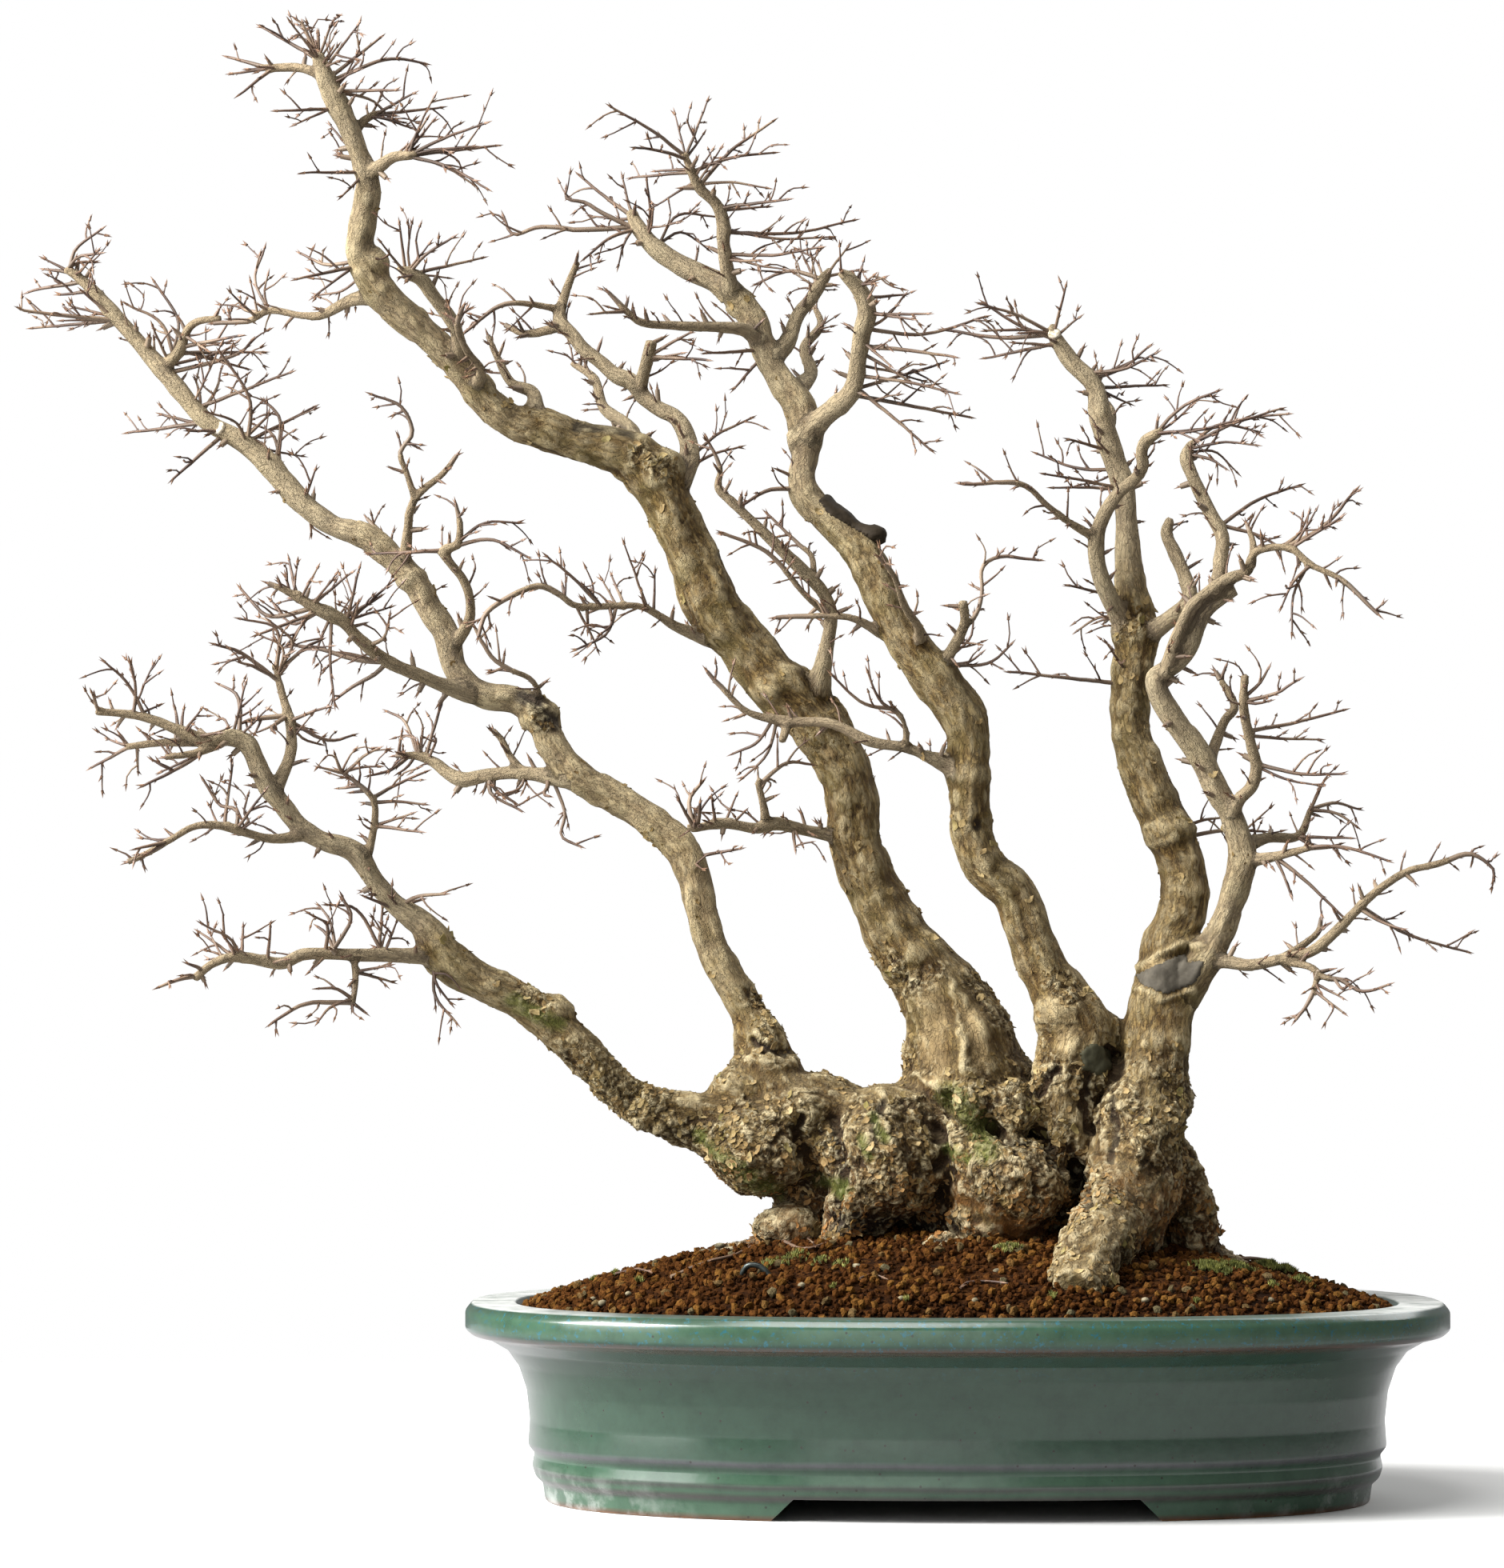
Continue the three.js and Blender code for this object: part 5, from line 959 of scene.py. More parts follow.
def platesAt(points, size, seed, where):
    # scales of bark some size mm across, at the points where they show: how far each point is from
    # its scale's edge (0 to 1), how it leans, and a number of its own from 0 to 1
    p = (points[where] / size).astype(np.float32)
    cell = np.floor(p).astype(np.int32)
    first, second = np.full(len(p), 9, np.float32), np.full(len(p), 9, np.float32)
    lean, own = np.zeros(len(p), np.float32), np.zeros(len(p), np.float32)
    for step in np.ndindex(3, 3, 3):
        c = cell + np.array(step, np.int32) - 1
        parts = [hashed(c, seed + 100 * k) * np.float32(1 / 0xffffff) for k in range(4)]
        away = p - c - np.stack(parts[:3], 1)
        d = np.sqrt((away ** 2).sum(1))
        near = d < first
        second = np.where(near, first, np.minimum(second, d))
        leaning = away[:, 0] * np.cos(6.28 * parts[3]) + away[:, 2] * np.sin(6.28 * parts[3])
        lean, own = np.where(near, leaning, lean), np.where(near, parts[3], own)
        first = np.where(near, d, first)
    made = np.zeros((3, len(points)))
    made[0] = 1
    made[:, where] = second - first, lean, own
    return made


def barkRelief(piece):
    points = toPot(verticesOf(piece))
    local, girth = nearestLimb(points)
    across, up = elevation(points)
    low = smoothStep(345, 270, up)
    points = valleysFilled(piece, points, 0.35 + 0.45 * low, wood["fillRounds"])
    points = smoothed(piece, points, smoothStep(2, 7, girth) * 0.6, wood["evenRounds"])
    setVertices(piece, toWorld(points))
    normals = normalsOf(piece)
    across, up = elevation(points)
    rough = smoothStep(300, 255, up + 12 * noise(points / 20, 30))
    rough *= 1 - 0.75 * strokes("smooth", across, up, points)
    rough = np.maximum(rough, strokes("flaky", across, up, points))
    thick = smoothStep(3, 14, girth)
    out = np.zeros(len(points))
    # long flutes that follow the limb, as on an old hornbeam
    out += noise(local / [9, 9, 60], 1) * np.clip(girth, 0, 20) * 0.055
    out += noise(local / [2.6, 2.6, 5.5], 2) * 0.42 * thick
    out += noise(local / [4.5, 4.5, 12], 32) * 0.3 * thick
    # fine wrinkles round the limb
    out += noise(local / [10, 10, 3.2], 3) * 0.14 * thick
    out += noise(points / 5.5, 4) * 0.15 * thick
    # knots, where old twigs were taken off
    knot = smoothStep(0.5, 0.85, noise(local / [9, 9, 15], 5))
    out += knot * np.clip(girth, 0, 9) * 0.13
    # the burled base: soft swellings, then scales of bark that lift at one edge
    out += rough * (noise(points / 24, 6) * 2.6 + noise(points / 11, 7) * 1.3)
    warped = points + np.stack([noise(points / 5, s) for s in (40, 41, 42)], 1) * 1.7
    edge, lean, own = platesAt(warped, 8.5, 3, rough > 0.02)
    small, smallLean, smallOwn = platesAt(warped * [1, 1, 1.25], 4.4, 5, rough > 0.02)
    scale = (own - 0.5) * 0.7 + lean * 1.2 - 0.4 * (1 - smoothStep(0, 0.12, edge))
    scale += (smallOwn - 0.5) * 0.5 + smallLean * 0.8 - 0.25 * (1 - smoothStep(0, 0.15, small))
    scale += noise(points / 2.2, 8) * 0.4
    out += rough * scale
    # on the trunks the same scales lie flat and long
    some = smoothStep(-0.15, 0.45, noise(local / [22, 22, 60], 31)) * thick * (1 - rough)
    longer = local / [1, 1, 2.4] + noise(points / 6, 43)[:, None]
    onTrunk, trunkLean, trunkOwn = platesAt(longer, 6.5, 9, some > 0.02)
    out += some * ((trunkOwn - 0.5) * 0.5 + trunkLean * 0.45 - 0.35 * (1 - smoothStep(0, 0.12, onTrunk)))
    facing = smoothStep(0.35, -0.15, normals[:, 1])
    tints = {}
    for kind in marks:
        tint = np.zeros(len(points))
        wobble = noise(points / 4, 12) * 1.6
        for stroke in marks[kind]:
            weight = strokeWeight(across + wobble, up + wobble, stroke) * facing
            out += weight * stroke[1]
            tint = np.maximum(tint, weight)
        tints[kind] = tint
    points = points + normals * out[:, None]
    setVertices(piece, toWorld(points))
    cracks = rough * np.maximum(1 - smoothStep(0, 0.1, edge), 0.6 * (1 - smoothStep(0, 0.12, small)))
    cracks = np.maximum(cracks, some * 0.7 * (1 - smoothStep(0, 0.08, onTrunk)))
    # how far each point lies below the lobes round it (mm), over some 15 mm
    inThe = smoothed(piece, points, np.ones(len(points)), 60)
    setAttribute(piece, "valley", ((inThe - points) * normals).sum(1))
    setAttribute(piece, "barkCo", local)
    setAttribute(piece, "girth", girth)
    setAttribute(piece, "rough", rough)
    setAttribute(piece, "barkMarks", np.stack([tints["dark"], tints["bare"], tints["mossy"]], 1))
    setAttribute(piece, "barkScales", np.stack([cracks, rough * own + (1 - rough) * trunkOwn, scale], 1))
    return piece


def thinned(piece, triangles):
    decimate = piece.modifiers.new("thin", "DECIMATE")
    decimate.ratio = min(1, triangles / (2 * len(piece.data.polygons)))
    decimate.use_collapse_triangulate = True
    return applied(piece)


def setHollows(piece):
    # how far each point lies below (+) or above (-) the points round it, in mm
    points = toPot(verticesOf(piece))
    around = smoothed(piece, points, np.ones(len(points)), 3)
    sunk = ((around - points) * normalsOf(piece)).sum(1)
    setAttribute(piece, "hollow", sunk)


def halved(piece, names):
    # the lower and the upper half of a mesh of triangles, with the normals of the whole
    points, normals = verticesOf(piece), normalsOf(piece)
    faces = valuesOf(piece.data.polygons, "vertices", 3, int)
    height = points[faces, 2].mean(1)
    split = np.median(height)
    made = []
    for name, chosen in zip(names, (height < split, height >= split)):
        used, where = np.unique(faces[chosen], return_inverse=True)
        half = newMesh(name, points[used], where.reshape(-1, 3).tolist())
        for key in ("barkCo", "girth", "rough", "barkMarks", "barkScales", "hollow", "valley"):
            setAttribute(half, key, attributeOf(piece, key)[used])
        smoothShade(half)
        half.data.normals_split_custom_set_from_vertices(normals[used].tolist())
        made.append(half)
    bpy.data.objects.remove(piece)
    return made


def hornbeamBark():
    # old hornbeam bark: grey-beige over brown, thin and matt, flaking in small scales on the burls,
    # with an olive film of algae that is made stronger on the undersides as painted shade, painted shade
    # in hollows and painted light on what stands out and faces up, and browner young wood where it is thin
    material, add, shader = newMaterial("hornbeam bark")
    place = add("Attribute", attribute_name="barkCo").outputs["Vector"]
    girth = add("Attribute", attribute_name="girth").outputs["Fac"]
    rough = add("Attribute", attribute_name="rough").outputs["Fac"]
    hollow = add("Attribute", attribute_name="hollow").outputs["Fac"]
    valley = add("Attribute", attribute_name="valley").outputs["Fac"]
    marked = add("SeparateXYZ", {0: add("Attribute", attribute_name="barkMarks").outputs["Vector"]})
    scaled = add("SeparateXYZ", {0: add("Attribute", attribute_name="barkScales").outputs["Vector"]})
    milli = inMilli(add)

    def blended(colour, weight, code, blend="MIX"):
        made = add("Mix", {0: weight, 6: colour, 7: linear(code)}, data_type="RGBA", blend_type=blend)
        return made

    def weightOf(value, low, high, most):
        return add("MapRange", {0: value, 1: low, 2: high, 3: 0.0, 4: most})

    # patches some 13 mm round and 30 mm along the limb
    long = add("VectorMath", {0: place, 1: (1 / 10, 1 / 10, 1 / 19)}, operation="MULTIPLY")
    patch = add("TexNoise", {"Vector": long, "Scale": 1.0, "Detail": 7.0, "Roughness": 0.7})
    colour = add("ValToRGB", {0: patch}, stops=[(0.27, "#4f3d1b"), (0.37, "#614d2a"), (0.46, "#725d36"),
                                                (0.54, "#846f47"), (0.63, "#988459"), (0.74, "#b4a277")])
    # trunks under 28 mm thick are paler and greyer
    pale = add("TexNoise", {"Vector": long, "Scale": 1.7, "Detail": 6.0, "Roughness": 0.65})
    slim = weightOf(girth, 13.5, 8.5, 0.8)
    greyed = add("ValToRGB", {0: pale}, stops=[(0.3, "#6e5d42"), (0.42, "#8b7b61"), (0.53, "#a5957a"),
                                               (0.65, "#bdb098")])
    colour = add("Mix", {0: slim, 6: colour, 7: greyed}, data_type="RGBA")
    # fine cracks and fibres, about 1.5 mm apart, that run along the limb
    flat = add("VectorMath", {0: place, 1: (1 / 1.9, 1 / 1.9, 1 / 6.5)}, operation="MULTIPLY")
    dash = add("TexNoise", {"Vector": flat, "Scale": 1.0, "Detail": 5.0, "Roughness": 0.68})
    grain = add("ValToRGB", {0: dash}, stops=[(0.38, "#4b3a1f"), (0.45, "#8f7e5c"), (0.5, "#cdc0a2"),
                                              (0.57, "#fffaee")])
    colour = add("Mix", {6: colour, 7: grain, 0: 0.9}, data_type="RGBA", blend_type="MULTIPLY")
    # crisp fissures between strips of bark 3 mm wide and 14 mm long
    strayAlong = add("TexNoise", {"Vector": place, "Scale": 1 / 4.0, "Detail": 3.0})
    stray = add("VectorMath", {0: strayAlong.outputs["Color"], "Scale": 5.5}, operation="SCALE")
    bent = add("VectorMath", {0: place, 1: stray}, operation="ADD")
    strip = add("VectorMath", {0: bent, 1: (1 / 3.0, 1 / 3.0, 1 / 14)}, operation="MULTIPLY")
    split = add("TexVoronoi", {"Vector": strip, "Scale": 1.0, "Randomness": 1.0},
                feature="DISTANCE_TO_EDGE")
    deep = add("Math", {0: weightOf(split.outputs["Distance"], 0.15, 0.03, 1.0),
                        1: weightOf(dash, 0.64, 0.48, 0.9)}, operation="MULTIPLY")
    colour = blended(colour, deep, "#4a371a")
    # each scale of the base has its own tone, from brown to weathered beige
    tones = add("ValToRGB", {0: scaled.outputs["Y"]},
                stops=[(0.0, "#553d19"), (0.25, "#826a3c"), (0.5, "#a58d5e"), (0.75, "#c1ac7d"),
                       (1.0, "#d8c698")])
    onBase = add("Math", {0: rough, 1: 0.6}, operation="MULTIPLY")
    colour = add("Mix", {0: onBase, 6: colour, 7: tones}, data_type="RGBA")
    # darker, browner stretches of older bark
    stretch = add("VectorMath", {0: place, 1: (1 / 17, 1 / 17, 1 / 30)}, operation="MULTIPLY")
    older = add("TexNoise", {"Vector": stretch, "Scale": 1.0, "Detail": 4.0, "Roughness": 0.6})
    colour = blended(colour, weightOf(older, 0.5, 0.6, 0.5), "#5c4522")
    # an olive film of algae in clouds, made stronger where the wood faces down: painted shade on the
    # undersides
    normal = add("SeparateXYZ", {0: add("NewGeometry").outputs["Normal"]})
    film = add("TexNoise", {"Vector": milli, "Scale": 1 / 24, "Detail": 5.0, "Roughness": 0.6})
    clouds = weightOf(film, 0.44, 0.62, 0.75)
    side = add("MapRange", {0: normal.outputs["Z"], 1: 0.5, 2: -0.5, 3: 0.25, 4: 1.25})
    olive = add("Math", {0: clouds, 1: side}, operation="MULTIPLY")
    colour = blended(colour, olive, "#665830")
    # rust brown low down, where the bark stays damp
    height = add("SeparateXYZ", {0: milli})
    damp = add("TexNoise", {"Vector": milli, "Scale": 1 / 17, "Detail": 4.0})
    low = weightOf(height.outputs["Z"], 225.0, 165.0, 1.0)
    rust = add("Math", {0: low, 1: weightOf(damp, 0.4, 0.5, 0.85)}, operation="MULTIPLY")
    rust = add("Math", {0: rust, 1: weightOf(height.outputs["Y"], -100.0, -70.0, 1.0)},
               operation="MULTIPLY")
    colour = blended(colour, rust, "#8a5c2a")
    # bare pale wood, then painted shade, near black, in the sunk crevices of the dark strokes
    for channel, code, most in (("Y", "#a08a63", 0.7), ("X", "#221811", 0.95)):
        spread = add("Math", {0: marked.outputs[channel], 1: dash}, operation="MULTIPLY")
        colour = blended(colour, weightOf(spread, 0.13, 0.36, most), code)
    colour = blended(colour, weightOf(scaled.outputs["X"], 0.2, 0.95, 0.8), "#33261a")
    # ragged small scales, 2 to 5 mm, over the base: each with its tone, and dark where two meet
    strayed = add("TexNoise", {"Vector": milli, "Scale": 1 / 3.5, "Detail": 2.0})
    spread = add("VectorMath", {0: strayed.outputs["Color"], "Scale": 5.0}, operation="SCALE")
    ragged = add("VectorMath", {0: milli, 1: spread}, operation="ADD")
    cells = add("TexVoronoi", {"Vector": ragged, "Scale": 1 / 4.6, "Randomness": 1.0})
    rims = add("TexVoronoi", {"Vector": ragged, "Scale": 1 / 4.6, "Randomness": 1.0},
               feature="DISTANCE_TO_EDGE")
    cellTone = add("SeparateXYZ", {0: cells.outputs["Color"]})
    light = add("ValToRGB", {0: cellTone.outputs["X"]},
                stops=[(0.0, "#87775a"), (0.5, "#ded2b8"), (1.0, "#fffbf2")])
    scaly = add("MapRange", {0: rough, 1: 0.1, 2: 0.7, 3: 0.2, 4: 0.5})
    colour = add("Mix", {0: scaly, 6: colour, 7: light}, data_type="RGBA", blend_type="MULTIPLY")
    seam = add("Math", {0: scaly, 1: weightOf(rims.outputs["Distance"], 0.06, 0.005, 0.75)},
               operation="MULTIPLY")
    colour = blended(colour, seam, "#35281b")
    # thin layers that curl and break off in wavy lips, 2 to 3 mm apart, on the flaking parts, with a painted
    # shadow just below each lip that lightens up to the next
    layers = add("TexNoise", {"Vector": milli, "Scale": 1 / 12, "Detail": 3.5, "Roughness": 0.62,
                              "Distortion": 0.9})
    steps = add("Math", {0: layers, 1: 10.0}, operation="MULTIPLY")
    lip = add("Math", {0: steps}, operation="FRACT")
    lipShadow = add("ValToRGB", {0: lip}, stops=[(0.0, "#2b1f10"), (0.1, "#6e5d40"), (0.3, "#b9a988"),
                                               (0.75, "#f3ecda"), (1.0, "#ffffff")])
    layered = add("MapRange", {0: rough, 1: 0.15, 2: 0.75, 3: 0.0, 4: 0.85})
    colour = add("Mix", {0: layered, 6: colour, 7: lipShadow}, data_type="RGBA", blend_type="MULTIPLY")
    # painted shade, brown, where lobes and limbs meet; painted light, pale, on the lobes that stand out and
    # on bark that faces up
    less = add("MapRange", {0: rough, 1: 0.0, 2: 0.5, 3: 0.5, 4: 1.0})
    shaded = add("Math", {0: weightOf(valley, 0.15, 1.9, 0.72), 1: less}, operation="MULTIPLY")
    colour = blended(colour, shaded, "#463219")
    colour = blended(colour, weightOf(valley, -0.2, -2.4, 0.3), "#c7b284")
    paintedTopLight = add("Math", {0: weightOf(normal.outputs["Z"], 0.05, 0.8, 0.16),
                            1: weightOf(patch, 0.36, 0.56, 1.0)}, operation="MULTIPLY")
    colour = blended(colour, paintedTopLight, "#cfbf95")
    # painted shade in the small hollows, painted highlight on the small points that stand out
    hollowShade = add("Math", {0: weightOf(hollow, 0.08, 0.8, 0.75), 1: less}, operation="MULTIPLY")
    colour = blended(colour, hollowShade, "#3a2b1b")
    raisedHighlight = add("Math", {0: weightOf(hollow, -0.1, -0.7, 0.5), 1: less}, operation="MULTIPLY")
    colour = blended(colour, raisedHighlight, "#d8c9a2")
    # moss in the crevices
    tufts = add("Math", {0: marked.outputs["Z"], 1: dash}, operation="MULTIPLY")
    colour = blended(colour, weightOf(tufts, 0.16, 0.46, 0.66), "#5c6526")
    # branches are greyer than trunks, and the thinner ones younger and browner
    colour = blended(colour, weightOf(girth, 12.0, 7.0, 0.32), "#a29584")
    colour = blended(colour, weightOf(girth, 6.0, 2.0, 0.7), "#7a6750")
    fine = add("VectorMath", {0: place, 1: (1 / 1.7, 1 / 1.7, 1 / 2.8)}, operation="MULTIPLY")
    wrinkle = add("TexNoise", {"Vector": fine, "Scale": 1.0, "Detail": 5.0, "Roughness": 0.7})
    bump = add("Bump", {"Height": wrinkle, "Strength": 1.0, "Distance": 1.4 * mm})
    open = add("Bump", {"Height": deep, "Normal": bump, "Strength": 0.9, "Distance": -0.7 * mm})
    lifted = add("Math", {0: cellTone.outputs["X"], 1: scaly}, operation="MULTIPLY")
    lipped = add("Bump", {"Height": lifted, "Normal": open, "Strength": 0.9, "Distance": 1.0 * mm})
    step = add("Math", {0: lip, 1: layered}, operation="MULTIPLY")
    curled = add("Bump", {"Height": step, "Normal": lipped, "Strength": 1.0, "Distance": 1.5 * mm})
    feed(shader, {"Base Color": colour, "Roughness": 0.88, "Specular IOR Level": 0.25, "Normal": curled})
    return material


def youngBark():
    # last years' twigs: smooth, thin, red-brown to grey-brown, with a faint sheen
    material, add, shader = newMaterial("young hornbeam bark")
    milli = inMilli(add)
    girth = add("Attribute", attribute_name="girth").outputs["Fac"]
    streak = add("TexNoise", {"Vector": milli, "Scale": 1 / 26, "Detail": 4.0})
    shades = add("ValToRGB", {0: streak}, stops=[(0.32, "#3d2b22"), (0.44, "#513c2f"), (0.55, "#68503f"),
                                                 (0.66, "#85705a")])
    old = add("MapRange", {0: girth, 1: 0.9, 2: 1.9, 3: 0.0, 4: 0.7})
    mixed = add("Mix", {0: old, 6: shades, 7: linear("#857560")}, data_type="RGBA")
    fine = add("TexNoise", {"Vector": milli, "Scale": 1 / 0.8, "Detail": 2.0})
    bump = add("Bump", {"Height": fine, "Strength": 0.4, "Distance": 0.2 * mm})
    feed(shader, {"Base Color": mixed, "Roughness": 0.6, "Normal": bump})
    return material


def budScales():
    # winter buds: overlapping brown scales, silky, lighter at their edges
    material, add, shader = newMaterial("bud scales")
    milli = inMilli(add)
    scales = add("TexNoise", {"Vector": milli, "Scale": 1 / 1.1, "Detail": 2.0})
    shades = add("ValToRGB", {0: scales}, stops=[(0.35, "#4f3829"), (0.5, "#6b4e3a"), (0.65, "#8d6c4f")])
    feed(shader, {"Base Color": shades, "Roughness": 0.55})
    return material


# Loose flakes of bark, curled, on the burled base
flakes = {
    "seed": 77, "kinds": 5, "corners": 7,
    "spacing": 2.0, "width": 2.0,       # mm
    "density": 120000,                  # a square metre
    "smallest": 0.35, "largest": 1.6,   # times the width
    "onTrunks": 0.09,                   # share that is left on the trunks
}


def flakeMesh(name, seed):
    # a thin curled chip of bark about 2 across, closed
    random = np.random.default_rng(seed)
    n = flakes["corners"]
    angles = (np.arange(n) + random.uniform(-0.3, 0.3, n)) * 2 * math.pi / n
    reach = random.uniform(0.6, 1.15, n)
    x, y = np.cos(angles) * reach * 1.25, np.sin(angles) * reach * 0.8
    curl, lift = random.uniform(0.02, 0.2), random.uniform(0.12, 0.42)
    rise = curl * (x * x + y * y) + lift * np.maximum(0, x) ** 1.5 + random.uniform(-0.08, 0.14, n)
    inner = curl * 0.25 * (x * x + y * y) + lift * np.maximum(0, x * 0.5) ** 1.5
    top = np.stack([x, y, rise - 0.06], 1)
    middle = np.stack([x * 0.5, y * 0.5, inner + random.uniform(-0.04, 0.06, n)], 1)
    points = np.vstack([[(0, 0, 0)], middle, top, top - [0, 0, 0.16], [(0, 0, -0.3)]])
    faces = []
    for k in range(n):
        j = (k + 1) % n
        faces += [(0, 1 + k, 1 + j), (1 + k, 1 + n + k, 1 + n + j, 1 + j)]
        faces += [(1 + n + k, 1 + 2 * n + k, 1 + 2 * n + j, 1 + n + j),
                  (1 + 2 * n + k, 1 + 3 * n, 1 + 2 * n + j)]
    return newMesh(name, points, faces)


def flakeTree(material):
    inputs = {"Flake %d" % (k + 1): "Object" for k in range(flakes["kinds"])}
    inputs.update({"Spacing": "Float", "Density": "Float", "Width": "Float", "Smallest": "Float",
                   "Largest": "Float", "Seed": "Int"})
    tree, add, given, out = newTree("bark flakes", inputs)
    rough = add("InputNamedAttribute", {"Name": "flaking"}, data_type="FLOAT")
    spots = add("DistributePointsOnFaces", {"Mesh": given["Geometry"], "Distance Min": given["Spacing"],
                                            "Density Max": given["Density"],
                                            "Density Factor": rough.outputs["Attribute"],
                                            "Seed": given["Seed"]}, distribute_method="POISSON")
    chips = add("JoinGeometry")
    for k in reversed(range(flakes["kinds"])):
        info = add("ObjectInfo", {"Object": given["Flake %d" % (k + 1)]})
        single = add("GeometryToInstance", {0: info.outputs["Geometry"]})
        feed(chips, {0: single})
    turn = add("RandomValue", {"Seed": given["Seed"], 0: (-0.28, -0.28, -3.14), 1: (0.28, 0.28, 3.14)},
               data_type="FLOAT_VECTOR")
    spin = add("EulerToRotation", {0: turn})
    rotation = add("RotateRotation", {0: spots.outputs["Rotation"], 1: spin}, rotation_space="LOCAL")
    size = add("RandomValue", {2: given["Smallest"], 3: given["Largest"], "Seed": given["Seed"]},
               data_type="FLOAT")
    width = add("Math", {0: size, 1: given["Width"]}, operation="MULTIPLY")
    placed = add("InstanceOnPoints", {"Points": spots.outputs["Points"], "Instance": chips,
                                      "Rotation": rotation, "Scale": width, "Pick Instance": True})
    tone = add("RandomValue", {"Seed": given["Seed"], 2: 0.0, 3: 1.0}, data_type="FLOAT")
    named = add("StoreNamedAttribute", {"Geometry": placed, "Value": tone, "Name": "flakeTone"},
                data_type="FLOAT", domain="INSTANCE")
    real = add("RealizeInstances", {"Geometry": named})
    painted = add("SetMaterial", {"Geometry": real, "Material": material})
    feed(out, {"Geometry": painted})
    return tree


def makeFlakes(name, host, material):
    # grown on a copy of the wood, thick where its bark is rough and sparse along the trunks
    piece = intoScene(name, host.data.copy())
    points = toPot(verticesOf(piece))
    rough, girth, marked = [attributeOf(piece, key) for key in ("rough", "girth", "barkMarks")]
    patchy = smoothStep(-0.15, 0.35, noise(points / 15, 51) + 0.5 * noise(points / 6, 52))
    above = smoothStep(-1, 4, points[:, 2] - soilHeight(points[:, 0], points[:, 1]))
    sparse = flakes["onTrunks"] * smoothStep(5, 12, girth) * smoothStep(-0.4, 0.5, noise(points / 18, 53))
    weight = np.maximum(rough * patchy, sparse) * above
    covered = (1 - 0.8 * marked[:, 0]) * (1 - 0.85 * marked[:, 1]) * (1 - 0.6 * marked[:, 2])
    setAttribute(piece, "flaking", weight * covered)
    kinds = [flakeMesh("flake %d" % (k + 1), flakes["seed"] + k) for k in range(flakes["kinds"])]
    values = {"Flake %d" % (k + 1): kind for k, kind in enumerate(kinds)}
    values.update({"Spacing": flakes["spacing"] * mm, "Density": float(flakes["density"]),
                   "Width": flakes["width"] * mm, "Smallest": flakes["smallest"],
                   "Largest": flakes["largest"], "Seed": flakes["seed"]})
    grown(piece, flakeTree(material), values)
    for kind in kinds:
        bpy.data.objects.remove(kind)
    return piece


def flakedBark():
    # curled outer bark: weathered grey-beige above, brown where it has just lifted
    material, add, shader = newMaterial("curled outer bark")
    milli = inMilli(add)
    tone = add("Attribute", attribute_name="flakeTone").outputs["Fac"]
    colours = add("ValToRGB", {0: tone}, stops=[(0.0, "#463319"), (0.25, "#6b5632"), (0.6, "#8a744e"),
                                                (0.85, "#a08b64"), (0.96, "#b8a57b"), (1.0, "#77713c")])
    cloud = add("TexNoise", {"Vector": milli, "Scale": 1 / 9, "Detail": 5.0, "Roughness": 0.65})
    shade = add("ValToRGB", {0: cloud}, stops=[(0.32, "#a59a86"), (0.52, "#e8e2d6"), (0.68, "#ffffff")])
    mixed = add("Mix", {6: colours, 7: shade, 0: 0.9}, data_type="RGBA", blend_type="MULTIPLY")
    # the same olive clouds and low rust brown as the bark they lift from
    film = add("TexNoise", {"Vector": milli, "Scale": 1 / 24, "Detail": 5.0, "Roughness": 0.6})
    clouds = add("MapRange", {0: film, 1: 0.46, 2: 0.62, 3: 0.0, 4: 0.5})
    filmed = add("Mix", {0: clouds, 6: mixed, 7: linear("#6b5d32")}, data_type="RGBA")
    height = add("SeparateXYZ", {0: milli})
    damp = add("TexNoise", {"Vector": milli, "Scale": 1 / 17, "Detail": 4.0})
    low = add("MapRange", {0: height.outputs["Z"], 1: 225.0, 2: 165.0})
    spots = add("MapRange", {0: damp, 1: 0.4, 2: 0.5, 3: 0.0, 4: 0.85})
    back = add("MapRange", {0: height.outputs["Y"], 1: -100.0, 2: -70.0})
    amount = add("Math", {0: low, 1: spots}, operation="MULTIPLY")
    amount = add("Math", {0: amount, 1: back}, operation="MULTIPLY")
    rusted = add("Mix", {0: amount, 6: filmed, 7: linear("#8a5c2c")}, data_type="RGBA")
    fine = add("TexNoise", {"Vector": milli, "Scale": 1 / 1.1, "Detail": 3.0})
    bump = add("Bump", {"Height": fine, "Strength": 0.5, "Distance": 0.4 * mm})
    feed(shader, {"Base Color": rusted, "Roughness": 0.88, "Specular IOR Level": 0.25, "Normal": bump})
    return material


# Twigs
twigLook = {
    "seed": 4217,
    "spurEvery": 14,     # mm of thin branch for each side spur
    "spurLength": 13,    # mm
    "stubEvery": 15,     # mm of branch for each cut stub
    "companions": 1.3,   # further twigs for each that is drawn
    "budEvery": 9,       # mm of twig
    "budLength": 4.8,    # mm
    "budWidth": 1.75,    # mm
    "tipBud": 1.1,       # times a side bud
    "sides": 4,
    "ringEvery": 4,      # mm
    "wander": 0.6,       # mm, how far a twig strays from its line
}
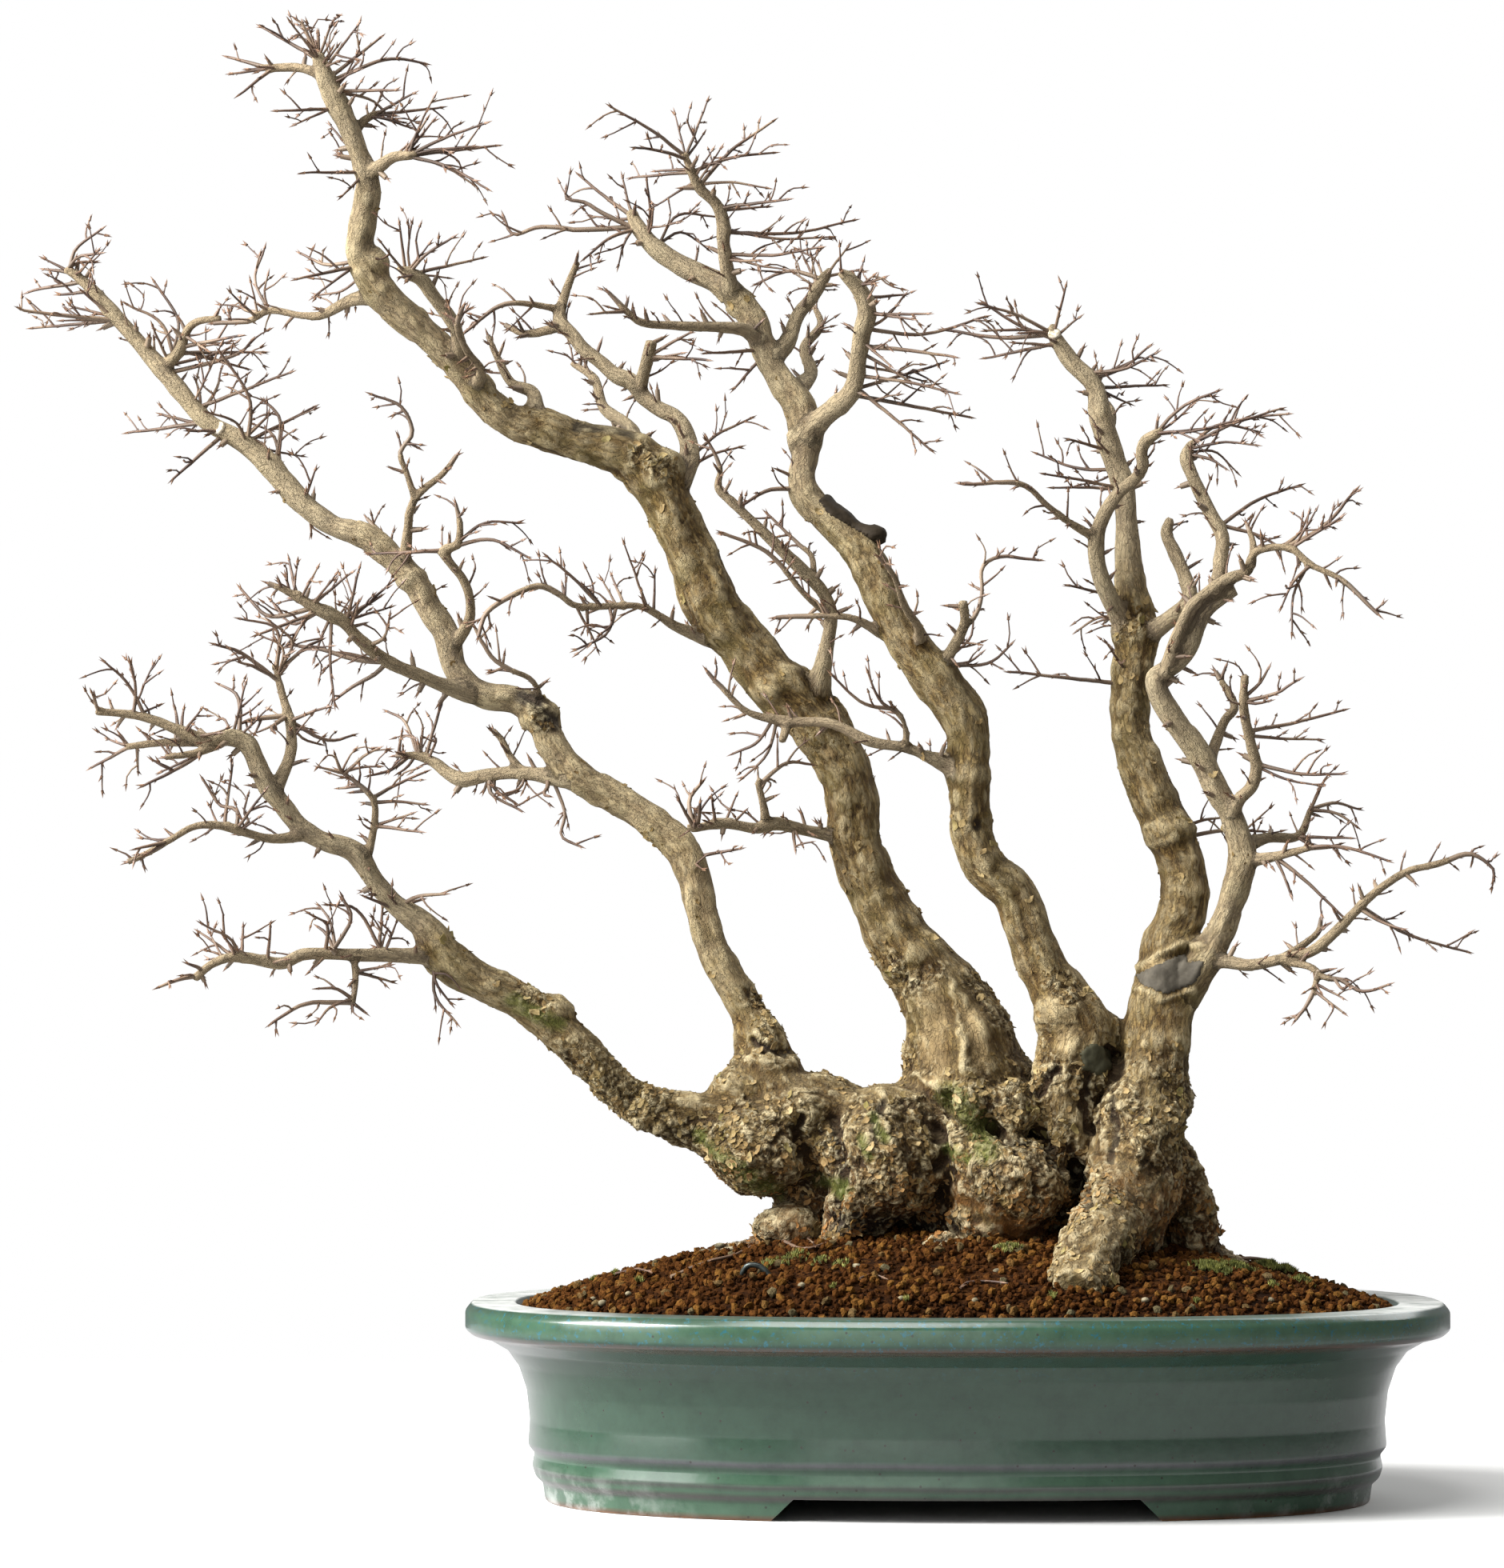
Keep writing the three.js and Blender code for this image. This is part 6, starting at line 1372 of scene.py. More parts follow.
# Twigs and rootlets that lie on the soil: radius, then points across and up
fallenTwigs = [
    [1.1, (-177.5, 134), (-157.5, 142.5), (-137.5, 148), (-125, 156)],
    [1.0, (-107.5, 156.5), (-93.5, 151.5), (-77.5, 156.5)],
    [0.6, (-97.5, 161.5), (-91, 157), (-87.5, 153)], [0.55, (-100, 158), (-94, 160.5), (-89, 164)],
    [0.9, (3, 127.5), (7, 130.5), (16, 131.5), (28, 130.5)],
    [1.2, (175, 145.5), (184, 145.8), (192.5, 145)], [0.8, (-212, 136), (-200, 139), (-190, 137)],
    [0.6, (-60, 133), (-52, 136), (-46, 134)],
]


def rootedIn(point, centres):
    return centres[np.linalg.norm(centres - point, axis=1).argmin()]


def turnedBy(vectors, axis, angle):
    axis = axis / np.linalg.norm(axis)
    c, s = math.cos(angle), math.sin(angle)
    return vectors * c + np.cross(axis, vectors) * s + np.outer(vectors @ axis, axis) * (1 - c)


def spursOn(hosts, every, random, widest):
    # places along thin wood, with the direction of the wood and a direction to its side
    for points, radii in hosts:
        step = np.linalg.norm(np.diff(points, axis=0), axis=1)
        along = np.concatenate([[0], np.cumsum(step)])
        thin = np.nonzero((radii < widest) & (along > 8))[0]
        if len(thin) < 3:
            continue
        first, last = along[thin[0]], along[thin[-1]]
        for n in range(int((last - first) / every + 0.5)):
            at = first + (n + random.random()) * every
            i = min(np.searchsorted(along, at), len(points) - 2)
            ahead = points[i + 1] - points[i]
            ahead /= np.linalg.norm(ahead)
            side = random.normal(size=3) * [1, 0.9, 1] + [0, 0, 0.35]
            side -= side.dot(ahead) * ahead
            side /= np.linalg.norm(side)
            yield points[i], radii[i], ahead, side


def twigPaths():
    # every thin path as points and radii, in mm
    random = np.random.default_rng(twigLook["seed"])
    lines = {name: centreLine(stations, 2) for name, stations in limbs.items()}
    centres = np.vstack([line[0][:-1] for line in lines.values()])
    paths = []
    for points, radii, _, _ in lines.values():
        thin = np.nonzero(radii < wood["thinnest"] + 0.35)[0]
        if len(thin) > 2:
            paths.append((points[thin[0]:], radii[thin[0]:]))
    drawn = []
    for radius, rootDepth, tipDepth, *flat in twigs:
        count = len(flat) // 2
        depths = np.linspace(rootDepth, tipDepth, count)
        controls = [place(flat[2 * i], flat[2 * i + 1], depths[i]) for i in range(count)]
        controls[0] = rootedIn(controls[0], centres)
        path = curvePoints(controls, max(4, 4 * count))
        drawn.append((path, np.linspace(radius * 1.3, radius * 0.65, len(path))))
    # shorter twigs beside the drawn ones, from the same knuckle
    beside = []
    for path, radii in drawn:
        for _ in range(int(twigLook["companions"] + random.random())):
            way = path - path[0]
            turned = turnedBy(way, random.normal(size=3) + [0, 1.2, 0],
                              random.choice([-1, 1]) * random.uniform(0.3, 0.95))
            root = rootedIn(path[0] + random.normal(size=3) * 4, centres)
            beside.append((root + turned * random.uniform(0.4, 0.85), radii * random.uniform(0.75, 1)))
    paths += drawn + beside
    branches = [(p, r) for p, r, _, _ in lines.values()]
    for start, radius, ahead, side in spursOn(branches + drawn + beside, twigLook["spurEvery"], random, 5.5):
        direction = ahead * 0.75 + side
        direction /= np.linalg.norm(direction)
        reach = min(radius, 3) * 0.8 + twigLook["spurLength"] * random.uniform(0.35, 1.6)
        bend = random.normal(size=3) * reach * 0.08 + [0, 0, reach * 0.05]
        path = curvePoints([start, start + direction * reach * 0.5 + bend, start + direction * reach], 4)
        paths.append((path, np.linspace(min(0.85, radius * 0.8), 0.42, len(path))))
    # stubs where older twigs were cut
    for start, radius, ahead, side in spursOn(branches, twigLook["stubEvery"], random, 7.5):
        direction = ahead * random.uniform(0.1, 0.8) + side
        direction /= np.linalg.norm(direction)
        end = start + direction * (radius + random.uniform(2.5, 7))
        thick = min(radius * 0.55, random.uniform(1.1, 2.3))
        paths.append((np.array([start, (start + end) / 2, end]),
                      np.array([thick * 1.2, thick, thick * 0.85])))
    for radius, *spots in fallenTwigs:
        lying = curvePoints([onSoil(x, z) + [0, 0, 2.2] for x, z in spots], 4 * len(spots))
        paths.append((lying, np.linspace(radius * 1.15, radius * 0.75, len(lying))))
    # nothing reaches past the tree's own outline
    low, high = [toPot(np.array(corner)) for corner in cadBox]
    return [(np.clip(points, low + 5, high - 5), radii) for points, radii in paths]


def twigTree(barkMaterial, budMaterial):
    tree, add, given, out = newTree("twigs and buds", {
        "Ring spacing": "Float", "Wander": "Float", "Sides": "Int", "Bud spacing": "Float",
        "Bud length": "Float", "Bud width": "Float", "Tip bud": "Float", "Seed": "Int",
    })
    girth = add("InputNamedAttribute", {"Name": "girth"}, data_type="FLOAT")
    radius = add("Math", {0: girth.outputs["Attribute"], 1: mm}, operation="MULTIPLY")
    curves = add("MeshToCurve", {"Mesh": given["Geometry"]})
    rings = add("ResampleCurve", {"Curve": curves, "Length": given["Ring spacing"]}, mode="LENGTH")
    # the zigzag of a twig from bud to bud
    stray = add("TexNoise", {"Scale": 95.0, "Detail": 1.0}, noise_dimensions="3D")
    middle = add("VectorMath", {0: stray.outputs["Color"], 1: (-0.5, -0.5, -0.5)}, operation="ADD")
    offset = add("VectorMath", {0: middle, "Scale": given["Wander"]}, operation="SCALE")
    bent = add("SetPosition", {"Geometry": rings, "Offset": offset})
    circle = add("CurvePrimitiveCircle", {"Resolution": given["Sides"], "Radius": 1.0})
    skin = add("CurveToMesh", {"Curve": bent, "Profile Curve": circle, "Scale": radius, "Fill Caps": True})
    smooth = add("SetShadeSmooth", {0: skin})
    barked = add("SetMaterial", {"Geometry": smooth, "Material": barkMaterial})
    # buds stand alternately along the twig, and a larger one at its tip
    bud = add("MeshCone", {"Vertices": 4, "Side Segments": 1, "Radius Top": 0.02, "Radius Bottom": 0.5,
                           "Depth": 1.0}, fill_type="NONE")
    size = add("CombineXYZ", {0: given["Bud width"], 1: given["Bud width"], 2: given["Bud length"]})
    shaped = add("Transform", {"Geometry": bud.outputs["Mesh"], "Scale": size})
    spots = add("ResampleCurve", {"Curve": bent, "Length": given["Bud spacing"]}, mode="LENGTH")
    tangent = add("InputTangent")
    aligned = add("AlignRotationToVector", {"Vector": tangent}, axis="Z")
    index = add("InputIndex")
    turn = add("Math", {0: index, 1: 2.75}, operation="MULTIPLY")
    turned = add("AxisAngleToRotation", {"Angle": turn, "Axis": (0, 0, 1)})
    tilted = add("AxisAngleToRotation", {"Axis": (1, 0, 0), "Angle": 0.5})
    both = add("RotateRotation", {0: turned, 1: tilted}, rotation_space="LOCAL")
    whole = add("RotateRotation", {0: aligned, 1: both}, rotation_space="LOCAL")
    scale = add("RandomValue", {"Seed": given["Seed"], 2: 0.55, 3: 1.15}, data_type="FLOAT")
    sideBuds = add("InstanceOnPoints", {"Points": spots, "Instance": shaped, "Rotation": whole,
                                        "Scale": scale})
    ends = add("CurveEndpointSelection", {"Start Size": 0, "End Size": 1})
    tipBuds = add("InstanceOnPoints", {"Points": bent, "Selection": ends, "Instance": shaped,
                                       "Rotation": aligned, "Scale": given["Tip bud"]})
    buds = add("JoinGeometry")
    feed(buds, {0: sideBuds})
    feed(buds, {0: tipBuds})
    real = add("RealizeInstances", {"Geometry": buds})
    painted = add("SetMaterial", {"Geometry": real, "Material": budMaterial})
    everything = add("JoinGeometry")
    feed(everything, {0: barked})
    feed(everything, {0: painted})
    feed(out, {"Geometry": everything})
    return tree


def makeTwigs(barkMaterial, budMaterial):
    vertices, edges, girths = [], [], []
    for points, radii in twigPaths():
        start = len(vertices)
        vertices += list(points)
        girths += list(radii)
        edges += [(start + i, start + i + 1) for i in range(len(points) - 1)]
    piece = newMesh("twigs", toWorld(vertices), [], edges)
    setAttribute(piece, "girth", girths)
    return grown(piece, twigTree(barkMaterial, budMaterial), {
        "Ring spacing": twigLook["ringEvery"] * mm, "Wander": twigLook["wander"] * 2 * mm,
        "Sides": twigLook["sides"], "Bud spacing": twigLook["budEvery"] * mm,
        "Bud length": twigLook["budLength"] * mm, "Bud width": twigLook["budWidth"] * mm,
        "Tip bud": twigLook["tipBud"], "Seed": twigLook["seed"],
    })


# Pot
pot = {
    "half": 305, "halfDifference": 75, "inner": 200, "ovalPower": 2.4,  # mm, as the CAD pot
    "height": 122, "lip": 33, "sides": 224, "corner": 1.6,
    "footHeight": 13.5, "footGapTop": 205, "footGapBottom": 234,
    "drainRadius": 18, "drainOffset": 130,
}
# outside from the foot up, over the lip and down to the soil, then the floor: inwards from half, and up
potProfile = [
    (305, 13.5), (68, 13.5), (67.5, 0), (49.5, 0), (48, 11), (43.5, 15), (41.5, 21), (43, 29), (39, 34),
    (40, 50), (38, 68), (33, 83), (26, 93), (14, 100), (4, 102.5), (0, 106), (0, 117), (4, 122),
    (31, 122), (33, 120), (37, 112), (49, 85), (54, 55), (60, 34), (78, 25.5), (305, 25.5),
]


def ovalPoint(r, angle):
    if r > pot["inner"]:
        deep = r - pot["halfDifference"]
    else:
        deep = r * (pot["inner"] - pot["halfDifference"]) / pot["inner"]
    c, s = math.cos(angle), math.sin(angle)
    power = 2 / pot["ovalPower"]
    return r * math.copysign(abs(c) ** power, c), deep * math.copysign(abs(s) ** power, s)


def eased(profile, radius, steps=3):
    # the profile with each corner turned into a small curve
    p = [np.array(q, float) for q in profile]
    made = [p[0]]
    for a, b, c in zip(p, p[1:], p[2:]):
        before, after = a - b, c - b
        reach = min(radius, np.linalg.norm(before) * 0.45, np.linalg.norm(after) * 0.45)
        start = b + before / np.linalg.norm(before) * reach
        end = b + after / np.linalg.norm(after) * reach
        for k in range(steps + 1):
            t = k / steps
            made.append((1 - t) ** 2 * start + 2 * t * (1 - t) * b + t * t * end)
    return made + [p[-1]]


def lathe(name, profile, sides):
    # turned round the oval; the profile's first and last points are on the middle
    vertices, inner = [], profile[1:-1]
    angles = [2 * math.pi * k / sides for k in range(sides)]
    for r, z in inner:
        vertices += [(*ovalPoint(r, a), z) for a in angles]
    faces = ringFaces(0, len(inner), sides)
    vertices += [(0, 0, profile[0][1]), (0, 0, profile[-1][1])]
    last = (len(inner) - 1) * sides
    for k in range(sides):
        faces.append(((k + 1) % sides, k, len(vertices) - 2))
        faces.append((last + k, last + (k + 1) % sides, len(vertices) - 1))
    return newMesh(name, toWorld(vertices), faces)


def makePot():
    outline = [(max(pot["half"] - inwards, 0), up) for inwards, up in potProfile]
    piece = lathe("glazed_pot", eased(outline, pot["corner"]), pot["sides"])
    # the openings of the foot, front and back, and the two drain holes
    top, bottom, deep = pot["footGapTop"] / 2, pot["footGapBottom"] / 2, 300
    corners = [(-bottom, -1), (bottom, -1), (top, pot["footHeight"] - 0.02),
               (-top, pot["footHeight"] - 0.02)]
    through = newMesh("foot opening", toWorld([(x, y, z) for y in (-deep, deep) for x, z in corners]),
                      [(0, 1, 2, 3), (7, 6, 5, 4), (0, 4, 5, 1), (1, 5, 6, 2), (2, 6, 7, 3), (3, 7, 4, 0)])
    cutters, radius = [through], pot["drainRadius"]
    for side in (-1, 1):
        ring = [(side * pot["drainOffset"] + radius * math.cos(a), radius * math.sin(a))
                for a in np.linspace(0, 2 * math.pi, 32, endpoint=False)]
        around = [(k, (k + 1) % 32, 32 + (k + 1) % 32, 32 + k) for k in range(32)]
        cutters.append(newMesh("drain", toWorld([(x, y, z) for z in (5, 40) for x, y in ring]),
                               around + [tuple(range(31, -1, -1)), tuple(range(32, 64))]))
    for cutter in cutters:
        cut = piece.modifiers.new("cut", "BOOLEAN")
        cut.object = cutter
        cut.operation = "DIFFERENCE"
        cut.solver = "EXACT"
    applied(piece)
    for cutter in cutters:
        bpy.data.objects.remove(cutter)
    smoothShade(piece)
    piece.data.set_sharp_from_angle(angle=math.radians(35))
    return piece


def celadonGlaze():
    # celadon glaze over brown stoneware: glassy green that breaks brown where it runs thin over
    # edges, with dark specks from the clay and a chalky bloom on the lip and at the foot
    material, add, shader = newMaterial("celadon glazed stoneware")
    place = add("TexCoord").outputs["Object"]
    local = add("VectorMath", {0: place, 1: tuple(-potMiddle)}, operation="ADD")
    milli = add("VectorMath", {0: local, "Scale": 1000.0}, operation="SCALE")
    parts = add("SeparateXYZ", {0: milli})
    cloud = add("TexNoise", {"Vector": milli, "Scale": 1 / 55, "Detail": 3.0})
    drift = add("Math", {0: cloud, 1: 2.6, 2: -1.3}, operation="MULTIPLY_ADD")
    height = add("Math", {0: parts.outputs["Z"], 1: drift}, operation="ADD")
    share = add("Math", {0: height, 1: pot["height"]}, operation="DIVIDE")
    bands = add("ValToRGB", {0: share}, stops=[(0.0, "#a9784a"), (0.012, "#5e4432"), (0.035, "#46634e"),
                                               (0.085, "#43624c"), (0.112, "#4f4a46"), (0.14, "#415e49"),
                                               (0.165, "#3f423d"), (0.19, "#3e5a46"), (0.25, "#385442"),
                                               (0.275, "#57565a"), (0.30, "#2e4737"), (0.5, "#2f4a39"),
                                               (0.72, "#2d4736"), (0.81, "#2d4737"), (0.83, "#5a4032"),
                                               (0.85, "#4d3c30"), (0.868, "#2a493b"), (0.9, "#36543f"),
                                               (0.95, "#3d5b46"), (0.985, "#304837")])
    # mottling of the glaze, some 12 mm across
    mottle = add("TexNoise", {"Vector": milli, "Scale": 1 / 13, "Detail": 5.0, "Roughness": 0.65})
    tone = add("ValToRGB", {0: mottle}, stops=[(0.3, "#c4cfca"), (0.5, "#e9edea"), (0.7, "#ffffff")])
    toned = add("Mix", {6: bands, 7: tone, 0: 0.85}, data_type="RGBA", blend_type="MULTIPLY")
    # blue-green flecks, thickest under the rim
    fleck = add("TexNoise", {"Vector": milli, "Scale": 1 / 3.2, "Detail": 3.0, "Roughness": 0.7})
    where = add("MapRange", {0: parts.outputs["Z"], 1: 84.0, 2: 108.0, 3: 0.04, 4: 1.0})
    flecks = add("MapRange", {0: fleck, 1: 0.56, 2: 0.68})
    amount = add("Math", {0: where, 1: flecks}, operation="MULTIPLY")
    blue = add("Mix", {0: amount, 6: toned, 7: linear("#1f5a66")}, data_type="RGBA")
    # dark specks of iron, 1 to 2 mm
    speck = add("TexVoronoi", {"Vector": milli, "Scale": 1 / 9, "Randomness": 1.0})
    dots = add("MapRange", {0: speck.outputs["Distance"], 1: 0.07, 2: 0.1, 3: 0.75, 4: 0.0})
    dotted = add("Mix", {0: dots, 6: blue, 7: linear("#2b2420")}, data_type="RGBA")
    # bloom: chalky white on the flat of the lip, and in drifts at the foot
    facing = add("SeparateXYZ", {0: add("NewGeometry").outputs["Normal"]})
    flat = add("MapRange", {0: facing.outputs["Z"], 1: 0.75, 2: 0.98})
    patch = add("TexNoise", {"Vector": milli, "Scale": 1 / 22, "Detail": 6.0, "Roughness": 0.62})
    lipBloom = add("MapRange", {0: patch, 1: 0.3, 2: 0.62, 3: 0.35, 4: 0.95})
    aside = add("MapRange", {0: add("Math", {0: parts.outputs["X"]}, operation="ABSOLUTE"), 1: 190.0,
                             2: 265.0, 3: 0.05, 4: 1.0})
    along = add("Math", {0: aside, 1: lipBloom}, operation="MULTIPLY")
    onLip = add("Math", {0: flat, 1: along}, operation="MULTIPLY")
    low = add("MapRange", {0: parts.outputs["Z"], 1: 26.0, 2: 4.0})
    ends = add("MapRange", {0: add("Math", {0: parts.outputs["X"]}, operation="ABSOLUTE"), 1: 150.0,
                            2: 235.0})
    footBloom = add("MapRange", {0: patch, 1: 0.48, 2: 0.68, 3: 0.0, 4: 0.5})
    both = add("Math", {0: low, 1: ends}, operation="MULTIPLY")
    onFoot = add("Math", {0: both, 1: footBloom}, operation="MULTIPLY")
    bloom = add("Math", {0: onLip, 1: onFoot}, operation="MAXIMUM")
    final = add("Mix", {0: bloom, 6: dotted, 7: linear("#d9dad6")}, data_type="RGBA")
    dull = add("Math", {0: bloom, 1: flat}, operation="MAXIMUM")
    rough = add("MapRange", {0: dull, 1: 0.0, 2: 1.0, 3: 0.2, 4: 0.62})
    wave = add("TexNoise", {"Vector": milli, "Scale": 1 / 9, "Detail": 2.0})
    bump = add("Bump", {"Height": wave, "Strength": 0.25, "Distance": 0.6 * mm})
    feed(shader, {"Base Color": final, "Roughness": rough, "IOR": 1.5, "Coat Weight": 0.6,
                  "Coat Roughness": 0.24, "Normal": bump})
    return material


# Soil
soil = {
    "edgeBelowLip": 5, "rise": 46, "lip": 33,   # mm, as the CAD soil
    "grainSpacing": 2.95, "grainWidth": 5.0, "smallest": 0.5, "largest": 1.3,
    "bury": 1.3,                                # mm, how far the grains sink in
    "seed": 7,
}


def soilHeight(x, y):
    x, y = np.asarray(x, float), np.asarray(y, float)
    half, depth = pot["half"] - soil["lip"], pot["half"] - pot["halfDifference"] - soil["lip"]
    power = pot["ovalPower"]
    out = np.minimum(1, (np.abs(x / half) ** power + np.abs(y / depth) ** power) ** (1 / power))
    uneven = np.sin(x * 0.052 + 1) * np.sin(y * 0.061 + x * 0.02) + 0.6 * np.sin(x * 0.13 - y * 0.11)
    heap = soil["rise"] * (1 - out ** 2.2) + 1.6 * uneven * (1 - out ** 6)
    return pot["height"] - soil["edgeBelowLip"] + heap


def onSoil(across, up):
    # the place on the soil that is seen at this point of the elevation
    for depth in np.arange(-192.0, 192.0, 1.0):
        p = place(across, up, depth)
        if p[2] <= soilHeight(p[0], p[1]):
            return p
    return place(across, up, 0)


def soilTop():
    # the heap's surface, to lay the grains on
    rings, sides, reach = 46, 120, pot["half"] - soil["lip"] - 3.6
    vertices, faces = [(0, 0, float(soilHeight(0, 0)))], []
    for j in range(1, rings + 1):
        for k in range(sides):
            x, y = ovalPoint(reach * j / rings, 2 * math.pi * k / sides)
            vertices.append((x, y, float(soilHeight(x, y))))
    for k in range(sides):
        faces.append((0, 1 + k, 1 + (k + 1) % sides))
        for j in range(rings - 1):
            a, b = 1 + j * sides + k, 1 + j * sides + (k + 1) % sides
            faces.append((a, a + sides, b + sides, b))
    return newMesh("soil_granules", toWorld(vertices), faces)


def granuleTree(material):
    tree, add, given, out = newTree("granules", {
        "Spacing": "Float", "Width": "Float", "Smallest": "Float", "Largest": "Float", "Bury": "Float",
        "Seed": "Int",
    })
    spots = add("DistributePointsOnFaces", {"Mesh": given["Geometry"], "Distance Min": given["Spacing"],
                                            "Seed": given["Seed"], "Density Max": 150000.0},
                distribute_method="POISSON")
    depth = add("RandomValue", {2: given["Bury"], "Seed": given["Seed"], 3: 0.0012}, data_type="FLOAT")
    sink = add("CombineXYZ", {2: depth})
    sunk = add("SetPosition", {"Geometry": spots.outputs["Points"], "Offset": sink})
    # a broken, knobbly grain
    grain = add("MeshIcoSphere", {"Radius": given["Width"], "Subdivisions": 1})
    rough = add("TexNoise", {"Scale": 420.0, "Detail": 1.0})
    middle = add("VectorMath", {0: rough.outputs["Color"], 1: (-0.5, -0.5, -0.5)}, operation="ADD")
    by = add("Math", {0: given["Width"], 1: 0.55}, operation="MULTIPLY")
    shift = add("VectorMath", {0: middle, "Scale": by}, operation="SCALE")
    half = add("Transform", {"Geometry": grain.outputs["Mesh"], "Scale": (0.5, 0.47, 0.43)})
    broken = add("SetPosition", {"Geometry": half, "Offset": shift})
    turn = add("RandomValue", {"Seed": given["Seed"], 0: (-3.1, -3.1, -3.1), 1: (3.1, 3.1, 3.1)},
               data_type="FLOAT_VECTOR")
    rotation = add("EulerToRotation", {0: turn})
    size = add("RandomValue", {2: given["Smallest"], 3: given["Largest"], "Seed": given["Seed"]},
               data_type="FLOAT")
    squashed = add("RandomValue", {0: (0.75, 0.75, 0.65), 1: (1.3, 1.2, 1.1), "Seed": 5},
                   data_type="FLOAT_VECTOR")
    shape = add("VectorMath", {0: squashed, "Scale": size}, operation="SCALE")
    grains = add("InstanceOnPoints", {"Points": sunk, "Instance": broken, "Rotation": rotation,
                                      "Scale": shape})
    tone = add("RandomValue", {"Seed": given["Seed"], 2: 0.0, 3: 1.0}, data_type="FLOAT")
    named = add("StoreNamedAttribute", {"Geometry": grains, "Value": tone, "Name": "grainTone"},
                data_type="FLOAT", domain="INSTANCE")
    real = add("RealizeInstances", {"Geometry": named})
    smooth = add("SetShadeSmooth", {0: real, "Shade Smooth": False})
    painted = add("SetMaterial", {"Geometry": smooth, "Material": material})
    feed(out, {"Geometry": painted})
    return tree


def makeGranules(material):
    return grown(soilTop(), granuleTree(material), {
        "Spacing": soil["grainSpacing"] * mm, "Width": soil["grainWidth"] * mm,
        "Smallest": soil["smallest"], "Largest": soil["largest"],
        "Bury": -soil["bury"] * mm, "Seed": soil["seed"],
    })


def firedClay(name, toneFrom, dark=1.0):
    # baked clay granules: matt, porous, brick brown, each grain a little lighter or redder
    material, add, shader = newMaterial(name)
    milli = inMilli(add)
    if toneFrom:
        tone = add("Attribute", attribute_name=toneFrom).outputs["Fac"]
    else:
        tone = add("TexVoronoi", {"Vector": milli, "Scale": 1 / 4.5}).outputs["Color"]
    colours = add("ValToRGB", {0: tone}, stops=[(0.0, "#1b0e05"), (0.2, "#2a1606"), (0.45, "#391f08"),
                                                (0.7, "#48290e"), (0.88, "#5a3716"), (0.98, "#6f4c20"),
                                                (1.0, "#5f5840")])
    dust = add("TexNoise", {"Vector": milli, "Scale": 1 / 1.6, "Detail": 2.0})
    # a dark below 1 darkens every colour; the fill under the grains uses it as painted shadow between them
    if dark < 1:
        colours = add("VectorMath", {0: colours, "Scale": dark}, operation="SCALE")
    shade = add("ValToRGB", {0: dust}, stops=[(0.3, "#9a9a9a"), (0.65, "#ffffff")])
    mixed = add("Mix", {6: colours, 7: shade, 0: 0.8}, data_type="RGBA", blend_type="MULTIPLY")
    pores = add("TexNoise", {"Vector": milli, "Scale": 1 / 0.9, "Detail": 3.0})
    bump = add("Bump", {"Height": pores, "Strength": 1.0, "Distance": 1.2 * mm})
    feed(shader, {"Base Color": mixed, "Roughness": 0.95, "Specular IOR Level": 0.06, "Normal": bump})
    return material


# Tie-down wire: under the left drain hole, up through the soil, in an arc over it (mm: x, z, y)
wire = {"radius": 1.75, "sides": 12, "ringEvery": 1.5}
wireRoute = [
    (-156, 11.2, 0), (-140, 11.2, 0), (-126, 11.4, 0), (-120, 16, 0), (-119, 26, -2), (-121, 50, -22),
    (-128, 88, -60), (-134, 122, -94), (-134, 140, -108), (-129.5, 148.5, -112), (-122, 148, -114),
    (-115.5, 141, -115), (-111, 130, -114), (-104, 108, -104), (-96, 92, -88),
]


def makeWire(material):
    points = curvePoints([(x, y, z) for x, z, y in wireRoute], 120)
    piece = newMesh("tie_down_wire", toWorld(points), [], [(i, i + 1) for i in range(len(points) - 1)])
    tree, add, given, out = newTree("wire", {"Radius": "Float", "Sides": "Int", "Ring spacing": "Float"})
    curve = add("MeshToCurve", {"Mesh": given["Geometry"]})
    rings = add("ResampleCurve", {"Curve": curve, "Length": given["Ring spacing"]}, mode="LENGTH")
    circle = add("CurvePrimitiveCircle", {"Resolution": given["Sides"], "Radius": 1.0})
    skin = add("CurveToMesh", {"Curve": rings, "Profile Curve": circle, "Scale": given["Radius"],
                               "Fill Caps": True})
    smooth = add("SetShadeSmooth", {0: skin})
    real = add("RealizeInstances", {"Geometry": smooth})
    painted = add("SetMaterial", {"Geometry": real, "Material": material})
    feed(out, {"Geometry": painted})
    return grown(piece, tree, {
        "Radius": wire["radius"] * mm, "Sides": wire["sides"], "Ring spacing": wire["ringEvery"] * mm})


# Sealing paste: a coat over the bark inside an outline of the elevation
pastes = {
    "trunk_paste": {"stands for": "cut_paste_trunk", "colour": "#5c564b", "slot": "grey_paste",
                    "outline": [(112, 325), (128, 332), (143, 339), (146, 333), (156, 334), (153, 323),
                                (147, 317), (131, 312), (116, 318)]},
    "fork_paste": {"stands for": "cut_paste_fork", "colour": "#464433", "slot": "green_paste",
                   "outline": [(77, 276), (85, 283), (97, 278), (98, 266), (90, 261), (79, 265)]},
    "scar_paste": {"stands for": "cut_paste_scar", "colour": "#352c20", "slot": "black_paste",
                   "outline": [(-86, 622), (-78, 628), (-58, 618), (-42, 604), (-46, 592), (-64, 604),
                               (-80, 613)]},
}
paste = {"thickness": 1.5, "under": 1.2, "edge": 3, "deepest": 26}   # mm


def inside(across, up, outline):
    # which points lie inside the outline
    found = np.zeros(len(across), bool)
    for (x0, z0), (x1, z1) in zip(outline, outline[1:] + outline[:1]):
        crosses = (z0 > up) != (z1 > up)
        with np.errstate(divide="ignore", invalid="ignore"):
            at = (x1 - x0) * (up - z0) / (z1 - z0) + x0
        found ^= crosses & (across < at)
    return found


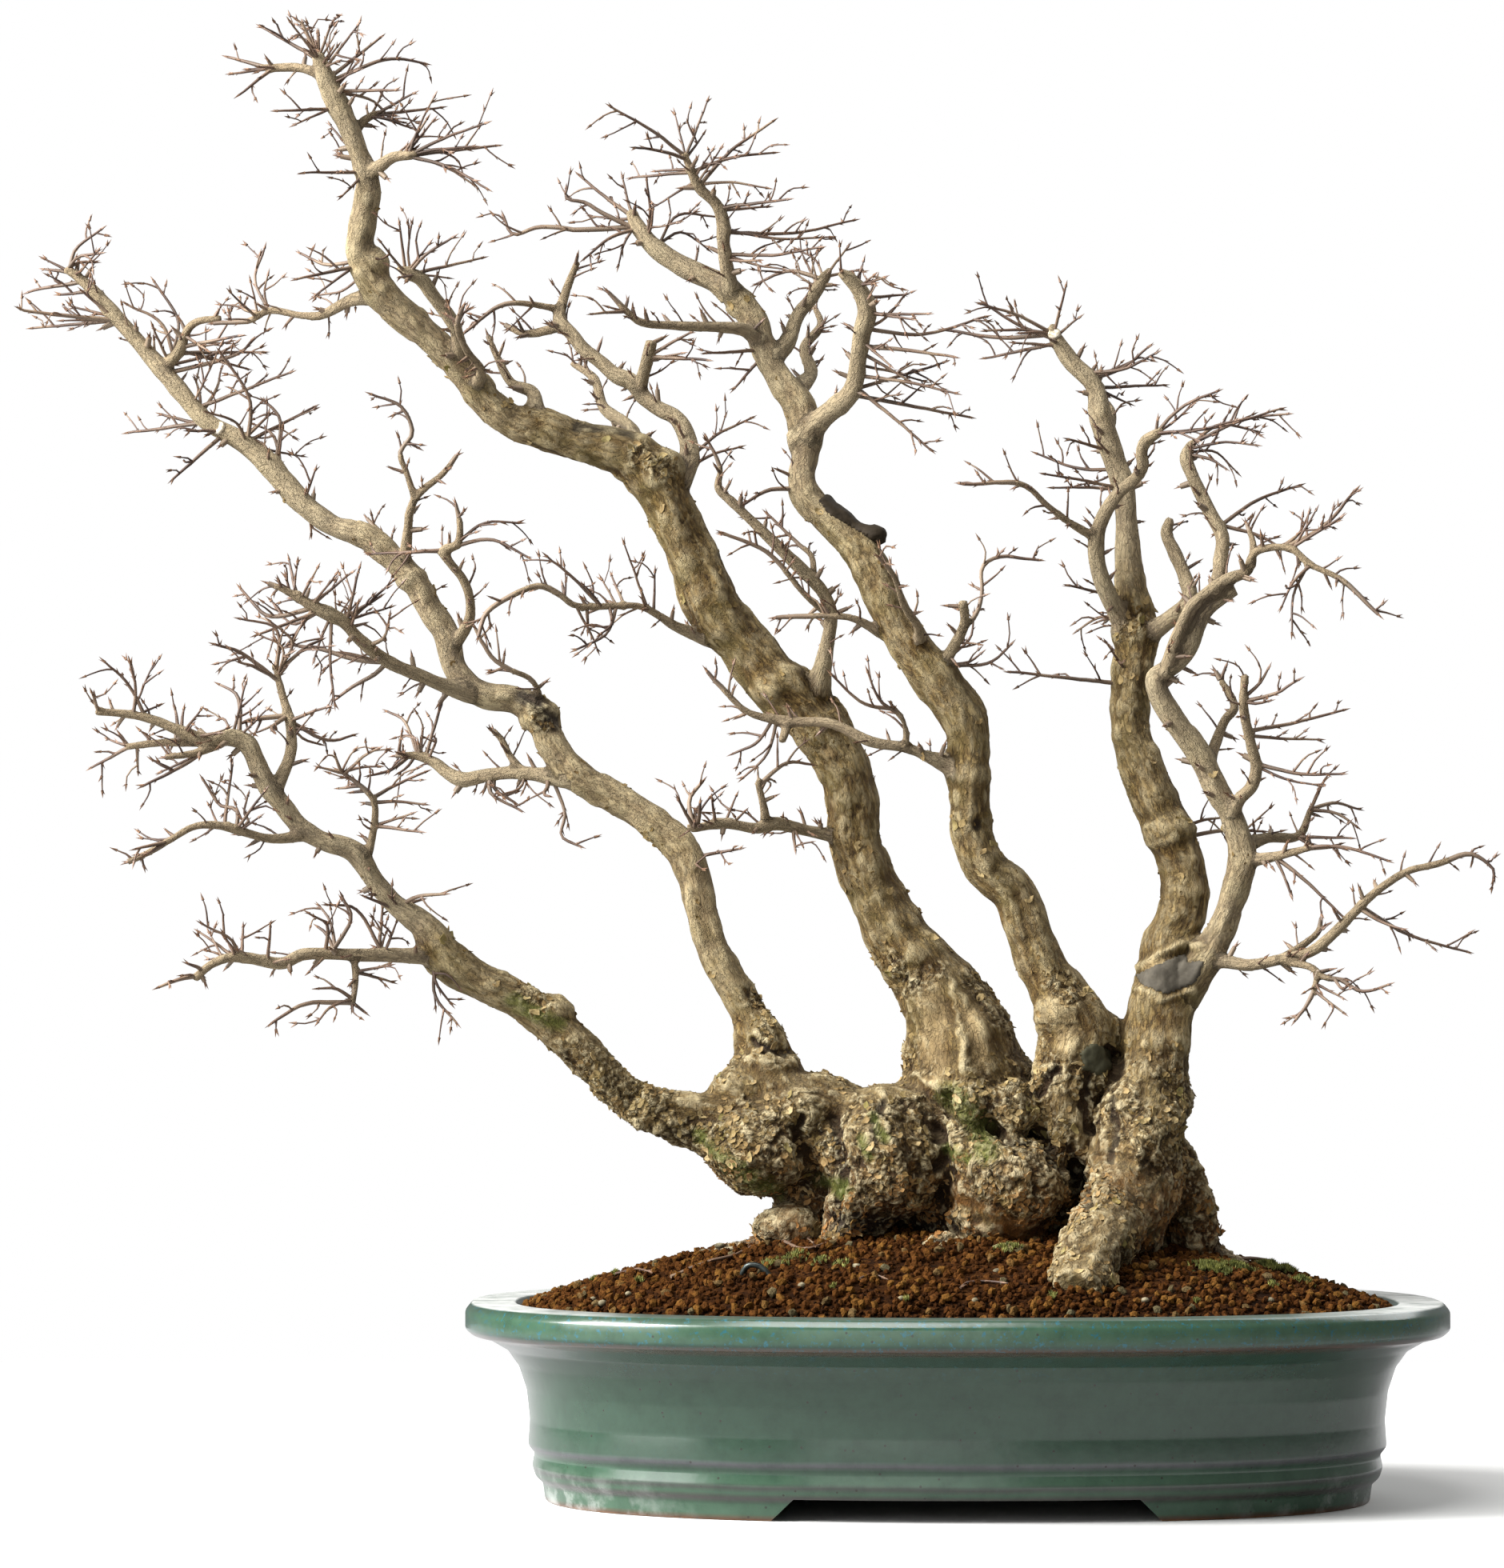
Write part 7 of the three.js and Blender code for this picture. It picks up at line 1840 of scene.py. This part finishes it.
def makePaste(name, outline, woodPiece, lump=None):
    # lifts a copy of the bark's own faces, and closes it below
    points, normals = toPot(verticesOf(woodPiece)), normalsOf(woodPiece)
    across, up = elevation(points)
    chosen = inside(across, up, outline) & (normals[:, 1] < 0.25)
    front = points[chosen][:, 1].min()
    chosen &= points[:, 1] < front + paste["deepest"]
    faces = [tuple(f.vertices) for f in woodPiece.data.polygons if all(chosen[v] for v in f.vertices)]
    used = sorted({v for f in faces for v in f})
    order = {v: i for i, v in enumerate(used)}
    edge = np.full(len(used), 1e9)
    a, u = across[used], up[used]
    for (x0, z0), (x1, z1) in zip(outline, outline[1:] + outline[:1]):
        dx, dz = x1 - x0, z1 - z0
        t = np.clip(((a - x0) * dx + (u - z0) * dz) / (dx * dx + dz * dz), 0, 1)
        edge = np.minimum(edge, np.hypot(a - x0 - t * dx, u - z0 - t * dz))
    lift = paste["thickness"] * (0.25 + 0.75 * smoothStep(0, paste["edge"], edge))
    lift = lift + 0.25 * noise(points[used] / 4, 21)
    if lump:
        x, z, size = lump
        lift += size * np.exp(-((a - x) ** 2 + (u - z) ** 2) / (size * size * 0.8))
    top = smoothed(woodPiece, points, np.full(len(points), 0.5), 3)[used] + normals[used] * lift[:, None]
    under = points[used] - normals[used] * paste["under"]
    count = len(used)
    made = [tuple(order[v] for v in f) for f in faces]
    made += [tuple(count + order[v] for v in reversed(f)) for f in faces]
    seen = {}
    for f in faces:
        for v, w in zip(f, f[1:] + f[:1]):
            seen[(v, w)] = True
    for v, w in seen:
        if (w, v) not in seen:
            made.append((order[w], order[v], count + order[v], count + order[w]))
    piece = newMesh(name, toWorld(np.vstack([top, under])), made)
    smoothShade(piece)
    return piece


def driedPaste(name, colour):
    # bituminous cut paste, dried: matt and skinned over, with a faint sheen on its ridges
    material, add, shader = newMaterial(name)
    milli = inMilli(add)
    skin = add("TexNoise", {"Vector": milli, "Scale": 1 / 5, "Detail": 4.0})
    tone = add("ValToRGB", {0: skin}, stops=[(0.3, "#b4b4b4"), (0.7, "#ffffff")])
    mixed = add("Mix", {7: tone, 0: 0.8, 6: linear(colour)}, data_type="RGBA", blend_type="MULTIPLY")
    bump = add("Bump", {"Height": skin, "Strength": 0.6, "Distance": 1.0 * mm})
    feed(shader, {"Base Color": mixed, "Roughness": 0.75, "Specular IOR Level": 0.15, "Normal": bump})
    return material


def anodisedWire():
    # aluminium training wire, anodised dark: satin, with brighter rubbed places
    material, add, shader = newMaterial("dark anodised aluminium wire")
    place = add("TexCoord").outputs["Object"]
    rubbed = add("TexNoise", {"Vector": place, "Scale": 180.0, "Detail": 3.0})
    tone = add("ValToRGB", {0: rubbed}, stops=[(0.4, "#232826"), (0.62, "#3d4340")])
    feed(shader, {"Base Color": tone, "Metallic": 0.6, "Roughness": 0.34})
    return material


def meshPlastic():
    # extruded polypropylene mesh: black, dull, with a fine drawn grain
    material, add, shader = newMaterial("black polypropylene mesh")
    spot = add("TexCoord").outputs["Object"]
    drawn = add("TexNoise", {"Vector": spot, "Scale": 900.0, "Detail": 2.0})
    tone = add("ValToRGB", {0: drawn}, stops=[(0.35, "#232522"), (0.65, "#30332f")])
    feed(shader, {"Base Color": tone, "Roughness": 0.6})
    return material


# Moss: cushions and sprigs on the soil, where the photograph shows them: across, up, how wide
# and how many shoots
moss = {
    "seed": 31, "shoot": 3.2, "shootWidth": 1.5,
    "lift": 0.9,                     # above the soil, on top of the grains
    "mound": 0.28, "spread": 0.42,   # times the cushion's width
}
mossPatches = [
    (160, 139, 12, 230), (176, 140, 9, 150), (196, 141, 9, 170), (207, 139, 6, 90), (216, 132, 6, 60),
    (-112, 143, 10, 22), (-98, 147, 9, 26), (-84, 144, 7, 18), (-70, 142, 6, 14), (33, 152, 9, 40),
    (-226, 132, 3, 18), (-212, 138, 3, 18), (-197, 132, 3, 16), (150, 119, 2, 10), (198, 129, 3, 14),
    (-77, 128, 2, 8), (60, 122, 3, 12), (-30, 120, 2, 8),
]


def shootMesh():
    # one moss shoot: five small leaves leaning out
    vertices, faces = [], []
    for k in range(5):
        a = 2 * math.pi * k / 5
        out, side = np.array([math.cos(a), math.sin(a), 0]), np.array([-math.sin(a), math.cos(a), 0])
        start = len(vertices)
        vertices += [side * 0.12, out * 0.45 + side * 0.22 + [0, 0, 0.45], out * 0.75 + [0, 0, 1.0],
                     out * 0.45 - side * 0.22 + [0, 0, 0.45]]
        faces += [(start, start + 1, start + 2), (start, start + 2, start + 3)]
    return newMesh("moss shoot", vertices, faces)


def makeMoss(material):
    random = np.random.default_rng(moss["seed"])
    spots = []
    for x, z, width, count in mossPatches:
        middle = onSoil(x, z)
        for _ in range(count):
            px, py = middle[:2] + random.normal(size=2) * width * moss["spread"]
            away = ((px - middle[0]) ** 2 + (py - middle[1]) ** 2) / (width * 0.6) ** 2
            mound = moss["mound"] * width * math.exp(-away)
            spots.append((px, py, float(soilHeight(px, py)) + moss["lift"] + mound))
    piece = newMesh("moss_cushions", toWorld(spots), [])
    shoot = shootMesh()
    tree, add, given, out = newTree("moss", {"Shoot": "Object", "Height": "Float", "Width": "Float",
                                             "Seed": "Int"})
    info = add("ObjectInfo", {"Object": given["Shoot"]})
    size = add("CombineXYZ", {0: given["Width"], 1: given["Width"], 2: given["Height"]})
    lean = add("RandomValue", {"Seed": given["Seed"], 0: (-0.55, -0.55, -3.1), 1: (0.55, 0.55, 3.1)},
               data_type="FLOAT_VECTOR")
    rotation = add("EulerToRotation", {0: lean})
    share = add("RandomValue", {"Seed": given["Seed"], 2: 0.6, 3: 1.35}, data_type="FLOAT")
    scale = add("VectorMath", {0: size, "Scale": share}, operation="SCALE")
    points = add("MeshToPoints", {"Mesh": given["Geometry"]})
    shoots = add("InstanceOnPoints", {"Points": points, "Instance": info.outputs["Geometry"],
                                      "Rotation": rotation, "Scale": scale})
    real = add("RealizeInstances", {"Geometry": shoots})
    painted = add("SetMaterial", {"Geometry": real, "Material": material})
    feed(out, {"Geometry": painted})
    grown(piece, tree, {"Shoot": shoot, "Height": moss["shoot"] * mm, "Width": moss["shootWidth"] * mm,
                        "Seed": moss["seed"]})
    bpy.data.objects.remove(shoot)
    return piece


def mossGreen():
    # living cushion moss: fresh yellow-green tips over darker shoots, softly translucent
    material, add, shader = newMaterial("cushion moss")
    milli = inMilli(add)
    cloud = add("TexNoise", {"Vector": milli, "Scale": 1 / 4, "Detail": 3.0})
    tone = add("ValToRGB", {0: cloud}, stops=[(0.32, "#3c421a"), (0.5, "#666a2a"), (0.68, "#98964c")])
    feed(shader, {"Base Color": tone, "Roughness": 0.75})
    return material


# Stones and chips on the soil (across, up, how wide, how flat), and pale ends of sawn branches
# (across, up, radius, the way each faces)
pebbles = [
    (-220, 119, 6, 0.7), (-226, 122, 4, 0.7), (-204, 125, 4, 0.8), (-156, 151, 9, 0.45), (-147, 155, 7, 0.5),
    (-139, 153, 8, 0.4), (-96, 130, 5, 0.8), (-34, 122, 5, 0.7), (-62, 142, 6, 0.6), (26, 139, 6, 0.6),
    (12, 121, 4, 0.8), (118, 121, 5, 0.7), (196, 121, 5, 0.7), (232, 123, 4, 0.7),
]
cutEnds = [(-461, 657, 4.4, (-0.55, -0.75, 0.35)), (60, 723, 4.2, (-0.2, -0.8, 0.55)),
           (-80, 463, 5.5, (-0.2, -0.95, 0.2))]


def makePebbles(material):
    vertices, faces = [], []
    for x, z, width, flat in pebbles:
        ball(onSoil(x, z) + [0, 0, 0.25 * width * flat], width / 2, width * 0.45, width * 0.5 * flat,
             vertices, faces, 10)
    piece = newMesh("pebbles", toWorld(vertices), faces)
    piece.data.materials.append(material)
    smoothShade(piece)
    return piece


def makeCutEnds(material):
    # thin domed discs on the wood
    centres, radii = limbCentres()
    across, up = elevation(centres)
    vertices, faces = [], []
    for x, z, radius, faced in cutEnds:
        nearest = np.hypot(across - x, up - z).argmin()
        n = np.array(faced) / np.linalg.norm(faced)
        u = np.cross(n, [0, 0, 1]) / np.linalg.norm(np.cross(n, [0, 0, 1]))
        v = np.cross(n, u)
        middle = centres[nearest] + n * radii[nearest] * 0.8
        start = len(vertices)
        rings = [(-2.0, 0.9), (0.3, 1.0), (1.2, 0.88), (1.5, 0.45)]
        for out, share in rings:
            for a in np.linspace(0, 2 * math.pi, 16, endpoint=False):
                vertices.append(middle + n * out + (u * math.cos(a) + v * math.sin(a)) * radius * share)
        faces += ringFaces(start, 4, 16, True)
        faces += [tuple(range(start, start + 16)), tuple(range(start + 63, start + 47, -1))]
    piece = newMesh("cut_ends", toWorld(vertices), faces)
    piece.data.materials.append(material)
    smoothShade(piece)
    return piece


def greyStone():
    # weathered pumice and chips of stone: matt grey-beige, finely pitted
    material, add, shader = newMaterial("grey pumice")
    milli = inMilli(add)
    cloud = add("TexNoise", {"Vector": milli, "Scale": 1 / 6, "Detail": 5.0})
    tone = add("ValToRGB", {0: cloud}, stops=[(0.3, "#453d2b"), (0.5, "#6f664e"), (0.7, "#958b70")])
    pits = add("TexNoise", {"Vector": milli, "Scale": 1 / 0.9, "Detail": 2.0})
    bump = add("Bump", {"Height": pits, "Strength": 0.6, "Distance": 0.5 * mm})
    feed(shader, {"Base Color": tone, "Roughness": 0.9, "Normal": bump})
    return material


def endGrain():
    # dry end grain of sawn hornbeam: pale, dull, with darker drying cracks
    material, add, shader = newMaterial("dry end grain")
    milli = inMilli(add)
    grain = add("TexNoise", {"Vector": milli, "Scale": 1 / 1.8, "Detail": 4.0})
    tone = add("ValToRGB", {0: grain}, stops=[(0.3, "#8d7c60"), (0.5, "#c9bda6"), (0.7, "#e2dacb")])
    feed(shader, {"Base Color": tone, "Roughness": 0.85})
    return material


# The pieces
bark, twigBark, buds = hornbeamBark(), youngBark(), budScales()
woodPiece = barkRelief(joinedWood())
print("wood grown:", len(woodPiece.data.vertices), "points")
pasteMade = {}
for name, facts in pastes.items():
    lump = (-47, 600, 9) if name == "scar_paste" else None
    pasteMade[name] = makePaste(name, facts["outline"], woodPiece, lump)
thinned(woodPiece, 2 * wood["triangles"])
setHollows(woodPiece)
base, crown = halved(woodPiece, ("wood_base", "wood_crown"))
dress(base, bark, "bark", "tree")
dress(crown, bark, "bark")
print("wood thinned:", len(base.data.polygons), "faces and", len(crown.data.polygons))
curled = flakedBark()
for name, host in (("bark_flakes", base), ("bark_flakes_above", crown)):
    flakePiece = makeFlakes(name, host, curled)
    dress(flakePiece, None, "bark")
    print("flakes:", len(flakePiece.data.polygons), "faces")

twigPiece = makeTwigs(twigBark, buds)
dress(twigPiece, None, "bark")
print("twigs:", len(twigPiece.data.polygons), "faces")

for name, facts in pastes.items():
    dress(pasteMade[name], driedPaste("dried cut paste, " + facts["slot"].split("_")[0], facts["colour"]),
          facts["slot"], facts["stands for"])
print("paste done")

dress(makePot(), celadonGlaze(), "glazed_stoneware", "pot")
print("pot done")

granules = makeGranules(firedClay("fired clay granules", "grainTone"))
dress(granules, None, "soil")
# the fill under the grains is darker, as painted shadow between them
fillWithPaintedShadow = firedClay("fired clay fill with painted shadow", None, 0.8)
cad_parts["soil"].data.materials.clear()
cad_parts["soil"].data.materials.append(fillWithPaintedShadow)
print("granules:", len(granules.data.polygons), "faces")

dress(makeWire(anodisedWire()), None, "training_wire", "anchor_wire")
plastic = meshPlastic()
for side in ("left", "right"):
    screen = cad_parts["drain_screen_" + side].data
    screen.materials.clear()
    screen.materials.append(plastic)

mossPiece = makeMoss(mossGreen())
dress(mossPiece, None, "soil")
print("moss:", len(mossPiece.data.polygons), "faces")
dress(makePebbles(greyStone()), None, "soil")
dress(makeCutEnds(endGrain()), None, "bark")


# Floor, light and camera
studio = {
    "floor": "#eeeeec", "bounced": 0.36, "floorSize": 2.6, "world": 0.18,
    "key": (510, 2.3, (-3.2, -1.0, 2.7)),    # watts, size in m, place
    "side": (80, 2.3, (-3.1, -1.5, 1.25)),
    "over": (56, 1.6, (-0.5, -1.3, 3.4)),
    "back": (40, 2.2, (1.7, 1.5, 2.3)),
    "low": (8, 1.4, (-0.3, -3.0, 0.35)),
}
camera = {"lens": 128.6, "tilt": 2.27}


def makeStudio():
    half = studio["floorSize"] / 2
    floor = newMesh("floor", [(-half, -half, 0), (half, -half, 0), (half, half, 0), (-half, half, 0)],
                    [(0, 1, 2, 3)])
    paint, add, shader = newMaterial("matt white paper")
    # the paper is seen at its full white, and sends up less, as between dark cards
    looked = add("LightPath")
    grey = studio["bounced"]
    white = add("Mix", {0: looked.outputs["Is Camera Ray"], 6: (grey, grey, grey, 1),
                        7: linear(studio["floor"])}, data_type="RGBA")
    feed(shader, {"Base Color": white, "Roughness": 0.9})
    floor.data.materials.append(paint)
    world = bpy.data.worlds.new("white room")
    bpy.context.scene.world = world
    world.use_nodes = True
    sky = world.node_tree.nodes["Background"]
    feed(sky, {"Color": (1, 1, 1, 1)})
    # the room behind is seen as plain white, and lights the tree with less
    ray = node(world.node_tree, "LightPath")
    seen = node(world.node_tree, "MapRange", {0: ray.outputs["Is Camera Ray"], 1: 0.0, 2: 1.0,
                                              3: studio["world"], 4: 1.0})
    feed(sky, {"Strength": seen})
    for name in ("key", "side", "over", "back", "low"):
        power, size, spot = studio[name]
        lamp = bpy.data.lights.new(name, "AREA")
        lamp.energy = power
        lamp.size = size
        holder = intoScene(name, lamp)
        holder.location = spot
        aim = Vector((0, 0, 0.05 if name == "low" else 0.4)) - Vector(spot)
        holder.rotation_euler = aim.to_track_quat("-Z", "Y").to_euler()
    bpy.context.scene.view_settings.view_transform = "Standard"


def makeCamera():
    data = bpy.data.cameras.new("camera")
    data.lens = camera["lens"]
    data.sensor_width = 36
    data.clip_end = 50
    holder = intoScene("camera", data)
    holder.location = toWorld((eye["across"], -eye["distance"], eye["up"]))
    holder.rotation_euler = (math.radians(90 + camera["tilt"]), 0, 0)
    bpy.context.scene.camera = holder


makeStudio()
makeCamera()
print("studio done")
